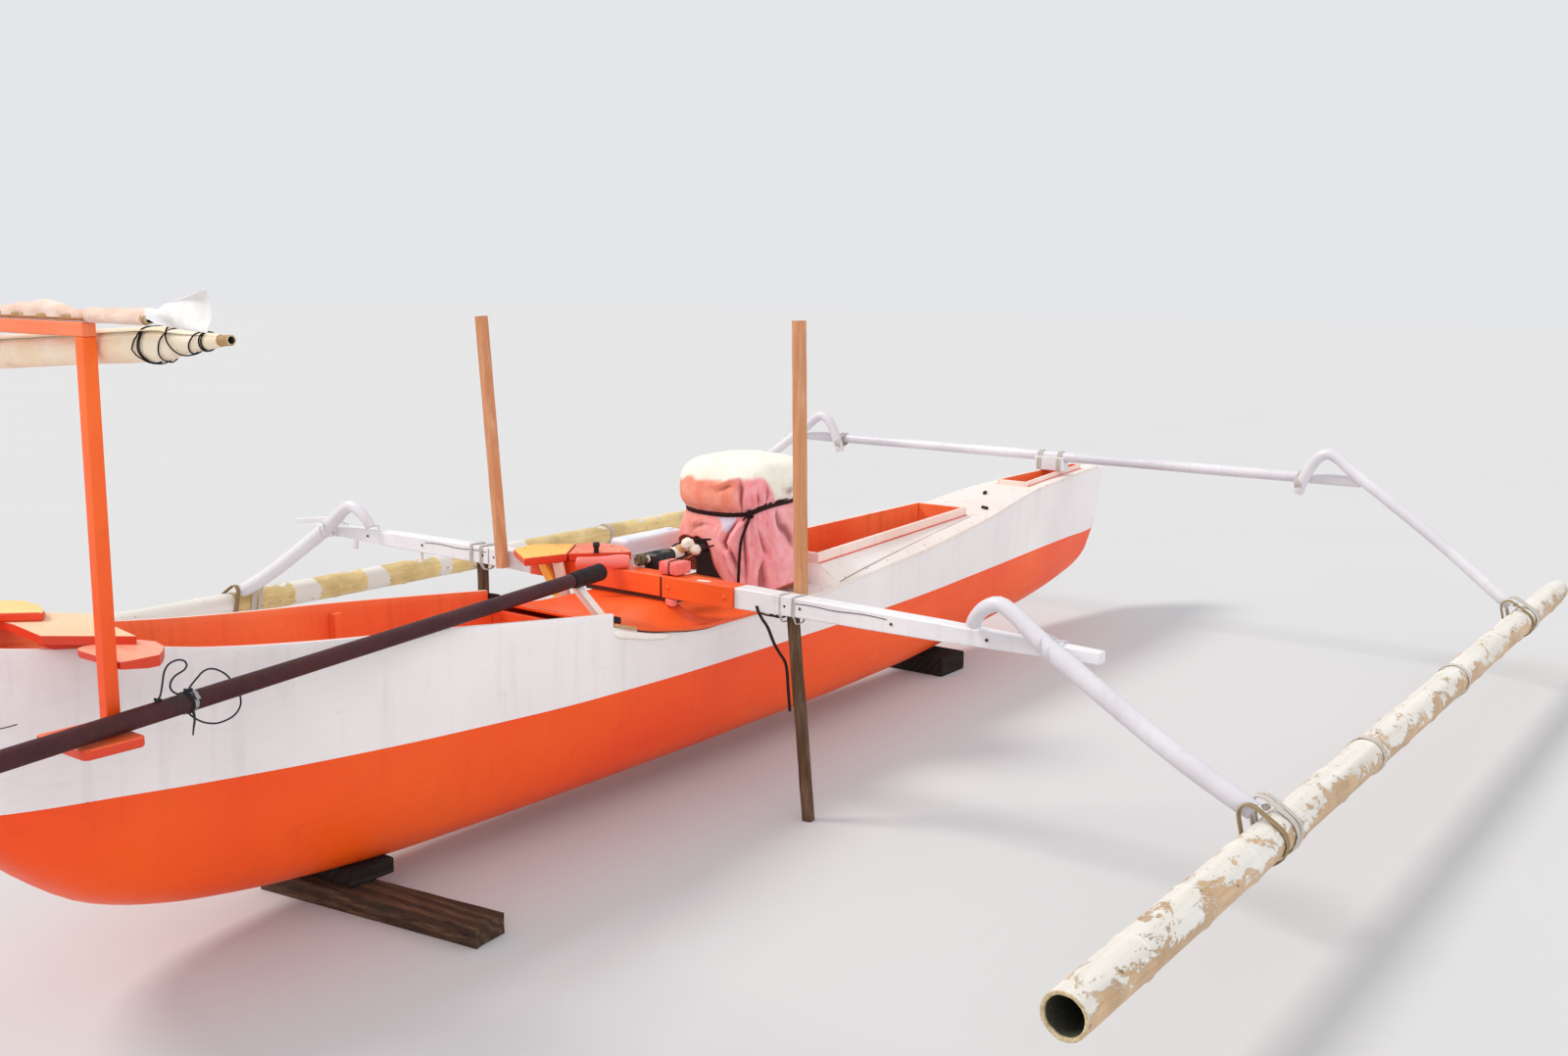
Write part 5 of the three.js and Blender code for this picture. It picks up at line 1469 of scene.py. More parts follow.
def build_arms():
    """Tapered arms: eased edges, a butt joint with a core inside it, pegs and lashings."""
    for side, s in (("starboard", -1), ("port", 1)):
        rows = [(0.4336, 0.6225, 0.6875, 0.0325), (0.647, 0.6258, 0.6850, 0.0307), (0.652, 0.6262, 0.6845, 0.0300), (0.90, 0.6262, 0.6827, 0.0290), (1.150, 0.628, 0.680, 0.028), (1.40, 0.6323, 0.6737, 0.0238), (1.625, 0.636, 0.668, 0.020)]
        sh = Shape()
        for part in (rows[:2], rows[2:]):
            verts, faces = [], []
            fine = []
            for (ya, la, ha, wa), (yb, lb, hb, wb) in zip(part, part[1:]):
                m = max(1, int((yb - ya) / 0.08))
                for i in range(m):
                    t = i / m
                    fine.append((ya + (yb - ya) * t, la + (lb - la) * t, ha + (hb - ha) * t, wa + (wb - wa) * t))
            fine.append(part[-1])
            for y, lo_, hi_, w in fine:
                d = 0.0012 * noise.noise(Vector((y * 3, s, 0)))
                for dx, z in ((-w, lo_), (w, lo_), (w, hi_), (-w, hi_)):
                    verts.append(P(ARM_X + dx + d, s * y, z))
            for i in range(len(fine) - 1):
                for k in range(4):
                    c = 4 * i
                    faces.append((c + k, c + (k + 1) % 4, c + 4 + (k + 1) % 4, c + 4 + k))
            e = 4 * (len(fine) - 1)
            faces += [(0, 1, 2, 3), (e + 3, e + 2, e + 1, e)]
            sh.add(verts, faces, 0)
        # core that joins the two lengths inside the joint
        sh.box(ARM_X - 0.026, ARM_X + 0.026, min(s * 0.640, s * 0.660), max(s * 0.640, s * 0.660), 0.630, 0.681, 1)
        ob = sh.done(f"main_arm_{side}_timber", [M["white_beam"], M["tar"]], 30, bev=0.0032)
        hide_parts(f"main_arm_{side}")
        # long seam where the upper strip was glued on
        extra = Shape()
        for a, b in ((0.470, 0.640), (0.660, 0.98)):
            n = 8
            pts = [P(ARM_X - 0.0305 + 0.0012 * (i / n), s * (a + (b - a) * i / n), 0.668 + 0.002 * math.sin(i * 1.3)) for i in range(n + 1)]
            extra.tube(pts, 0.0011, 5, 0)
        for y in (0.452, 0.470, 0.622, 0.678, 0.995, 1.30, 1.52):
            extra.lathe(P(ARM_X - 0.0305 + 0.006 * max(0, y - 1.15), s * y, 0.655), (-1, 0, 0), [(0, -0.002), (0.0045, -0.002), (0.0045, 0.0006), (0.002, 0.0016), (0, 0.0017)], 10, 1)
        extra.done(f"main_arm_{side}_seam_and_nails", [M["tar"], M["rusty"]], 40)
        tie = Shape()
        if s < 0:
            # strap's turns under the arm, between two staples
            for k, (ya, yb, zz) in enumerate(((0.524, 0.600, 0.6212), (0.560, 0.622, 0.6205))):
                pts = [P(3.532 + 0.004 * k, -ya, zz + 0.003), P(3.530 + 0.004 * k, -(ya + 0.012), zz - 0.0012), P(3.529, -(ya * 0.5 + yb * 0.5), zz - 0.0030), P(3.530, -(yb - 0.012), zz - 0.0012), P(3.532, -yb, zz + 0.003)]
                tie.tube(smooth_path(pts, 0.004), 0.0030, 8, 1)
        leg_top = 0.632 if s < 0 else 0.710
        sec = rect2d(0, 0, 0.031, 0.032, 0.003) + [(-0.019, -0.055), (0.019, -0.055)]
        cr = 0.0013 if s < 0 else 0.0022
        sec = rect2d(0, 0, 0.0295, 0.0305, cr + 0.0004) + [(-0.019, -0.052), (0.019, -0.052)]
        lash(tie, P(ARM_X, s * (leg_top + 0.024), 0.655), (0, 1, 0), (1, 0, 0), (0, 0, 1), sec, 3, cr, 0, jitter=0.002, seed=5)
        lash(tie, P(ARM_X, s * (leg_top - 0.026), 0.655), (0, 1, 0), (1, 0, 0), (0, 0, 1), sec, 3, cr, 0, jitter=0.002, seed=6)
        tie.done(f"main_arm_{side}_lashing", [M["rope_pale"], M["strap"]], 60)
    # pegs left in the port arm
    sh = Shape()
    sh.stick(P(3.500, 1.690, 0.676), P(3.612, 1.560, 0.684), 0.018, 0.018, 0, n=3)
    sh.stick(P(3.530, 1.375, 0.598), P(3.530, 1.370, 0.6345), 0.016, 0.016, 0, taper=0.8, n=2)
    sh.stick(P(3.534, 1.010, 0.590), P(3.534, 1.012, 0.6255), 0.016, 0.016, 0, taper=0.8, n=2)
    sh.done("arm_pegs_port", [M["white_beam"]], 30, bev=0.002)


# ------------------------------------------------------------------ helm board, drive and engine fittings
def board(name, outline, z0, z1, mats, slot, bev=0.005, mat_top=0, mat_side=1, dz=None):
    sh = Shape()
    n = len(outline)
    verts = [P(x / 1000, y / 1000, z0) for x, y in outline] + [P(x / 1000, y / 1000, z1 + (dz(x, y) if dz else 0)) for x, y in outline]
    faces = [tuple(range(n))[::-1], tuple(range(n, 2 * n))] + [(k, (k + 1) % n, n + (k + 1) % n, n + k) for k in range(n)]
    sh.add(verts, faces, [mat_side, mat_top] + [mat_side] * n)
    return sh.done(name, mats, 30, bev=bev, seg=3)


def build_helm():
    # two boards side by side, a saw cut apart
    ob = board("helm_seat_fore_board", [(3506, 246), (3660, 108), (3730, 195), (3730, 310), (3666, 358)], 0.6884, 0.7155, [M["helm_pink"], M["red_edge"]], "paint_orange", 0.004)
    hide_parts("helm_seat")
    board("helm_seat_after_board", [(3352, 292), (3500, 247), (3661, 361), (3640, 375), (3566, 470), (3453, 448)], 0.6884, 0.7160, [M["helm_yellow"], M["red_edge"]], "paint_orange", 0.006)
    sh = Shape()
    # slanting brackets under the boards
    sh.stick(P(3.470, 0.335, 0.6875), P(3.512, 0.300, 0.566), 0.034, 0.016, 0, up=(1, 0, 0), n=3)
    sh.stick(P(3.480, 0.270, 0.6875), P(3.508, 0.262, 0.560), 0.040, 0.014, 1, up=(1, 0, 0), n=3)
    sh.done("helm_brackets", [M["helm_yellow"], M["cream_paint"]], 30, bev=0.002)
    # black peg at the edge of the board
    sh = Shape()
    sh.lathe(P(3.575, 0.186, 0.7150), (0, 0, 1), [(0, 0), (0.009, 0), (0.0085, 0.018), (0.0115, 0.022), (0.0115, 0.032), (0.009, 0.036), (0, 0.037)], 16, 0)
    sh.done("helm_peg", [M["black"]], 40)
    nails = Shape()
    for x, y in ((3540, 240), (3600, 190), (3655, 145), (3700, 230), (3700, 300), (3400, 300), (3470, 290), (3560, 330), (3600, 390), (3490, 430)):
        nails.lathe(P(x / 1000, y / 1000, 0.7152), (0, 0, 1), [(0, -0.001), (0.0042, -0.001), (0.0042, 0.0006), (0.002, 0.0014), (0, 0.0015)], 10, 0)
    nails.done("helm_nails", [M["rusty"]], 40)


def build_drive():
    z_arm = 0.6883 + 0.0225
    a, b = P(3.420, 0.128, z_arm), P(3.551, 0.017, z_arm)
    ax = (b - a).normalized()
    L = (b - a).length
    sh = Shape()
    prof = [(0, 0.0), (0.012, 0.0), (0.0165, 0.003), (0.0185, 0.010), (0.0175, 0.03), (0.0172, 0.06), (0.0182, 0.095), (0.0205, 0.12), (0.0218, 0.135), (0.0218, 0.150), (0.0200, L - 0.008), (0.0185, L - 0.002), (0.012, L), (0, L)]
    sh.lathe(a, ax, prof, 24, 0, lambda r, d, t, j: (r * (1 + 0.05 * math.cos(2 * t + 0.4)), d))
    ob = sh.done("drive_arm_turned", [M["pink_paint"]], 45)
    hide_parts("drive_arm")
    # coupling flange: turned disc with bolts
    sh = Shape()
    o = P(3.572, 0.004, 0.7105)
    sh.lathe(o, (1, 0, 0), [(0, 0.001), (0.008, 0.001), (0.009, 0.0), (0.0120, 0.0), (0.0130, 0.002), (0.0130, 0.006), (0.0190, 0.0065), (0.0198, 0.008), (0.0198, 0.0145), (0.0190, 0.016), (0.0150, 0.0165), (0.0145, 0.020), (0.0185, 0.0205), (0.0195, 0.022), (0.0195, 0.0290), (0.0185, 0.0305), (0.0125, 0.031), (0.0125, 0.0392), (0, 0.0394)], 32, 0)
    for k in range(6):
        t = 2 * math.pi * k / 6 + 0.3
        c = o + Vector((0.0066, math.cos(t) * 0.0160, math.sin(t) * 0.0160))
        sh.lathe(c, (-1, 0, 0), [(0, -0.002), (0.0028, -0.002), (0.0028, 0.0026), (0.0018, 0.0034), (0, 0.0034)], 6, 1)
    ob = sh.done("drive_flange_turned", [M["olive"], M["rusty"]], 35)
    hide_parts("drive_flange")
    # gear case: cast body, ribs, cover plate, breather
    sh = Shape()
    x0, x1, y0, y1, z0, z1 = 3.6125, 3.7035, -0.0535, 0.0155, 0.6645, 0.7335
    rings = []
    for t, g in ((0, 0.010), (0.06, 0.003), (0.16, 0.0), (0.30, 0.0), (0.34, 0.004), (0.38, 0.0), (0.62, 0.0), (0.66, 0.004), (0.70, 0.0), (0.86, 0.0), (0.95, 0.004), (1, 0.012)):
        x = x0 + (x1 - x0) * t
        cy, cz = (y0 + y1) / 2, (z0 + z1) / 2
        hy, hz = (y1 - y0) / 2 - g, (z1 - z0) / 2 - g
        ring = []
        for k in range(28):
            q = 2 * math.pi * k / 28
            ring.append(P(x, cy + hy * math.copysign(abs(math.cos(q)) ** 0.42, math.cos(q)), cz + hz * math.copysign(abs(math.sin(q)) ** 0.42, math.sin(q))))
        rings.append(ring)
    verts = [v for r in rings for v in r]
    faces = []
    for i in range(len(rings) - 1):
        for k in range(28):
            faces.append((i * 28 + k, i * 28 + (k + 1) % 28, (i + 1) * 28 + (k + 1) % 28, (i + 1) * 28 + k))
    faces += [tuple(range(28))[::-1], tuple((len(rings) - 1) * 28 + k for k in range(28))]
    sh.add(verts, faces, 0)
    sh.lathe(P(3.640, -0.020, 0.7325), (0, 0, 1), [(0, 0), (0.013, 0), (0.013, 0.003), (0.008, 0.0045), (0, 0.0045)], 18, 0)
    # pale scrape on its after corner
    sh.lathe(P(3.6130, -0.006, 0.712), (-1, 0, 0), [(0, -0.001), (0.0125, -0.001), (0.0125, 0.0012), (0.010, 0.0022), (0, 0.0024)], 18, 1)
    for dy, dz in ((-0.028, 0.026), (0.026, 0.026), (-0.028, -0.026), (0.026, -0.026)):
        sh.lathe(P(3.6130, -0.019 + dy, 0.699 + dz), (-1, 0, 0), [(0, -0.004), (0.0042, -0.004), (0.0042, 0.0022), (0.003, 0.0032), (0, 0.0032)], 6, 2)
    ob = sh.done("gear_case_casting", [M["black"], M["cream_paint"], M["rusty"]], 35)
    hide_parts("gear_case")
    # output coupling: shaft, cream nut, tan sleeve, rubber bands
    sh = Shape()
    o = P(3.7043, -0.016, 0.712)
    prof = [(0, 0), (0.014, 0), (0.0150, 0.002), (0.0150, 0.010), (0.0215, 0.012), (0.0238, 0.020), (0.0240, 0.038), (0.0232, 0.052), (0.0200, 0.058), (0.0170, 0.060), (0.0170, 0.078), (0.0225, 0.080), (0.0235, 0.083), (0.0235, 0.094), (0.0225, 0.097), (0.0190, 0.098), (0.0190, 0.118), (0.0225, 0.120), (0.0235, 0.124), (0.0235, 0.136), (0.0220, 0.140), (0.0150, 0.142), (0.0150, 0.236), (0.0225, 0.238), (0.0225, 0.2570), (0, 0.2571)]
    mats = []
    for (r0, d0), (r1, d1) in zip(prof, prof[1:]):
        d = (d0 + d1) / 2
        mats.append(1 if 0.011 < d < 0.059 else (2 if 0.078 < d < 0.119 else 0))
    sh.lathe(o, (1, 0, 0), prof, 30, mats, lambda r, d, t, j: (r * (1 + (0.06 if 0.02 < d < 0.058 else 0.0) * math.cos(6 * t)), d))
    ob = sh.done("output_coupling_turned", [M["black"], M["cream_paint"], M["tan_cloth"]], 35)
    # cloth knotted over the coupling
    sh = Shape()
    sh.blob(P(3.764, -0.048, 0.7450), 0.0215, 0, 28, (1.2, 1.0, 0.9), 0.32)
    sh.blob(P(3.772, -0.074, 0.7280), 0.0175, 0, 24, (1.2, 1.0, 0.95), 0.30)
    sh.blob(P(3.750, -0.030, 0.7290), 0.0165, 1, 24, (1.3, 1.0, 0.9), 0.30)
    sh.done("coupling_rag", [M["cream_paint"], M["tan_cloth"]], 70)
    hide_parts("output_coupling")
    # wires from the engine, over the coupling and down its side
    wires = Shape()
    wires.tube(smooth_path([P(3.776, -0.052, 0.7560), P(3.800, -0.055, 0.7570), P(3.835, -0.058, 0.7520), P(3.870, -0.060, 0.7480)], 0.006), 0.0036, 8, 0)
    wires.tube(smooth_path([P(3.700, -0.048, 0.702), P(3.730, -0.058, 0.708), P(3.775, -0.064, 0.716), P(3.820, -0.070, 0.724), P(3.870, -0.072, 0.728)], 0.006), 0.0034, 8, 0)
    wires.tube(smooth_path([P(3.745, 0.004, 0.7330), P(3.775, 0.008, 0.738), P(3.810, 0.010, 0.738), P(3.870, 0.010, 0.736)], 0.006), 0.0028, 8, 1)
    wires.done("engine_wires", [M["rubber"], M["strap"]], 60)


def build_pad():
    """The folded pad on the beam, swollen by simulation, then the cord that ties it."""
    me = bpy.data.meshes.new("beam_pad_cushion")
    sh = Shape()
    x0, x1, y0, y1, z0, z1 = 3.530, 3.600, -0.201, -0.124, 0.6915, 0.7310
    n = 8
    verts, faces = [], []
    idx = {}
    for i in range(n + 1):
        for j in range(n + 1):
            for k in range(5):
                if i in (0, n) or j in (0, n) or k in (0, 4):
                    idx[i, j, k] = len(verts)
                    verts.append(P(x0 + (x1 - x0) * i / n, y0 + (y1 - y0) * j / n, z0 + (z1 - z0) * k / 4))
    for i in range(n):
        for j in range(n):
            faces.append((idx[i, j, 0], idx[i, j + 1, 0], idx[i + 1, j + 1, 0], idx[i + 1, j, 0]))
            faces.append((idx[i, j, 4], idx[i + 1, j, 4], idx[i + 1, j + 1, 4], idx[i, j + 1, 4]))
    for i in range(n):
        for k in range(4):
            faces.append((idx[i, 0, k], idx[i + 1, 0, k], idx[i + 1, 0, k + 1], idx[i, 0, k + 1]))
            faces.append((idx[i, n, k], idx[i, n, k + 1], idx[i + 1, n, k + 1], idx[i + 1, n, k]))
            faces.append((idx[0, i, k], idx[0, i, k + 1], idx[0, i + 1, k + 1], idx[0, i + 1, k]))
            faces.append((idx[n, i, k], idx[n, i + 1, k], idx[n, i + 1, k + 1], idx[n, i, k + 1]))
    sh.add(verts, faces, 0)
    ob = sh.done("beam_pad_cushion", [M["pad"]], 60)
    puff(ob, 0.005, 4.0, 0.007, 18)
    # crown it, pull its middle in where the cord ties it, keep it off the beam
    for v in ob.data.vertices:
        q = v.co
        t = (q.y - (y0 + y1) / 2) / ((y1 - y0) / 2)
        pinch = math.exp(-((q.y + 0.166) / 0.006) ** 2)
        c = Vector(((x0 + x1) / 2 - ORIGIN_X, q.y, 0.700))
        d = q - c
        d.y = 0
        q = q - d * 0.10 * pinch
        q.z = max(q.z, 0.6887)
        q.z = min(q.z, 0.7365)
        v.co = q
    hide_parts("beam_pad")
    tie = Shape()
    sec = rect2d(0, 0, 0.0285, 0.0165, 0.006)
    ring = [P(3.565 + a, -0.166, 0.7125 + b) for a, b in around(sec, 40)]
    tie.ring(ring, 0.0018, 6, 0)
    tie.done("beam_pad_tie", [M["strap"]], 60)


def build_can():
    """Plastic fuel can: bevelled body with a handle bridge, spout and pressed panels."""
    ob = soften("fuel_can", 0.014, [M["can"]], 4, rename="fuel_can_body")
    sh = Shape()
    sh.lathe(P(4.000, 0.238, 0.7345), (0, 0, 1), [(0, 0), (0.017, 0), (0.017, 0.004), (0, 0.0045)], 20, 1)
    sh.done("fuel_can_cap", [M["can"], M["can"]], 35, bev=0.001)
    for side, y in (("starboard", 0.1995), ("port", 0.2765)):
        s = Shape()
        d = -1 if y < 0.23 else 1
        for z in (0.60, 0.64, 0.68):
            s.tube([P(3.765, y, z), P(3.90, y + d * 0.0004, z), P(4.012, y, z)], 0.0024, 8, 0)
        s.done(f"fuel_can_ribs_{side}", [M["can"]], 60)


# ------------------------------------------------------------------ shaft and what is tied to it
SHAFT_FORE = Vector((3.270, -0.118, 0.735))
SHAFT_AFT = Vector((0.900, -0.609, 0.747))
ALONG = (SHAFT_AFT - SHAFT_FORE).normalized()
SHAFT_LEN = (SHAFT_AFT - SHAFT_FORE).length


def shaft_at(d, off=Vector((0, 0, 0))):
    q = SHAFT_FORE + ALONG * d + off
    return P(q.x, q.y, q.z)


def build_shaft():
    sh = Shape()
    prof = [(0, 0.1603), (0.0165, 0.1603), (0.0190, 0.162), (0.0208, 0.166)]
    d = 0.20
    while d < SHAFT_LEN - 0.03:
        prof.append((0.0207 + 0.0002 * math.sin(d * 9), d))
        d += 0.06
    prof += [(0.0208, SHAFT_LEN - 0.030), (0.0208, SHAFT_LEN - 0.022), (0.0175, SHAFT_LEN - 0.020), (0.0170, SHAFT_LEN - 0.003), (0.0150, SHAFT_LEN), (0, SHAFT_LEN)]
    sh.lathe(P(*SHAFT_FORE), ALONG, prof, 32, 0)
    ob = sh.done("shaft_tube_pipe", [M["shaft"]], 35)
    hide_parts("shaft_tube")
    # rubber hose end over the tube: ribbed, with a thick lip
    sh = Shape()
    prof = [(0.0145, 0.030), (0.0145, 0.004), (0.0160, 0.0005), (0.0215, 0.0), (0.0258, 0.001), (0.0268, 0.004), (0.0268, 0.010), (0.0262, 0.014), (0.0264, 0.040), (0.0266, 0.043), (0.0266, 0.050), (0.0262, 0.053), (0.0258, 0.100), (0.0260, 0.103), (0.0260, 0.112), (0.0254, 0.116), (0.0246, 0.140), (0.0236, 0.152), (0.0220, 0.1592), (0.0145, 0.1598), (0.0145, 0.030)]
    sh.lathe(P(*SHAFT_FORE), ALONG, prof, 36, 0, lambda r, d, t, j: (r * (1 + 0.012 * math.cos(3 * t + d * 30)), d))
    ob = sh.done("shaft_sleeve_hose", [M["rubber"]], 40)
    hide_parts("shaft_sleeve")
    sh = Shape()
    # the bright clamp beside the tape
    r = 0.0211
    sh.lathe(shaft_at(1.6020), ALONG, [(r, 0), (r + 0.0013, 0), (r + 0.0013, 0.010), (r, 0.010), (r, 0)], 36, 0)
    c = shaft_at(1.607)
    up = (Vector((0, -0.80, 0.60)) - ALONG * Vector((0, -0.80, 0.60)).dot(ALONG)).normalized()
    side = ALONG.cross(up)
    sh.stick(c + up * (r + 0.0036) - side * 0.009, c + up * (r + 0.0036) + side * 0.009, 0.010, 0.0062, 0, up=up, n=1)
    sh.lathe(c + up * (r + 0.0036) + side * 0.009, side, [(0, 0), (0.0034, 0), (0.0034, 0.005), (0, 0.005)], 6, 0)
    sh.done("hose_clamps", [M["steel"]], 35, bev=0.0004, seg=1)
    # tape wound in overlapping turns
    sh = Shape()
    prof = [(0.0204, 1.614)]
    d = 1.614
    k = 0
    while d < 1.664:
        prof += [(0.0207 + 0.0001 * (k % 2), d), (0.0209 + 0.0001 * (k % 2), d + 0.0088)]
        d += 0.0092
        k += 1
    prof += [(0.0204, d), (0.0204, 1.614)]
    sh.lathe(P(*SHAFT_FORE), ALONG, prof, 36, 0, lambda r, dd, t, j: (r, dd + 0.0035 * math.sin(t)))
    sh.done("shaft_tape", [M["tape"]], 35)
    # knots of the wires, and the winding that holds the ring
    sh = Shape()
    u = Vector((0, 0, 1))
    u = (u - ALONG * u.dot(ALONG)).normalized()
    w = ALONG.cross(u)
    for k, (d, turns, cr) in enumerate(((1.6185, 2, 0.0013),)):
        lash(sh, shaft_at(d), ALONG, u, w, circle2d(0, 0, 0.0218 + cr), turns, cr, 0, jitter=0.004, seed=k)
    knot(sh, P(1.694, -0.4445, 0.7625), 0.020, 0.0028, 0, (0.2, -1, 0.2))
    knot(sh, P(1.6155, -0.4605, 0.7630), 0.017, 0.0026, 0, (0.3, -1, 0))
    # short tail that hangs under the tube
    sh.tube(smooth_path([P(1.700, -0.4485, 0.7250), P(1.698, -0.4560, 0.7080), P(1.692, -0.4600, 0.6900), P(1.689, -0.4610, 0.6760)], 0.004), 0.0032, 8, 1, rfun=lambda t: 1 - 0.45 * t)
    sh.done("shaft_knots", [M["cord_grey"], M["tail_green"]], 60)
    # bronze bearing ahead of the propeller
    sh = Shape()
    prof = [(0.0212, SHAFT_LEN - 0.115), (0.0262, SHAFT_LEN - 0.113), (0.0272, SHAFT_LEN - 0.108), (0.0272, SHAFT_LEN - 0.060), (0.0255, SHAFT_LEN - 0.054), (0.0240, SHAFT_LEN - 0.034), (0.0228, SHAFT_LEN - 0.031), (0.0212, SHAFT_LEN - 0.031), (0.0212, SHAFT_LEN - 0.115)]
    sh.lathe(P(*SHAFT_FORE), ALONG, prof, 32, 0)
    sh.done("stern_bearing", [M["bronze"]], 35)


def build_propeller():
    q = Vector((0, 1, 0)).rotation_difference(ALONG)
    base = shaft_at(SHAFT_LEN + 0.006)
    sh = Shape()
    sh.lathe((0, 0, 0), (0, 1, 0), [(0, 0), (0.0150, 0), (0.0170, 0.0015), (0.0186, 0.010), (0.0188, 0.016), (0.0180, 0.034), (0.0160, 0.043), (0.0128, 0.0455), (0.0098, 0.046), (0.0098, 0.0535), (0.0085, 0.058), (0.0050, 0.0612), (0, 0.0620)], 30, 0, up=(0, 0, 1))
    for b in range(2):
        rows = []
        for i in range(15):
            t = i / 14
            r = 0.0145 + (0.0935 - 0.0145) * t
            chord = 0.022 + 0.030 * math.sin(math.pi * min(1, t * 0.92 + 0.10)) ** 0.9
            if t > 0.80:
                chord *= math.sqrt(max(0.02, 1 - ((t - 0.80) / 0.205) ** 2))
            ang = 0.92 - 0.50 * t
            th = 0.0030 * (1 - 0.62 * t)
            skew = -0.006 * t * t
            ring = []
            m = 14
            for j in range(2 * m):
                if j < m:
                    c = -0.5 + j / m
                    up = 1
                else:
                    c = 0.5 - (j - m) / m
                    up = -1
                h = th * math.sqrt(max(0.0, 1 - (2 * c) ** 2)) * up
                z, y = c * chord + skew, h + 0.0025 * (1 - (2 * c) ** 2)
                yy = y * math.cos(ang) - z * math.sin(ang)
                zz = y * math.sin(ang) + z * math.cos(ang)
                x = r
                if b:
                    x, zz = -x, -zz
                ring.append(Vector((x, 0.026 + yy, zz)))
            rows.append(ring)
        n = len(rows[0])
        verts = [v for r in rows for v in r]
        faces = []
        for i in range(len(rows) - 1):
            for k in range(n):
                faces.append((i * n + k, i * n + (k + 1) % n, (i + 1) * n + (k + 1) % n, (i + 1) * n + k))
        faces += [tuple(range(n))[::-1], tuple((len(rows) - 1) * n + k for k in range(n))]
        sh.add(verts, faces, 0)
    sh.v = [tuple(base + q @ Vector(v)) for v in sh.v]
    ob = sh.done("propeller_cast", [M["bronze"]], 40, body="propeller")
    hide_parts("propeller")
    # split pin through the nut
    sh = Shape()
    a, b = base + q @ Vector((0, 0.050, -0.0125)), base + q @ Vector((0, 0.050, 0.0125))
    sh.tube([a, a * 0.5 + b * 0.5, b], 0.0012, 8, 0)
    sh.done("propeller_pin", [M["steel"]], 60, body="propeller")


# ------------------------------------------------------------------ engine cover: one gathered cloth, tied round its waist
COVER_C = (4.080, -0.024)
COVER_ROWS = [(0.540, .2070, .1925, .006), (0.566, .2055, .1910, .006), (0.680, .1975, .1840, .008), (0.770, .1880, .1760, .012), (0.800, .1815, .1705, .014), (0.815, .1770, .1660, .014), (0.830, .1825, .1720, .014),
              (0.850, .1915, .1815, .014), (0.885, .1945, .1845, .014), (0.925, .1940, .1835, .014), (0.960, .1840, .1740, .015), (0.985, .1660, .1560, .016), (1.003, .1320, .1240, .017), (1.016, .0820, .0760, .018), (1.021, .0350, .0320, .018)]
_cz = [r[0] for r in COVER_ROWS]
cov_a, cov_b, cov_x = (pchip(_cz, [r[k] for r in COVER_ROWS]) for k in (1, 2, 3))


def periodic(table):
    """A smooth periodic function of degrees through (degree, value) rows."""
    t = sorted(table)
    xs = [t[-1][0] - 360] + [a for a, b in t] + [t[0][0] + 360]
    ys = [t[-1][1]] + [b for a, b in t] + [t[0][1]]
    f = pchip(xs, ys)
    return lambda d: f((d + 180) % 360 - 180)


TIE_Z = periodic([(-178, .827), (-154, .831), (-135.5, .834), (-119, .846), (-100, .856), (-82, .861), (-71, .863), (-40, .860), (0, .856), (45, .850), (90, .842), (140, .832)])
HEM_Z = periodic([(-179.4, .735), (-178, .690), (-176, .664), (-172, .636), (-165, .608), (-158, .594), (-148, .585), (-137, .580), (-124, .572), (-110, .585), (-98, .572), (-85, .580), (-70, .571), (-45, .586), (-20, .572), (5, .590), (30, .574), (55, .592), (80, .580), (100, .600), (118, .640), (132, .705), (145, .738), (158, .745), (168, .742), (174, .748)])
# creases: (kind, height of the fold in m, half width in m, [(degrees, z), ...]); positive folds stand out
FOLDS_BELOW = [
    (0.013, 0.014, [(-140, .815), (-150, .790), (-158, .745), (-163, .700), (-160, .660), (-150, .620), (-142, .590)]),
    (-0.012, 0.010, [(-152, .812), (-163, .770), (-168, .735), (-159, .700), (-150, .660), (-143, .630)]),
    (0.008, 0.010, [(-166, .800), (-172, .760), (-172, .715), (-168, .665)]),
    (-0.009, 0.009, [(-138, .822), (-141, .790), (-141, .740), (-138, .690), (-137, .640), (-137, .585)]),
    (0.014, 0.013, [(-131, .822), (-127, .790), (-121, .740), (-119, .700), (-124, .660), (-130, .610), (-132, .575)]),
    (0.012, 0.011, [(-127, .815), (-116, .770), (-105, .715), (-98, .665), (-93, .610)]),
    (-0.016, 0.016, [(-112, .668), (-114, .640), (-113, .600), (-112, .570)]),
    (-0.009, 0.009, [(-122, .800), (-116, .750), (-110, .710), (-104, .690)]),
    (0.011, 0.011, [(-113, .835), (-104, .800), (-98, .750), (-93, .700), (-88, .640), (-87, .580)]),
    (-0.012, 0.008, [(-94, .840), (-92, .790), (-86, .740), (-83, .700)]),
    (0.009, 0.010, [(-88, .845), (-82, .790), (-77, .720), (-75, .600)]),
    (0.009, 0.012, [(176, .812), (168, .795), (158, .785), (148, .780)]),
    (-0.007, 0.010, [(178, .790), (168, .772), (158, .765)]),
]
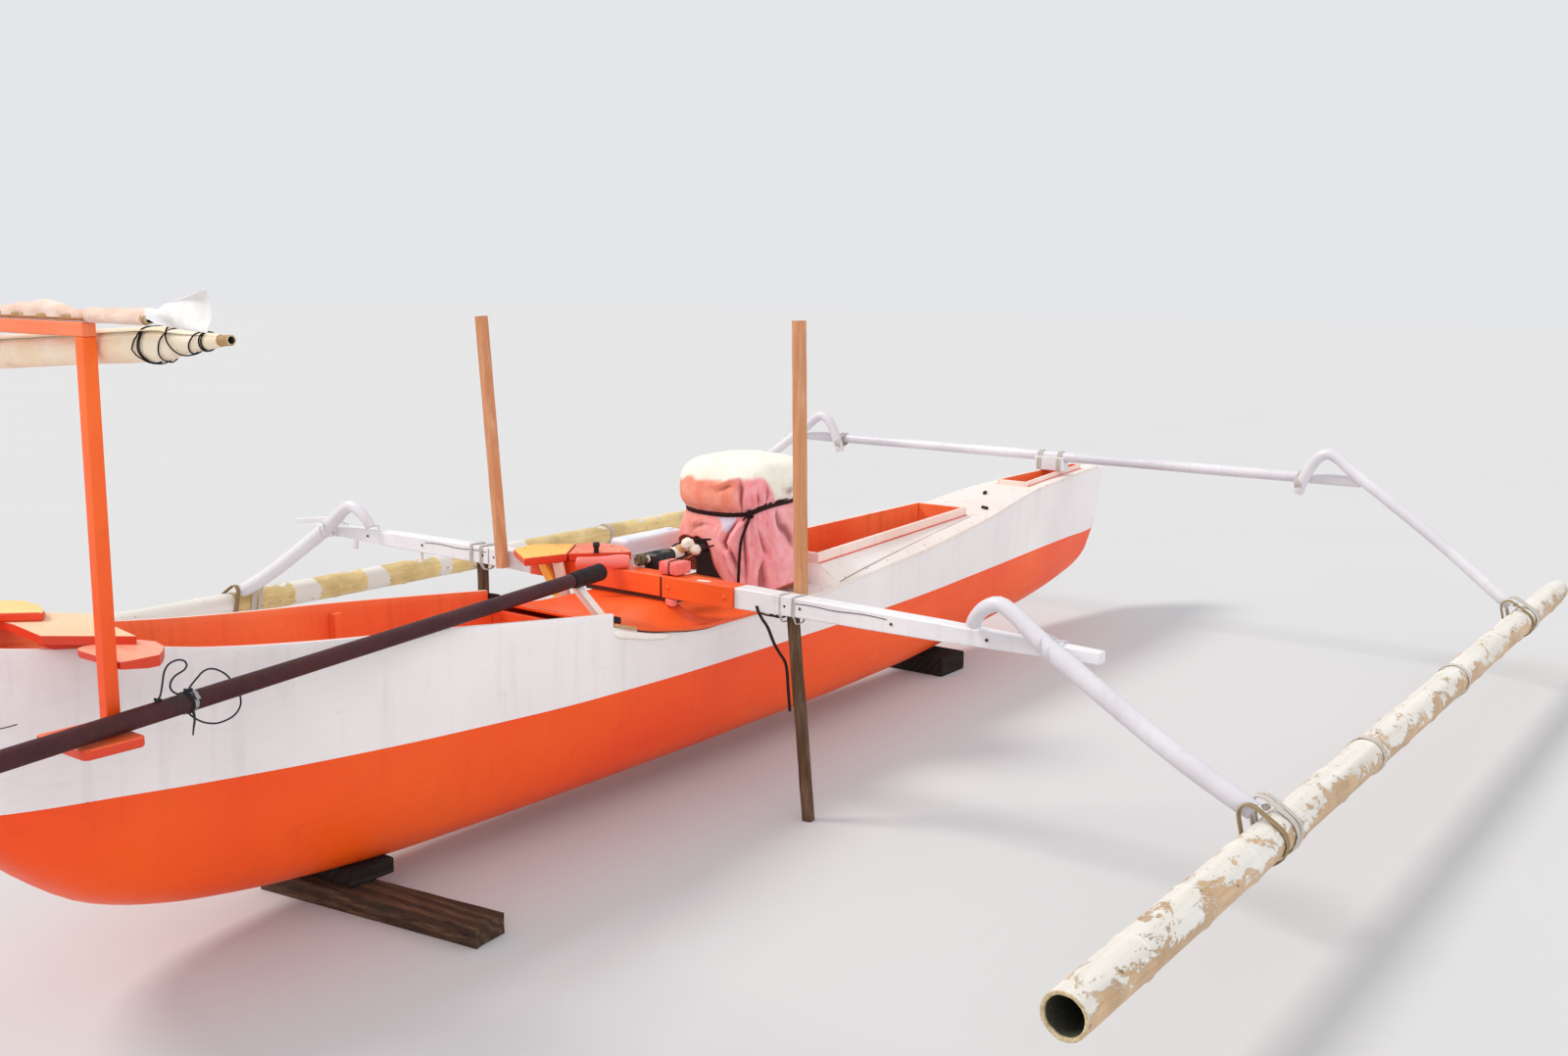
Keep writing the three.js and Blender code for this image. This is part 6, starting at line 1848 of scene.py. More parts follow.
FOLDS_ABOVE = [
    (-0.010, 0.010, [(-146, .842), (-148, .880), (-147, .920), (-150, .955)]),
    (0.008, 0.016, [(-158, .845), (-160, .890), (-163, .930)]),
    (0.008, 0.012, [(-137, .850), (-138, .900), (-134, .945), (-128, .975)]),
    (0.009, 0.008, [(-127, .856), (-127, .880), (-130, .915)]),
    (-0.007, 0.006, [(-122, .860), (-122, .885), (-124, .910)]),
    (0.008, 0.008, [(-117, .862), (-117, .890), (-119, .920)]),
    (-0.008, 0.007, [(-109, .868), (-108, .895), (-110, .930)]),
    (0.010, 0.010, [(-99, .872), (-101, .900), (-107, .935), (-115, .962)]),
    (-0.008, 0.012, [(-88, .880), (-86, .915)]),
    (0.006, 0.014, [(178, .850), (172, .900), (165, .950)]),
    (-0.006, 0.012, [(165, .850), (158, .900), (150, .940)]),
    (0.009, 0.012, [(-178, .925), (-165, .948), (-150, .958), (-136, .955)]),
    (-0.006, 0.010, [(-176, .905), (-166, .925), (-158, .930)]),
]


def seg_dist(px, pz, ax, az, bx, bz):
    vx, vz = bx - ax, bz - az
    L = vx * vx + vz * vz
    t = 0.0 if L < 1e-12 else max(0.0, min(1.0, ((px - ax) * vx + (pz - az) * vz) / L))
    dx, dz = px - ax - vx * t, pz - az - vz * t
    return math.hypot(dx, dz), t


def fold_height(deg, z, folds):
    h = 0.0
    for amp, w, line in folds:
        best, along = 9.0, 0.0
        n = len(line) - 1
        for i in range(n):
            (a0, z0), (a1, z1) = line[i], line[i + 1]
            if min(z0, z1) - 0.06 > z or max(z0, z1) + 0.06 < z:
                continue
            # degrees to metres on the skin, about 3.3 mm each
            d0 = ((a0 - deg + 180) % 360 - 180) * 0.0033
            d1 = ((a1 - deg + 180) % 360 - 180) * 0.0033
            if min(abs(d0), abs(d1)) > 0.09:
                continue
            d, t = seg_dist(0, z, d0, z0, d1, z1)
            if d < best:
                best, along = d, (i + t) / n
        if best < 0.09:
            ww = w * (0.55 + 0.9 * along)
            q = best / ww
            shape = math.exp(-q * 1.15) if amp > 0 else math.exp(-q * q)
            h += amp * shape * math.sin(math.pi * (0.12 + 0.80 * min(1, along * 1.0)))
    return h


def build_cover():
    NT, NB, NA, NC = 240, 74, 58, 12
    r2 = random.Random(11)
    pleats_low = [(-65 + k * 13.5 + r2.uniform(-4, 4), r2.uniform(0.006, 0.012), r2.uniform(2.6, 4.6), r2.uniform(-9, 9)) for k in range(16)]
    pleats_up = [(-66 + k * 15 + r2.uniform(-5, 5), r2.uniform(0.005, 0.009), r2.uniform(3.0, 5.2), r2.uniform(-10, 10)) for k in range(15)]

    def seen(deg):
        """1 on the side that the measured folds cover."""
        d = (deg + 360) % 360
        a = 1 / (1 + math.exp(-(d - 168) / 3))
        b = 1 / (1 + math.exp((d - 290) / 3))
        return a * b

    folds = []

    def point(deg, z, zone, t):
        q = math.radians(deg)
        cs, sn = math.cos(q), math.sin(q)
        # the waist follows the tie, which climbs to one side
        zt = TIE_Z(deg)
        k = 0.62
        if zone == "skirt":
            zz = 0.815 - (zt - z) * (0.815 - 0.566) / max(zt - 0.566, 0.01) if z < zt else 0.815
        else:
            zz = 0.815 + (z - zt) * (1.021 - 0.815) / (1.021 - zt)
        a, b, cx = cov_a(zz), cov_b(zz), cov_x(zz)
        x = COVER_C[0] + cx + a * math.copysign(abs(cs) ** k, cs)
        y = COVER_C[1] + b * math.copysign(abs(sn) ** k, sn)
        nx, ny = cs / a, sn / b
        # normal of the squared-off oval
        ex = 2 / k - 1
        ux = math.copysign(abs((x - COVER_C[0] - cx) / a) ** ex, x - COVER_C[0] - cx) / a
        uy = math.copysign(abs((y - COVER_C[1]) / b) ** ex, y - COVER_C[1]) / b
        L = math.hypot(ux, uy) or 1
        ux, uy = ux / L, uy / L
        w = seen(deg)
        away = min(1.0, abs(z - zt) / 0.035)
        h = 0.0
        if zone == "skirt":
            h += 1.45 * w * fold_height(deg, z, FOLDS_BELOW)
            for c, amp, wd, lean in pleats_low:
                d = ((deg - c - lean * t + 180) % 360 - 180) / (wd * (0.7 + 1.1 * t))
                h += (1 - w) * amp * math.exp(-abs(d) * 1.1) * math.sin(math.pi * (0.15 + 0.6 * t))
            # small crumples everywhere
            h += 0.0022 * noise.noise(Vector((cs * 6, sn * 6, z * 16))) + 0.0016 * noise.noise(Vector((cs * 15, sn * 15, z * 26)))
            # gathers right under the tie
            g = math.exp(-((zt - z) / 0.030) ** 2)
            h += 0.0016 * g * math.sin(deg * 0.62 + 2.5 * math.sin(deg * 0.11))
            h += 0.007 * max(0.0, t - 0.75) * noise.noise(Vector((cs * 3.2, sn * 3.2, 8.0)))
        else:
            h += 1.35 * w * fold_height(deg, z, FOLDS_ABOVE)
            for c, amp, wd, lean in pleats_up:
                d = ((deg - c - lean * t + 180) % 360 - 180) / (wd * (0.8 + 1.3 * t))
                h += (1 - w) * amp * math.exp(-abs(d) * 1.1) * math.sin(math.pi * min(1, 0.12 + 0.95 * t))
            h += 0.0026 * noise.noise(Vector((x * 13, y * 13, z * 16))) + 0.0014 * noise.noise(Vector((x * 34, y * 34, z * 30)))
            g = math.exp(-((z - zt) / 0.026) ** 2)
            h += 0.0018 * g * math.sin(deg * 0.58 + 2.2 * math.sin(deg * 0.13 + 1))
        h *= 0.25 + 0.75 * away
        # the cloth lies back along the hanging cord
        if zone == "skirt":
            dc = ((deg + 139 + 180) % 360 - 180) * 0.0033
            h = min(h, 0.0005 + 0.9 * max(0.0, abs(dc) - 0.006))
        h = max(-0.015, min(0.015, h))
        # painted shade: darker with the depth of each fold valley, and close to the tie
        near = math.exp(-(max(0.0, abs(z - zt) - 0.004) / 0.010) ** 2) * (0.55 if zone == "skirt" else 0.35)
        folds.append(max(0.0, min(1.0, -h / 0.011)) * 0.85 + near)
        up = 0.0
        if zone == "dome":
            f = max(0.0, (zz - 0.925) / 0.096)
            ux, uy, up = ux * (1 - f), uy * (1 - f), f
            h *= 0.8
        return Vector((x + ux * h - ORIGIN_X, y + uy * h, min(z + up * h, 1.0255)))

    outer, tags = [], []
    for i in range(NB + 1):
        t = 1 - i / NB                      # 1 at the hem, 0 at the tie
        row, tg = [], []
        for j in range(NT):
            deg = -180 + 360 * j / NT
            zt, zh = TIE_Z(deg), HEM_Z(deg)
            z = zt + (zh - zt) * t ** 0.9
            row.append(point(deg, z, "skirt", t))
            tg.append((deg, z))
        outer.append(row)
        tags.append(tg)
    for i in range(1, NA + 1):
        t = i / NA
        row, tg = [], []
        for j in range(NT):
            deg = -180 + 360 * j / NT
            zt = TIE_Z(deg)
            z = zt + (1.021 - zt) * math.sin(t * math.pi / 2)
            row.append(point(deg, z, "dome", t))
            tg.append((deg, z))
        outer.append(row)
        tags.append(tg)
    top = Vector((COVER_C[0] + 0.018 - ORIGIN_X, COVER_C[1], 1.0235))
    last = outer[-1]
    for i in range(1, NC + 1):
        t = i / (NC + 1)
        row, tg = [], []
        for j in range(NT):
            deg = -180 + 360 * j / NT
            p = last[j].lerp(top, t)
            p.z += 0.0020 * noise.noise(Vector((p.x * 26, p.y * 26, 2.0))) * math.sin(math.pi * t)
            row.append(p)
            folds.append(0.0)
            tg.append((deg, 1.02))
        outer.append(row)
        tags.append(tg)
    NR = len(outer)
    # the far side of the cloth, 2.4 mm in
    import_n = []
    for i in range(NR):
        rr = []
        for j in range(NT):
            a = outer[min(i + 1, NR - 1)][j] - outer[max(i - 1, 0)][j]
            b = outer[i][(j + 1) % NT] - outer[i][j - 1]
            n = b.cross(a)
            n = n.normalized() if n.length > 1e-9 else Vector((0, 0, 1))
            c = Vector((COVER_C[0] + 0.012 - ORIGIN_X, COVER_C[1], 0.75))
            if n.dot(outer[i][j] - c) < 0:
                n = -n
            rr.append(n)
        import_n.append(rr)
    verts, faces = [], []
    for i in range(NR):
        verts += [tuple(p) for p in outer[i]]
    verts.append(tuple(top))
    off = len(verts)
    for i in range(NR):
        verts += [tuple(outer[i][j] - import_n[i][j] * 0.0024) for j in range(NT)]
    verts.append((top.x, top.y, top.z - 0.0024))
    for i in range(NR - 1):
        for j in range(NT):
            a, b = i * NT + j, i * NT + (j + 1) % NT
            faces.append((a, b, b + NT, a + NT))
            faces.append((off + b, off + a, off + a + NT, off + b + NT))
    e = (NR - 1) * NT
    for j in range(NT):
        a, b = e + j, e + (j + 1) % NT
        faces.append((a, b, NR * NT))
        faces.append((off + b, off + a, off + NR * NT))
        a, b = j, (j + 1) % NT
        faces.append((b, a, off + a, off + b))
    me = bpy.data.meshes.new("engine_cover_cloth")
    me.from_pydata(verts, [], faces)
    # colour zones, from where each point is: a sun-bleached top with painted sunlight on it, the cloth's pink and
    # salmon tints, a white patch in painted shade, and painted shade in the folds and at the tie
    me.attributes.new("bleached_lit_top", "FLOAT", "POINT")
    me.attributes.new("pink", "FLOAT", "POINT")
    me.attributes.new("white_patch_shade", "FLOAT", "POINT")
    me.attributes.new("crease_shade", "FLOAT", "POINT")
    bleached_lit_top, pink, white_patch_shade, dark = (me.attributes[k] for k in ("bleached_lit_top", "pink", "white_patch_shade", "crease_shade"))
    flat = [t for row in tags for t in row] + [(0, 1.02)]
    cv, pv, lv = [], [], []
    # height per angle where the cream top ends: bleached cloth with painted sunlight
    edge = periodic([(-178, .944), (-168, .942), (-160, .951), (-150, .953), (-142, .947), (-132, .957), (-122, .958), (-114, .950), (-108, .925), (-103, .900), (-97, .876), (-88, .866), (-60, .864), (0, .862), (60, .862), (110, .880), (140, .930), (165, .946)])
    for deg, z in flat * 2:
        n1 = noise.noise(Vector((math.cos(math.radians(deg)) * 7, math.sin(math.radians(deg)) * 7, z * 9)))
        v = (z - edge(deg) + 0.010 * n1) / 0.012
        cv.append(max(0.0, min(1.0, 0.5 + v)))
        d = (deg + 360) % 360
        w = 1 / (1 + math.exp(-(d - 207) / 3.5))
        pv.append(w if z > TIE_Z(deg) else 0.35 + 0.65 / (1 + math.exp(-(d - 182) / 6)))
        # a triangle of white cloth just under the tie, tinted lilac grey as painted shade
        u = ((deg + 166 + 180) % 360 - 180) / 13.0
        vv = (TIE_Z(deg) - z) / 0.058
        lv.append(1.0 if (0.03 < vv < 1 and abs(u - 0.1) < 1.0 - vv * 0.85) else 0.0)
    folds.append(0.0)
    for at, vals in ((bleached_lit_top, cv), (pink, pv), (white_patch_shade, lv), (dark, [min(1.0, k) for k in folds * 2])):
        at.data.foreach_set("value", vals)
    fix_normals(me)
    ob = new_object("engine_cover_cloth", me, [M["cover"]], smooth=80)
    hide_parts("engine_cover")
    bm = bmesh.new()
    bm.from_mesh(me)
    area = sum(f.calc_area() for f in bm.faces) / 2
    bm.free()
    # hem: a turned edge, sewn
    hem = Shape()
    ring = [outer[0][j] for j in range(NT)]
    hem.ring(ring, 0.0024, 6, 0)
    hem.done("engine_cover_hem", [M["cover_plain"]], 60)
    # tie: a dark band sunk in the waist, two strands to the right of its knot
    def waist(deg, dz=0.0, grow=0.0):
        i = NB
        j = int(round((deg + 180) / 360 * NT)) % NT
        p = outer[i][j]
        c = Vector((COVER_C[0] + 0.014 - ORIGIN_X, COVER_C[1], p.z))
        n = (p - c)
        n.z = 0
        n.normalize()
        return p + n * grow + Vector((0, 0, dz))
    tie = Shape()
    full = [waist(-180 + 3 * k, 0.0, 0.0015) for k in range(120)]
    tie.ring(full, 0.0082, 10, 0, flat=0.32, side_dir=Vector((0, 0, 1)))
    upper = [waist(d, 0.004 + 0.010 * min(1, (d + 137) / 30), 0.0035) for d in range(-136, -58, 3)]
    tie.tube(smooth_path(upper, 0.004), 0.0062, 8, 0, flat=0.5, side_dir=Vector((0, 0, 1)))
    # knot with short ends
    kp = waist(-135.5, 0.0, 0.007)
    tie.blob(kp, 0.0105, 0, 14, (1.15, 1.25, 0.95), 0.9)
    knot(tie, kp + Vector((-0.002, -0.003, 0)), 0.026, 0.0042, 0, (-0.7, -0.7, 0.1), 8)
    for dx, dy, dz, w in ((-0.010, 0.012, -0.020, 0.004), (0.012, -0.016, 0.010, 0.0038)):
        tie.tube(smooth_path([kp, kp + Vector((dx * 0.6 - 0.004, dy * 0.6 - 0.004, dz * 0.2)), kp + Vector((dx * 1.3 - 0.003, dy * 1.3 - 0.003, dz))], 0.003), w, 8, 0, flat=0.45)
    tie.done("engine_cover_tie", [M["strap"]], 60)


# ------------------------------------------------------------------ sail rolled on its spar
ROLL_A, ROLL_B = Vector((1.583, -0.823, 1.498)), Vector((1.583, 0.900, 1.390))


def build_sail():
    ax = (ROLL_B - ROLL_A)
    L = ax.length
    ax = ax / L
    up = Vector((0, 0, 1))
    v = (up - ax * up.dot(ax)).normalized()
    u = ax.cross(v)
    A = P(*ROLL_A)
    rad = pchip([0.030, 0.040, 0.070, 0.138, 0.200, 0.300, 0.850, L - 0.25, L - 0.080, L - 0.03, L], [0.0118, 0.0128, 0.0160, 0.0222, 0.0325, 0.0345, 0.0350, 0.0350, 0.0335, 0.029, 0.0215])
    # pole: hollow end of bamboo
    sh = Shape()
    prof = [(0, 0.0235), (0.0062, 0.024), (0.0064, 0.004), (0.0070, 0.0006), (0.0092, 0.0), (0.0099, 0.0016), (0.0099, 0.020), (0.0103, 0.0245), (0.0098, 0.029), (0.0099, L * 0.5), (0.0099, L - 0.004), (0.0085, L - 0.001), (0, L - 0.001)]
    mats = [1, 1, 1, 2, 2, 0, 0, 0, 0, 0, 0, 0]
    sh.lathe(A, ax, prof, 24, mats)
    sh.done("rolled_sail_spar", [M["cream_wood"], M["bamboo_hole_shade"], M["bamboo_rim"]], 40)
    turns, per = 3.0, 40
    n_ang = int(turns * per)
    ds = []
    d = 0.031
    while d < L - 0.004:
        ds.append(d)
        d += 0.0095 if d < 0.34 else 0.017
    ds.append(L - 0.004)

    def wrinkle(a, d):
        g = 0.0026 * noise.noise(Vector((math.cos(a) * 1.5, math.sin(a) * 1.5, d * 4.0)))
        g += 0.0020 * noise.noise(Vector((math.cos(a + d * 5) * 3.0, math.sin(a + d * 5) * 3.0, d * 7.0)))
        g += 0.0010 * noise.noise(Vector((math.cos(a) * 7.0, math.sin(a) * 7.0, d * 24.0)))
        sag = 0.0
        if d > 0.20:
            sag = 0.0020 * max(0.0, -math.sin(a)) * (0.5 + 0.5 * math.sin(d * 9.0))
        # tied down where the cords go round
        for c, w in ((0.075, 0.012), (0.118, 0.010), (0.168, 0.010), (0.245, 0.010)):
            g -= 0.0022 * math.exp(-((d - c) / w) ** 2)
        return g + sag

    outer_g, inner_g = [], []
    for i in range(n_ang + 1):
        s = i / n_ang
        a = 2 * math.pi * turns * s + 2.35
        ro, ri = [], []
        for d in ds:
            R = rad(d)
            pitch = min(0.0042, (R - 0.0102) / turns * 0.86)
            r = R - pitch * turns * (1 - s)
            k = max(0.0, min(1.0, (R - 0.012) / 0.020))
            r += wrinkle(a % (2 * math.pi), d) * k * 0.75
            if s > 0.93:                    # the outer edge of the cloth lifts a little
                r += 0.0024 * ((s - 0.93) / 0.07) ** 2 * k
            start = max(0.0, 0.004 * (1 - s)) * (1 + noise.noise(Vector((a, 0, 0))))
            for lst, rr in ((ro, r), (ri, r - 0.0013)):
                lst.append(A + ax * (d + (start if d < 0.05 else 0)) + u * (math.cos(a) * rr) + v * (math.sin(a) * rr))
        outer_g.append(ro)
        inner_g.append(ri)
    me = grid_solid("rolled_sail_cloth", outer_g, inner_g, 1, lambda k: 0)
    ob = new_object("rolled_sail_cloth", me, [M["sail"]], smooth=70)
    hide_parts("rolled_sail")
    # thin dark cord wound over the near end
    sh = Shape()
    def wind(d0, d1, t, a0, cr=0.0015, extra=0.0012):
        pts = []
        m = max(8, int(t * 28))
        for k in range(m + 1):
            q = k / m
            d = d0 + (d1 - d0) * q
            a = a0 + 2 * math.pi * t * q
            k2 = max(0.0, min(1.0, (rad(d) - 0.012) / 0.020))
            r = rad(d) + wrinkle(a % (2 * math.pi), d) * k2 * 0.75 + extra
            pts.append(A + ax * d + u * (math.cos(a) * r) + v * (math.sin(a) * r))
        sh.tube(smooth_path(pts, 0.004), cr, 6, 0)
    wind(0.070, 0.262, 2.4, 0.8)
    wind(0.262, 0.088, 1.6, 0.8 + 2 * math.pi * 2.4, extra=0.0026)
    wind(0.066, 0.078, 2.0, 0.2)
    wind(0.240, 0.252, 2.0, 2.2)
    wind(0.905, 0.917, 2.0, 2.2)
    wind(1.300, 1.312, 2.0, 0.2)
    wind(1.590, 1.602, 2.0, 0.2)
    sh.done("rolled_sail_cords", [M["cord"]], 60)
    # slings that hang the roll from the rack bar
    sh = Shape()
    for y in (0.365,):
        t = (y - ROLL_A.y) / (ROLL_B.y - ROLL_A.y)
        zc = ROLL_A.z + (ROLL_B.z - ROLL_A.z) * t
        sec = circle2d(0, 0, 0.0375, 24) + [(-0.052 - 0.017, 1.523 - zc), (-0.052 + 0.017, 1.523 - zc)]
        lash(sh, P(1.583, y, zc), (0, 1, 0.02), (1, 0, 0), (0, 0, 1), sec, 3, 0.0019, 0, n=44, seed=int(y * 10))
    sh.done("rolled_sail_slings", [M["cord"]], 60)


# ------------------------------------------------------------------ upper spar, its wrap and the loose cloth
SPAR_Y0, SPAR_Y1, SPAR_Z, SPAR_R = -0.655, 1.010, 1.533, 0.011
CLOTH_TOP = [(-0.100, .001, .004), (-0.200, .001, .012), (-0.310, .001, .020), (-0.400, .001, .005), (-0.575, .001, .005), (-0.654, .001, .010), (-0.668, -.018, .013), (-0.740, -.027, .024), (-0.836, -.032, .0455)]


def build_spar():
    L = SPAR_Y1 - SPAR_Y0
    nodes = [0.21, 0.50, 0.82, 1.10, 1.41]
    ds = sorted(set([round(0.03 + k * 0.03, 3) for k in range(int(L / 0.03) - 1)] + [round(c + e, 4) for c in nodes for e in (-0.006, -0.002, 0.0, 0.002, 0.006)]))
    prof = [(0, 0.088), (0.0074, 0.090), (0.0076, 0.006), (0.0082, 0.0008), (0.0100, 0.0), (0.0108, 0.0018)]
    mats = [1, 1, 1, 2, 2]
    for d in ds:
        if d > L - 0.01:
            continue
        r = 0.0105 + sum(0.0005 * math.exp(-((d - c) / 0.002) ** 2) for c in nodes)
        prof.append((r, d))
        mats.append(0)
    prof += [(0.0106, L - 0.002), (0.0098, L), (0.0080, L - 0.001), (0.0075, L - 0.09), (0, L - 0.0895)]
    mats += [0, 2, 2, 1, 1]
    sh = Shape()
    sh.lathe(P(1.531, SPAR_Y0, SPAR_Z), (0, 1, 0), prof, 24, mats)
    ob = sh.done("upper_spar_culm", [M["cream_wood"], M["bamboo_hole_shade"], M["bamboo_rim"]], 40)
    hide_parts("upper_spar")
    # lashings of the spar to the rack bar
    sh = Shape()
    for k, y in enumerate((0.02, 0.455)):
        sec = circle2d(0, 0.0195, 0.0125) + rect2d(0, -0.014, 0.0145, 0.0140, 0.0020)
        lash(sh, P(1.531, y, 1.5215 - 0.0075), (0, 1, 0.0), (1, 0, 0), (0, 0, 1), sec, 4, 0.0017, 0, n=34, jitter=0.002, seed=k + 3)
    sh.done("upper_spar_lashings", [M["rope"]], 60)
    # a strip of cloth rolled round the spar's near end
    turns, per = 1.6, 28
    outer_g, inner_g = [], []
    ys = stations(-0.641, -0.452, 0.012)
    for i in range(int(turns * per) + 1):
        s = i / (turns * per)
        a = 2 * math.pi * turns * s + 0.6
        ro, ri = [], []
        for y in ys:
            r = 0.0118 + 0.0016 * s * turns + 0.0009 * noise.noise(Vector((math.cos(a) * 2, math.sin(a) * 2, y * 22)))
            e = 0.004 * noise.noise(Vector((a * 1.1, y, 4.0)))
            for lst, rr in ((ro, r), (ri, r - 0.0010)):
                lst.append(P(1.531 + math.cos(a) * rr, y + e, SPAR_Z + math.sin(a) * rr))
        outer_g.append(ro)
        inner_g.append(ri)
    me = grid_solid("spar_wrap", outer_g, inner_g, 1, lambda k: 0)
    ob = new_object("spar_wrap", me, [M["wrap"]], smooth=70)
    # the loose corner: one cloth, laid over the spar and hanging free past its end
    lo_ = pchip([-a for a, b, c in CLOTH_TOP], [b for a, b, c in CLOTH_TOP])
    hi_ = pchip([-a for a, b, c in CLOTH_TOP], [c for a, b, c in CLOTH_TOP])
    top = SPAR_Z + SPAR_R
    ys = [-0.100 - k * (0.736 / 92) for k in range(93)]
    NTT = 26
    A_, B_ = [], []
    for y in ys:
        f = max(0.0, min(1.0, (-y - 0.640) / 0.070))
        f = f * f * (3 - 2 * f)
        ra, rb = [], []
        for k in range(NTT + 1):
            t = k / NTT
            # over the spar: an arch that clings to it and rises in a hump
            a = math.radians(198 - 216 * t)
            wrap = -0.641 < y < -0.452
            base = 0.0152 if wrap else 0.0122
            h = hi_(-y)
            r = base + max(0.0, h - 0.004) * max(0.0, math.sin(a)) ** 1.6
            r += 0.0012 * noise.noise(Vector((y * 26, t * 3, 1.0))) + 0.0010 * math.sin(y * 70 + t * 5)
            arch = Vector((1.531 + math.cos(a) * r * 0.86, y, SPAR_Z + math.sin(a) * r))
            # past the end: hanging in soft folds
            z = top + lo_(-y) + (hi_(-y) - lo_(-y)) * (0.5 - 0.5 * math.cos(math.pi * min(1, t * 1.0)))
            x = 1.532 + 0.0075 * math.sin(5.5 * t + (-y - 0.64) * 26) * (0.4 + 0.6 * math.sin(math.pi * t)) + 0.0025 * noise.noise(Vector((y * 18, t * 4, 7.0)))
            fan = Vector((x, y - 0.003 * math.sin(7 * t) * max(0, f), z))
            if y < -0.80:
                fan.y = -0.80 - (-y - 0.80) * (0.86 + 0.14 * t)
            q = arch.lerp(fan, f)
            ra.append(P(*q))
        A_.append(ra)
    # thickness along the mean normal
    rows = len(A_)
    for i in range(rows):
        rb = []
        for k in range(NTT + 1):
            a = A_[min(i + 1, rows - 1)][k] - A_[max(i - 1, 0)][k]
            b = A_[i][min(k + 1, NTT)] - A_[i][max(k - 1, 0)]
            n = a.cross(b)
            n = n.normalized() if n.length > 1e-9 else Vector((1, 0, 0))
            rb.append(A_[i][k] - n * 0.0012)
        B_.append(rb)
    me = grid_solid("sail_corner_cloth", A_, B_, 1, lambda k: 0)
    for f in me.polygons:
        if f.center.y > -0.650:
            f.material_index = 1
    ob = new_object("sail_corner_cloth", me, [M["sail_white"], M["wrap"]], smooth=70)
    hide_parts("sail_corner")
    bm = bmesh.new()
    bm.from_mesh(me)
    area = sum(f.calc_area() for f in bm.faces) / 2
    bm.free()


# ------------------------------------------------------------------ trim on the hull
def side_point(x, z, s, out=0.0):
    if z >= paint_at(x):
        return P(x, s * (half_beam(x, z) + out), z)
    b = bottom_half(x, 0, 40)
    for (y0, z0), (y1, z1) in zip(b, b[1:]):
        if z0 <= z <= z1:
            return P(x, s * (y0 + (y1 - y0) * (z - z0) / max(z1 - z0, 1e-6) + out), z)
    return P(x, s * (b[-1][0] + out), z)


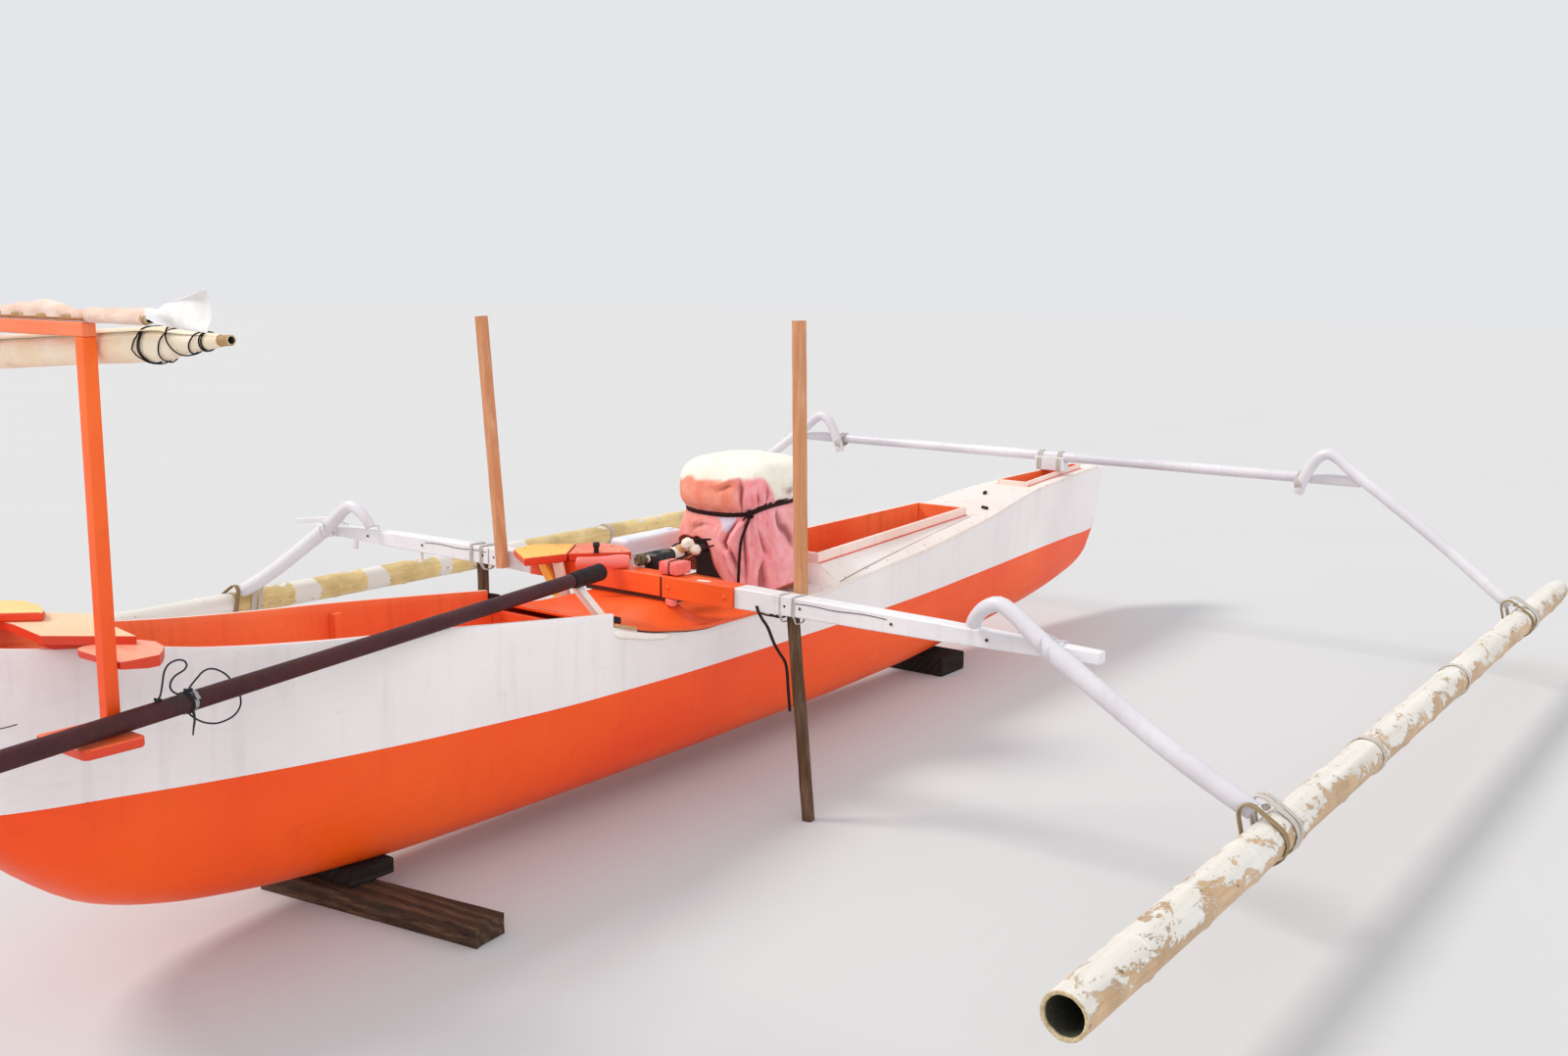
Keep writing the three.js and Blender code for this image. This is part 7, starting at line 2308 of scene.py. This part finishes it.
def build_trim():
    for side, s in (("starboard", -1), ("port", 1)):
        # batten under the edge of the engine deck
        sh = Shape()
        xs = stations(3.161, 3.408, 0.016)
        n = len(xs)
        verts, faces = [], []
        for i, x in enumerate(xs):
            e = min(1.0, min(i, (n - 1 - i) * 0.6) / 2.0 + 0.45)
            k = (x - 3.161) / 0.247
            h = (0.0150 - 0.0045 * k) * e
            zc = sheer_at(x + 1e-4) - 0.0035 - (0.0150 - 0.0045 * k)
            for z, o in ((zc - h, -0.001), (zc - h * 0.7, 0.0105 * e), (zc + h * 0.7, 0.0115 * e), (zc + h, -0.001)):
                verts.append(side_point(x, z, s, o))
        for i in range(n - 1):
            for k in range(4):
                faces.append((4 * i + k, 4 * i + (k + 1) % 4, 4 * i + 4 + (k + 1) % 4, 4 * i + 4 + k))
        faces += [(3, 2, 1, 0), (4 * n - 4, 4 * n - 3, 4 * n - 2, 4 * n - 1)]
        sh.add(verts, faces, 0)
        sh.done(f"deck_batten_{side}", [M["batten"]], 30, bev=0.004, seg=3)
        # bare wedge at the corner of the engine deck, and a black block in the gap behind the plank's end: painted
        # shade there
        sh = Shape()
        tops = []
        for x, o in ((3.1665, -0.0005), (3.185, 0.0035), (3.215, 0.0065), (3.252, 0.0075)):
            tops.append((x, o))
        verts, faces = [], []
        for x, o in tops:
            z = sheer_at(x)
            y = half_beam(x, z)
            for yy, zz in ((y - 0.014, z + 0.0128), (y + o, z + 0.0100), (y + o, z + 0.0004), (y - 0.014, z + 0.0010)):
                verts.append(P(x, s * yy, zz))
        m = len(tops)
        for i in range(m - 1):
            for k in range(4):
                faces.append((4 * i + k, 4 * i + (k + 1) % 4, 4 * i + 4 + (k + 1) % 4, 4 * i + 4 + k))
        faces += [(3, 2, 1, 0), (4 * m - 4, 4 * m - 3, 4 * m - 2, 4 * m - 1)]
        sh.add(verts, faces, 0)
        sh.done(f"deck_corner_{side}", [M["cream_wood"]], 30, bev=0.0015)
        # black block: painted shade in the gap behind the plank's end
        sh = Shape()
        y0, y1 = sorted((s * 0.240, s * 0.2690))
        sh.prism([P(3.1605, y0, 0.6190), P(3.198, y0, 0.6095), P(3.198, y1, 0.6095), P(3.1605, y1, 0.6190)], (0, 0, 0.0195), 0)
        sh.done(f"deck_corner_pad_{side}", [M["rubber"]], 30, bev=0.003)
        # painted-over nail heads in two rows
        sh = Shape()
        r2 = random.Random(5 + s)
        x = 1.35
        while x < 6.85:
            for z, jz in ((paint_at(x) + 0.022, 0.004), (sheer_at(x) - 0.020 if not 3.12 < x < 3.45 else paint_at(x) + 0.07, 0.005)):
                xx = x + r2.uniform(-0.02, 0.02)
                zz = z + r2.uniform(-jz, jz)
                p = side_point(xx, zz, s, -0.0004)
                nrm = (side_point(xx + 0.004, zz, s) - side_point(xx - 0.004, zz, s)).cross(side_point(xx, zz + 0.004, s) - side_point(xx, zz - 0.004, s)).normalized()
                if nrm.y * s < 0:
                    nrm = -nrm
                sh.lathe(p, nrm, [(0, -0.001), (0.0036, -0.001), (0.0034, 0.0007), (0.0018, 0.0013), (0, 0.0014)], 10, 0)
            x += 0.165 + r2.uniform(-0.02, 0.02)
        sh.done(f"plank_nails_{side}", [M["white"]], 40)
        # an open seam abaft the shaft's rest
        sh = Shape()
        pts = [side_point(x, z, s, 0.0004) for x, z in ((1.360, 0.6935), (1.390, 0.6905), (1.415, 0.6880), (1.445, 0.6842), (1.466, 0.6850), (1.487, 0.6880))]
        sh.tube(smooth_path(pts, 0.008), 0.0012, 6, 0)
        sh.done(f"after_seam_{side}", [M["tar_soft"]], 60)
        # black tube under the lip of the engine deck: painted shadow of the overhang
        sh = Shape()
        pts = [side_point(x, sheer_at(x) - 0.0012, s, 0.0012) for x in stations(3.262, 3.700, 0.02)]
        sh.tube(pts, 0.0030, 8, 0, rfun=lambda t: 1.0 if t < 0.7 else 1.0 - (t - 0.7) * 2.6)
        sh.done(f"deck_lip_seam_{side}", [M["tar"]], 60)
        # seam of the foredeck and the bead along the coaming
        sh = Shape()
        pts = []
        for i in range(40):
            t = i / 39
            x = 4.345 + (5.478 - 4.345) * t
            y = 0.2665 - 0.1165 * t
            pts.append(P(x, s * y, margin_z(x, y) + 0.0030))
        sh.tube(pts, 0.0011, 6, 0)
        sh.done(f"foredeck_seam_{side}", [M["tar_soft"]], 60)
        sh = Shape()
        pts = []
        half = between(4.330, 0.182, 5.500, 0.122)
        for i in range(40):
            x = 4.331 + 1.168 * i / 39
            pts.append(P(x, s * (half(x) + 0.0014), hatch_foot(x) + 0.0016))
        sh.tube(pts, 0.0022, 8, 0)
        half2 = between(6.130, 0.078, 6.800, 0.026)
        pts = []
        for i in range(20):
            x = 6.131 + 0.668 * i / 19
            pts.append(P(x, s * (half2(x) + 0.0010), sheer_at(x) + 0.0133))
        sh.tube(pts, 0.0019, 8, 0)
        sh.done(f"coaming_bead_{side}", [M["red_edge"]], 60)
    # nails on the decks and coamings
    sh = Shape()
    r2 = random.Random(3)
    for s in (-1, 1):
        x = 4.10
        while x < 6.95:
            y = bsheer_at(x) - 0.016
            zz = margin_z(x, y) + 0.0012 if 4.33 < x < 5.5 else sheer_at(x) + 0.0122
            sh.lathe(P(x, s * y, zz), (0, 0, 1), [(0, -0.001), (0.0032, -0.001), (0.0030, 0.0004), (0.0014, 0.0008), (0, 0.0009)], 8, 0)
            x += 0.15 + r2.uniform(-0.015, 0.015)
        for x in (4.42, 4.66, 4.90, 5.14, 5.40):
            y = between(4.330, 0.182, 5.500, 0.122)(x) - 0.009
            sh.lathe(P(x, s * y, 0.6479 + (x - 4.330) * 0.0222), (0, 0, 1), [(0, -0.001), (0.0028, -0.001), (0.0028, 0.0004), (0, 0.0008)], 8, 0)
    sh.done("deck_nails", [M["rusty"]], 40)
    # odds and ends that lie on the foredeck
    sh = Shape()
    for x, y, a in ((5.915, 0.020, 0.3), (5.675, -0.112, 1.1)):
        c = P(x, y, sheer_at(x) + 0.0185)
        d = Vector((math.cos(a), math.sin(a), 0))
        sh.stick(c - d * 0.020, c + d * 0.020, 0.013, 0.011, 0, n=2)
    sh.done("deck_cleats", [M["rubber"]], 30, bev=0.003, seg=3)


def build_bearings():
    """Weathered props: hewn faces and splits."""
    sh = Shape()
    plank = [(2.444, -0.560), (2.335, -0.580), (2.235, 0.150), (2.344, 0.165)]
    a0, a1 = Vector((2.3895, -0.570)), Vector((2.2895, 0.1575))
    n, m = 26, 5
    verts, faces = [], []
    d = (a1 - a0)
    L = d.length
    d = d / L
    w = Vector((-d.y, d.x))
    for i in range(n + 1):
        t = i / n
        c = a0 + d * (L * t)
        for ring_i, (k, z) in enumerate([(-1, 0.0), (-0.5, 0.0), (0.5, 0.0), (1, 0.0), (1, 0.028), (1, 0.0545), (0.5, 0.0555), (0, 0.0557), (-0.5, 0.0555), (-1, 0.0540), (-1, 0.028)]):
            edge = 0.0535 + 0.0010 * noise.noise(Vector((t * 7, k * 2, 3.0)))
            q = c + w * (-k * edge)
            zz = z
            if z > 0.05:
                zz = min(0.0558, z - 0.0022 * abs(noise.noise(Vector((t * 6, k * 3, 1.0)))) - (0.006 * max(0, 1 - t * 9) * abs(noise.noise(Vector((k * 4, 2.0, 0.0))))))
            end = 0.006 * noise.noise(Vector((k * 3, z * 60, 5.0 if i == 0 else 9.0))) if i in (0, n) else 0.0
            q = q + d * (abs(end) if i == 0 else -abs(end))
            verts.append(P(q.x, q.y, zz))
    r = 11
    for i in range(n):
        for k in range(r):
            faces.append((i * r + k, i * r + (k + 1) % r, (i + 1) * r + (k + 1) % r, (i + 1) * r + k))
    faces += [tuple(range(r))[::-1], tuple(n * r + k for k in range(r))]
    sh.add(verts, faces, 0)
    ob = sh.done("bearer_plank_hewn", [M["old"]], 30, bev=0.0018)
    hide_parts("bearer_plank")


def build_legs():
    """Round-cornered poles with a little bend, within their CAD sections."""
    for side, s, top in (("starboard", -1, 0.632), ("port", 1, 0.716)):
        a, b = Vector((ARM_X, s * 0.700, 0.0)), Vector((ARM_X, s * top, 0.6210))
        rows = []
        n = 26
        for i in range(n + 1):
            t = i / n
            c = a.lerp(b, t)
            c.x += 0.0022 * math.sin(t * 7 + s)
            c.y += 0.0018 * math.sin(t * 5.3)
            ring = []
            for k in range(16):
                q = 2 * math.pi * k / 16
                r = 0.0166 * (1 + 0.05 * noise.noise(Vector((math.cos(q) * 1.5, math.sin(q) * 1.5, t * 9 + s))))
                r *= 1 - 0.03 * math.cos(4 * q)
                x = math.copysign(abs(math.cos(q)) ** 0.62, math.cos(q)) * r
                y = math.copysign(abs(math.sin(q)) ** 0.62, math.sin(q)) * r
                z = c.z if i not in (0, n) else c.z
                ring.append(P(c.x + x, c.y + y, z))
            rows.append(ring)
        verts = [v for r in rows for v in r]
        faces = []
        for i in range(n):
            for k in range(16):
                faces.append((i * 16 + k, i * 16 + (k + 1) % 16, (i + 1) * 16 + (k + 1) % 16, (i + 1) * 16 + k))
        faces += [tuple(range(16))[::-1], tuple(n * 16 + k for k in range(16))]
        sh = Shape()
        sh.add(verts, faces, 0)
        ob = sh.done(f"prop_leg_{side}_pole", [M["leg"]], 50)
        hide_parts(f"prop_leg_{side}")
    for side, a, b in (("starboard", (3.6117, -0.6209, 0.618), (3.607, -0.604, 1.495)), ("port", (3.497, 0.5489, 0.632), (3.497, 0.628, 1.480))):
        a, b = Vector(a), Vector(b)
        ax = (b - a).normalized()
        u = Vector((1, 0, 0))
        u = (u - ax * u.dot(ax)).normalized()
        w = ax.cross(u)
        n = 40
        rows = []
        for i in range(n + 1):
            t = i / n
            c = a.lerp(b, t)
            ring = []
            for k in range(20):
                q = 2 * math.pi * k / 20
                r = 0.0176 * (1 + 0.016 * noise.noise(Vector((math.cos(q) * 1.5, math.sin(q) * 1.5, t * 14))))
                x = math.copysign(abs(math.cos(q)) ** 0.40, math.cos(q)) * r
                y = math.copysign(abs(math.sin(q)) ** 0.40, math.sin(q)) * r
                if i == n and side == "starboard":
                    z = -0.004 * abs(noise.noise(Vector((x * 90, y * 90, 1.0))))
                else:
                    z = 0.0
                p = c + u * x + w * y + ax * z
                ring.append(P(*p))
            rows.append(ring)
        verts = [v for r in rows for v in r]
        faces = []
        for i in range(n):
            for k in range(20):
                faces.append((i * 20 + k, i * 20 + (k + 1) % 20, (i + 1) * 20 + (k + 1) % 20, (i + 1) * 20 + k))
        faces += [tuple(range(20))[::-1], tuple(n * 20 + k for k in range(20))]
        sh = Shape()
        sh.add(verts, faces, 0)
        ob = sh.done(f"midship_post_{side}_timber", [M["post"]], 50)
        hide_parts(f"midship_post_{side}")


build_struts()
build_floats()
build_front_arm()
build_beam()
build_arms()
build_helm()
build_drive()
build_pad()
build_can()
build_shaft()
build_propeller()
build_cover()
build_sail()
build_spar()
build_trim()
build_bearings()
build_legs()

# ------------------------------------------------------------------ floor and light
def build_stage():
    me = bpy.data.meshes.new("floor")
    s = 60
    me.from_pydata([(-s, -s, 0), (s, -s, 0), (s, s, 0), (-s, s, 0)], [], [(0, 1, 2, 3)])
    m = Mat("floor_pale")
    n = m.noise(0.8, 3, 0.5)
    m.set(Base_Color=m.mix(n, (0.605, 0.605, 0.61), (0.63, 0.63, 0.635)), Roughness=0.9)
    me.materials.append(m.m)
    floor = bpy.data.objects.new("floor", me)
    floor.location = (0, 0, -0.0005)
    SCENE.collection.objects.link(floor)
    w = bpy.data.worlds.new("world")
    w.use_nodes = True
    w.node_tree.nodes["Background"].inputs[0].default_value = (0.955, 0.965, 1.0, 1)
    w.node_tree.nodes["Background"].inputs[1].default_value = 0.82
    SCENE.world = w
    # a broad soft key from port and astern, and a weak one low from starboard
    for name, loc, power, angle, colour in (("key", (-2.6, 4.6, 5.6), 1.75, 16, (1.0, 0.965, 0.90)), ("fill", (-4.0, -7.0, 2.2), 0.85, 70, (1.0, 0.975, 0.96))):
        d = bpy.data.lights.new(name, "SUN")
        d.energy = power
        d.angle = math.radians(angle)
        d.color = colour
        o = bpy.data.objects.new(name, d)
        o.location = loc
        o.rotation_mode = "QUATERNION"
        o.rotation_quaternion = (-Vector(loc)).to_track_quat("-Z", "Y")
        SCENE.collection.objects.link(o)
    SCENE.view_settings.view_transform = "Standard"
    SCENE.view_settings.look = "None"
    SCENE.view_settings.exposure = 0.0


build_stage()
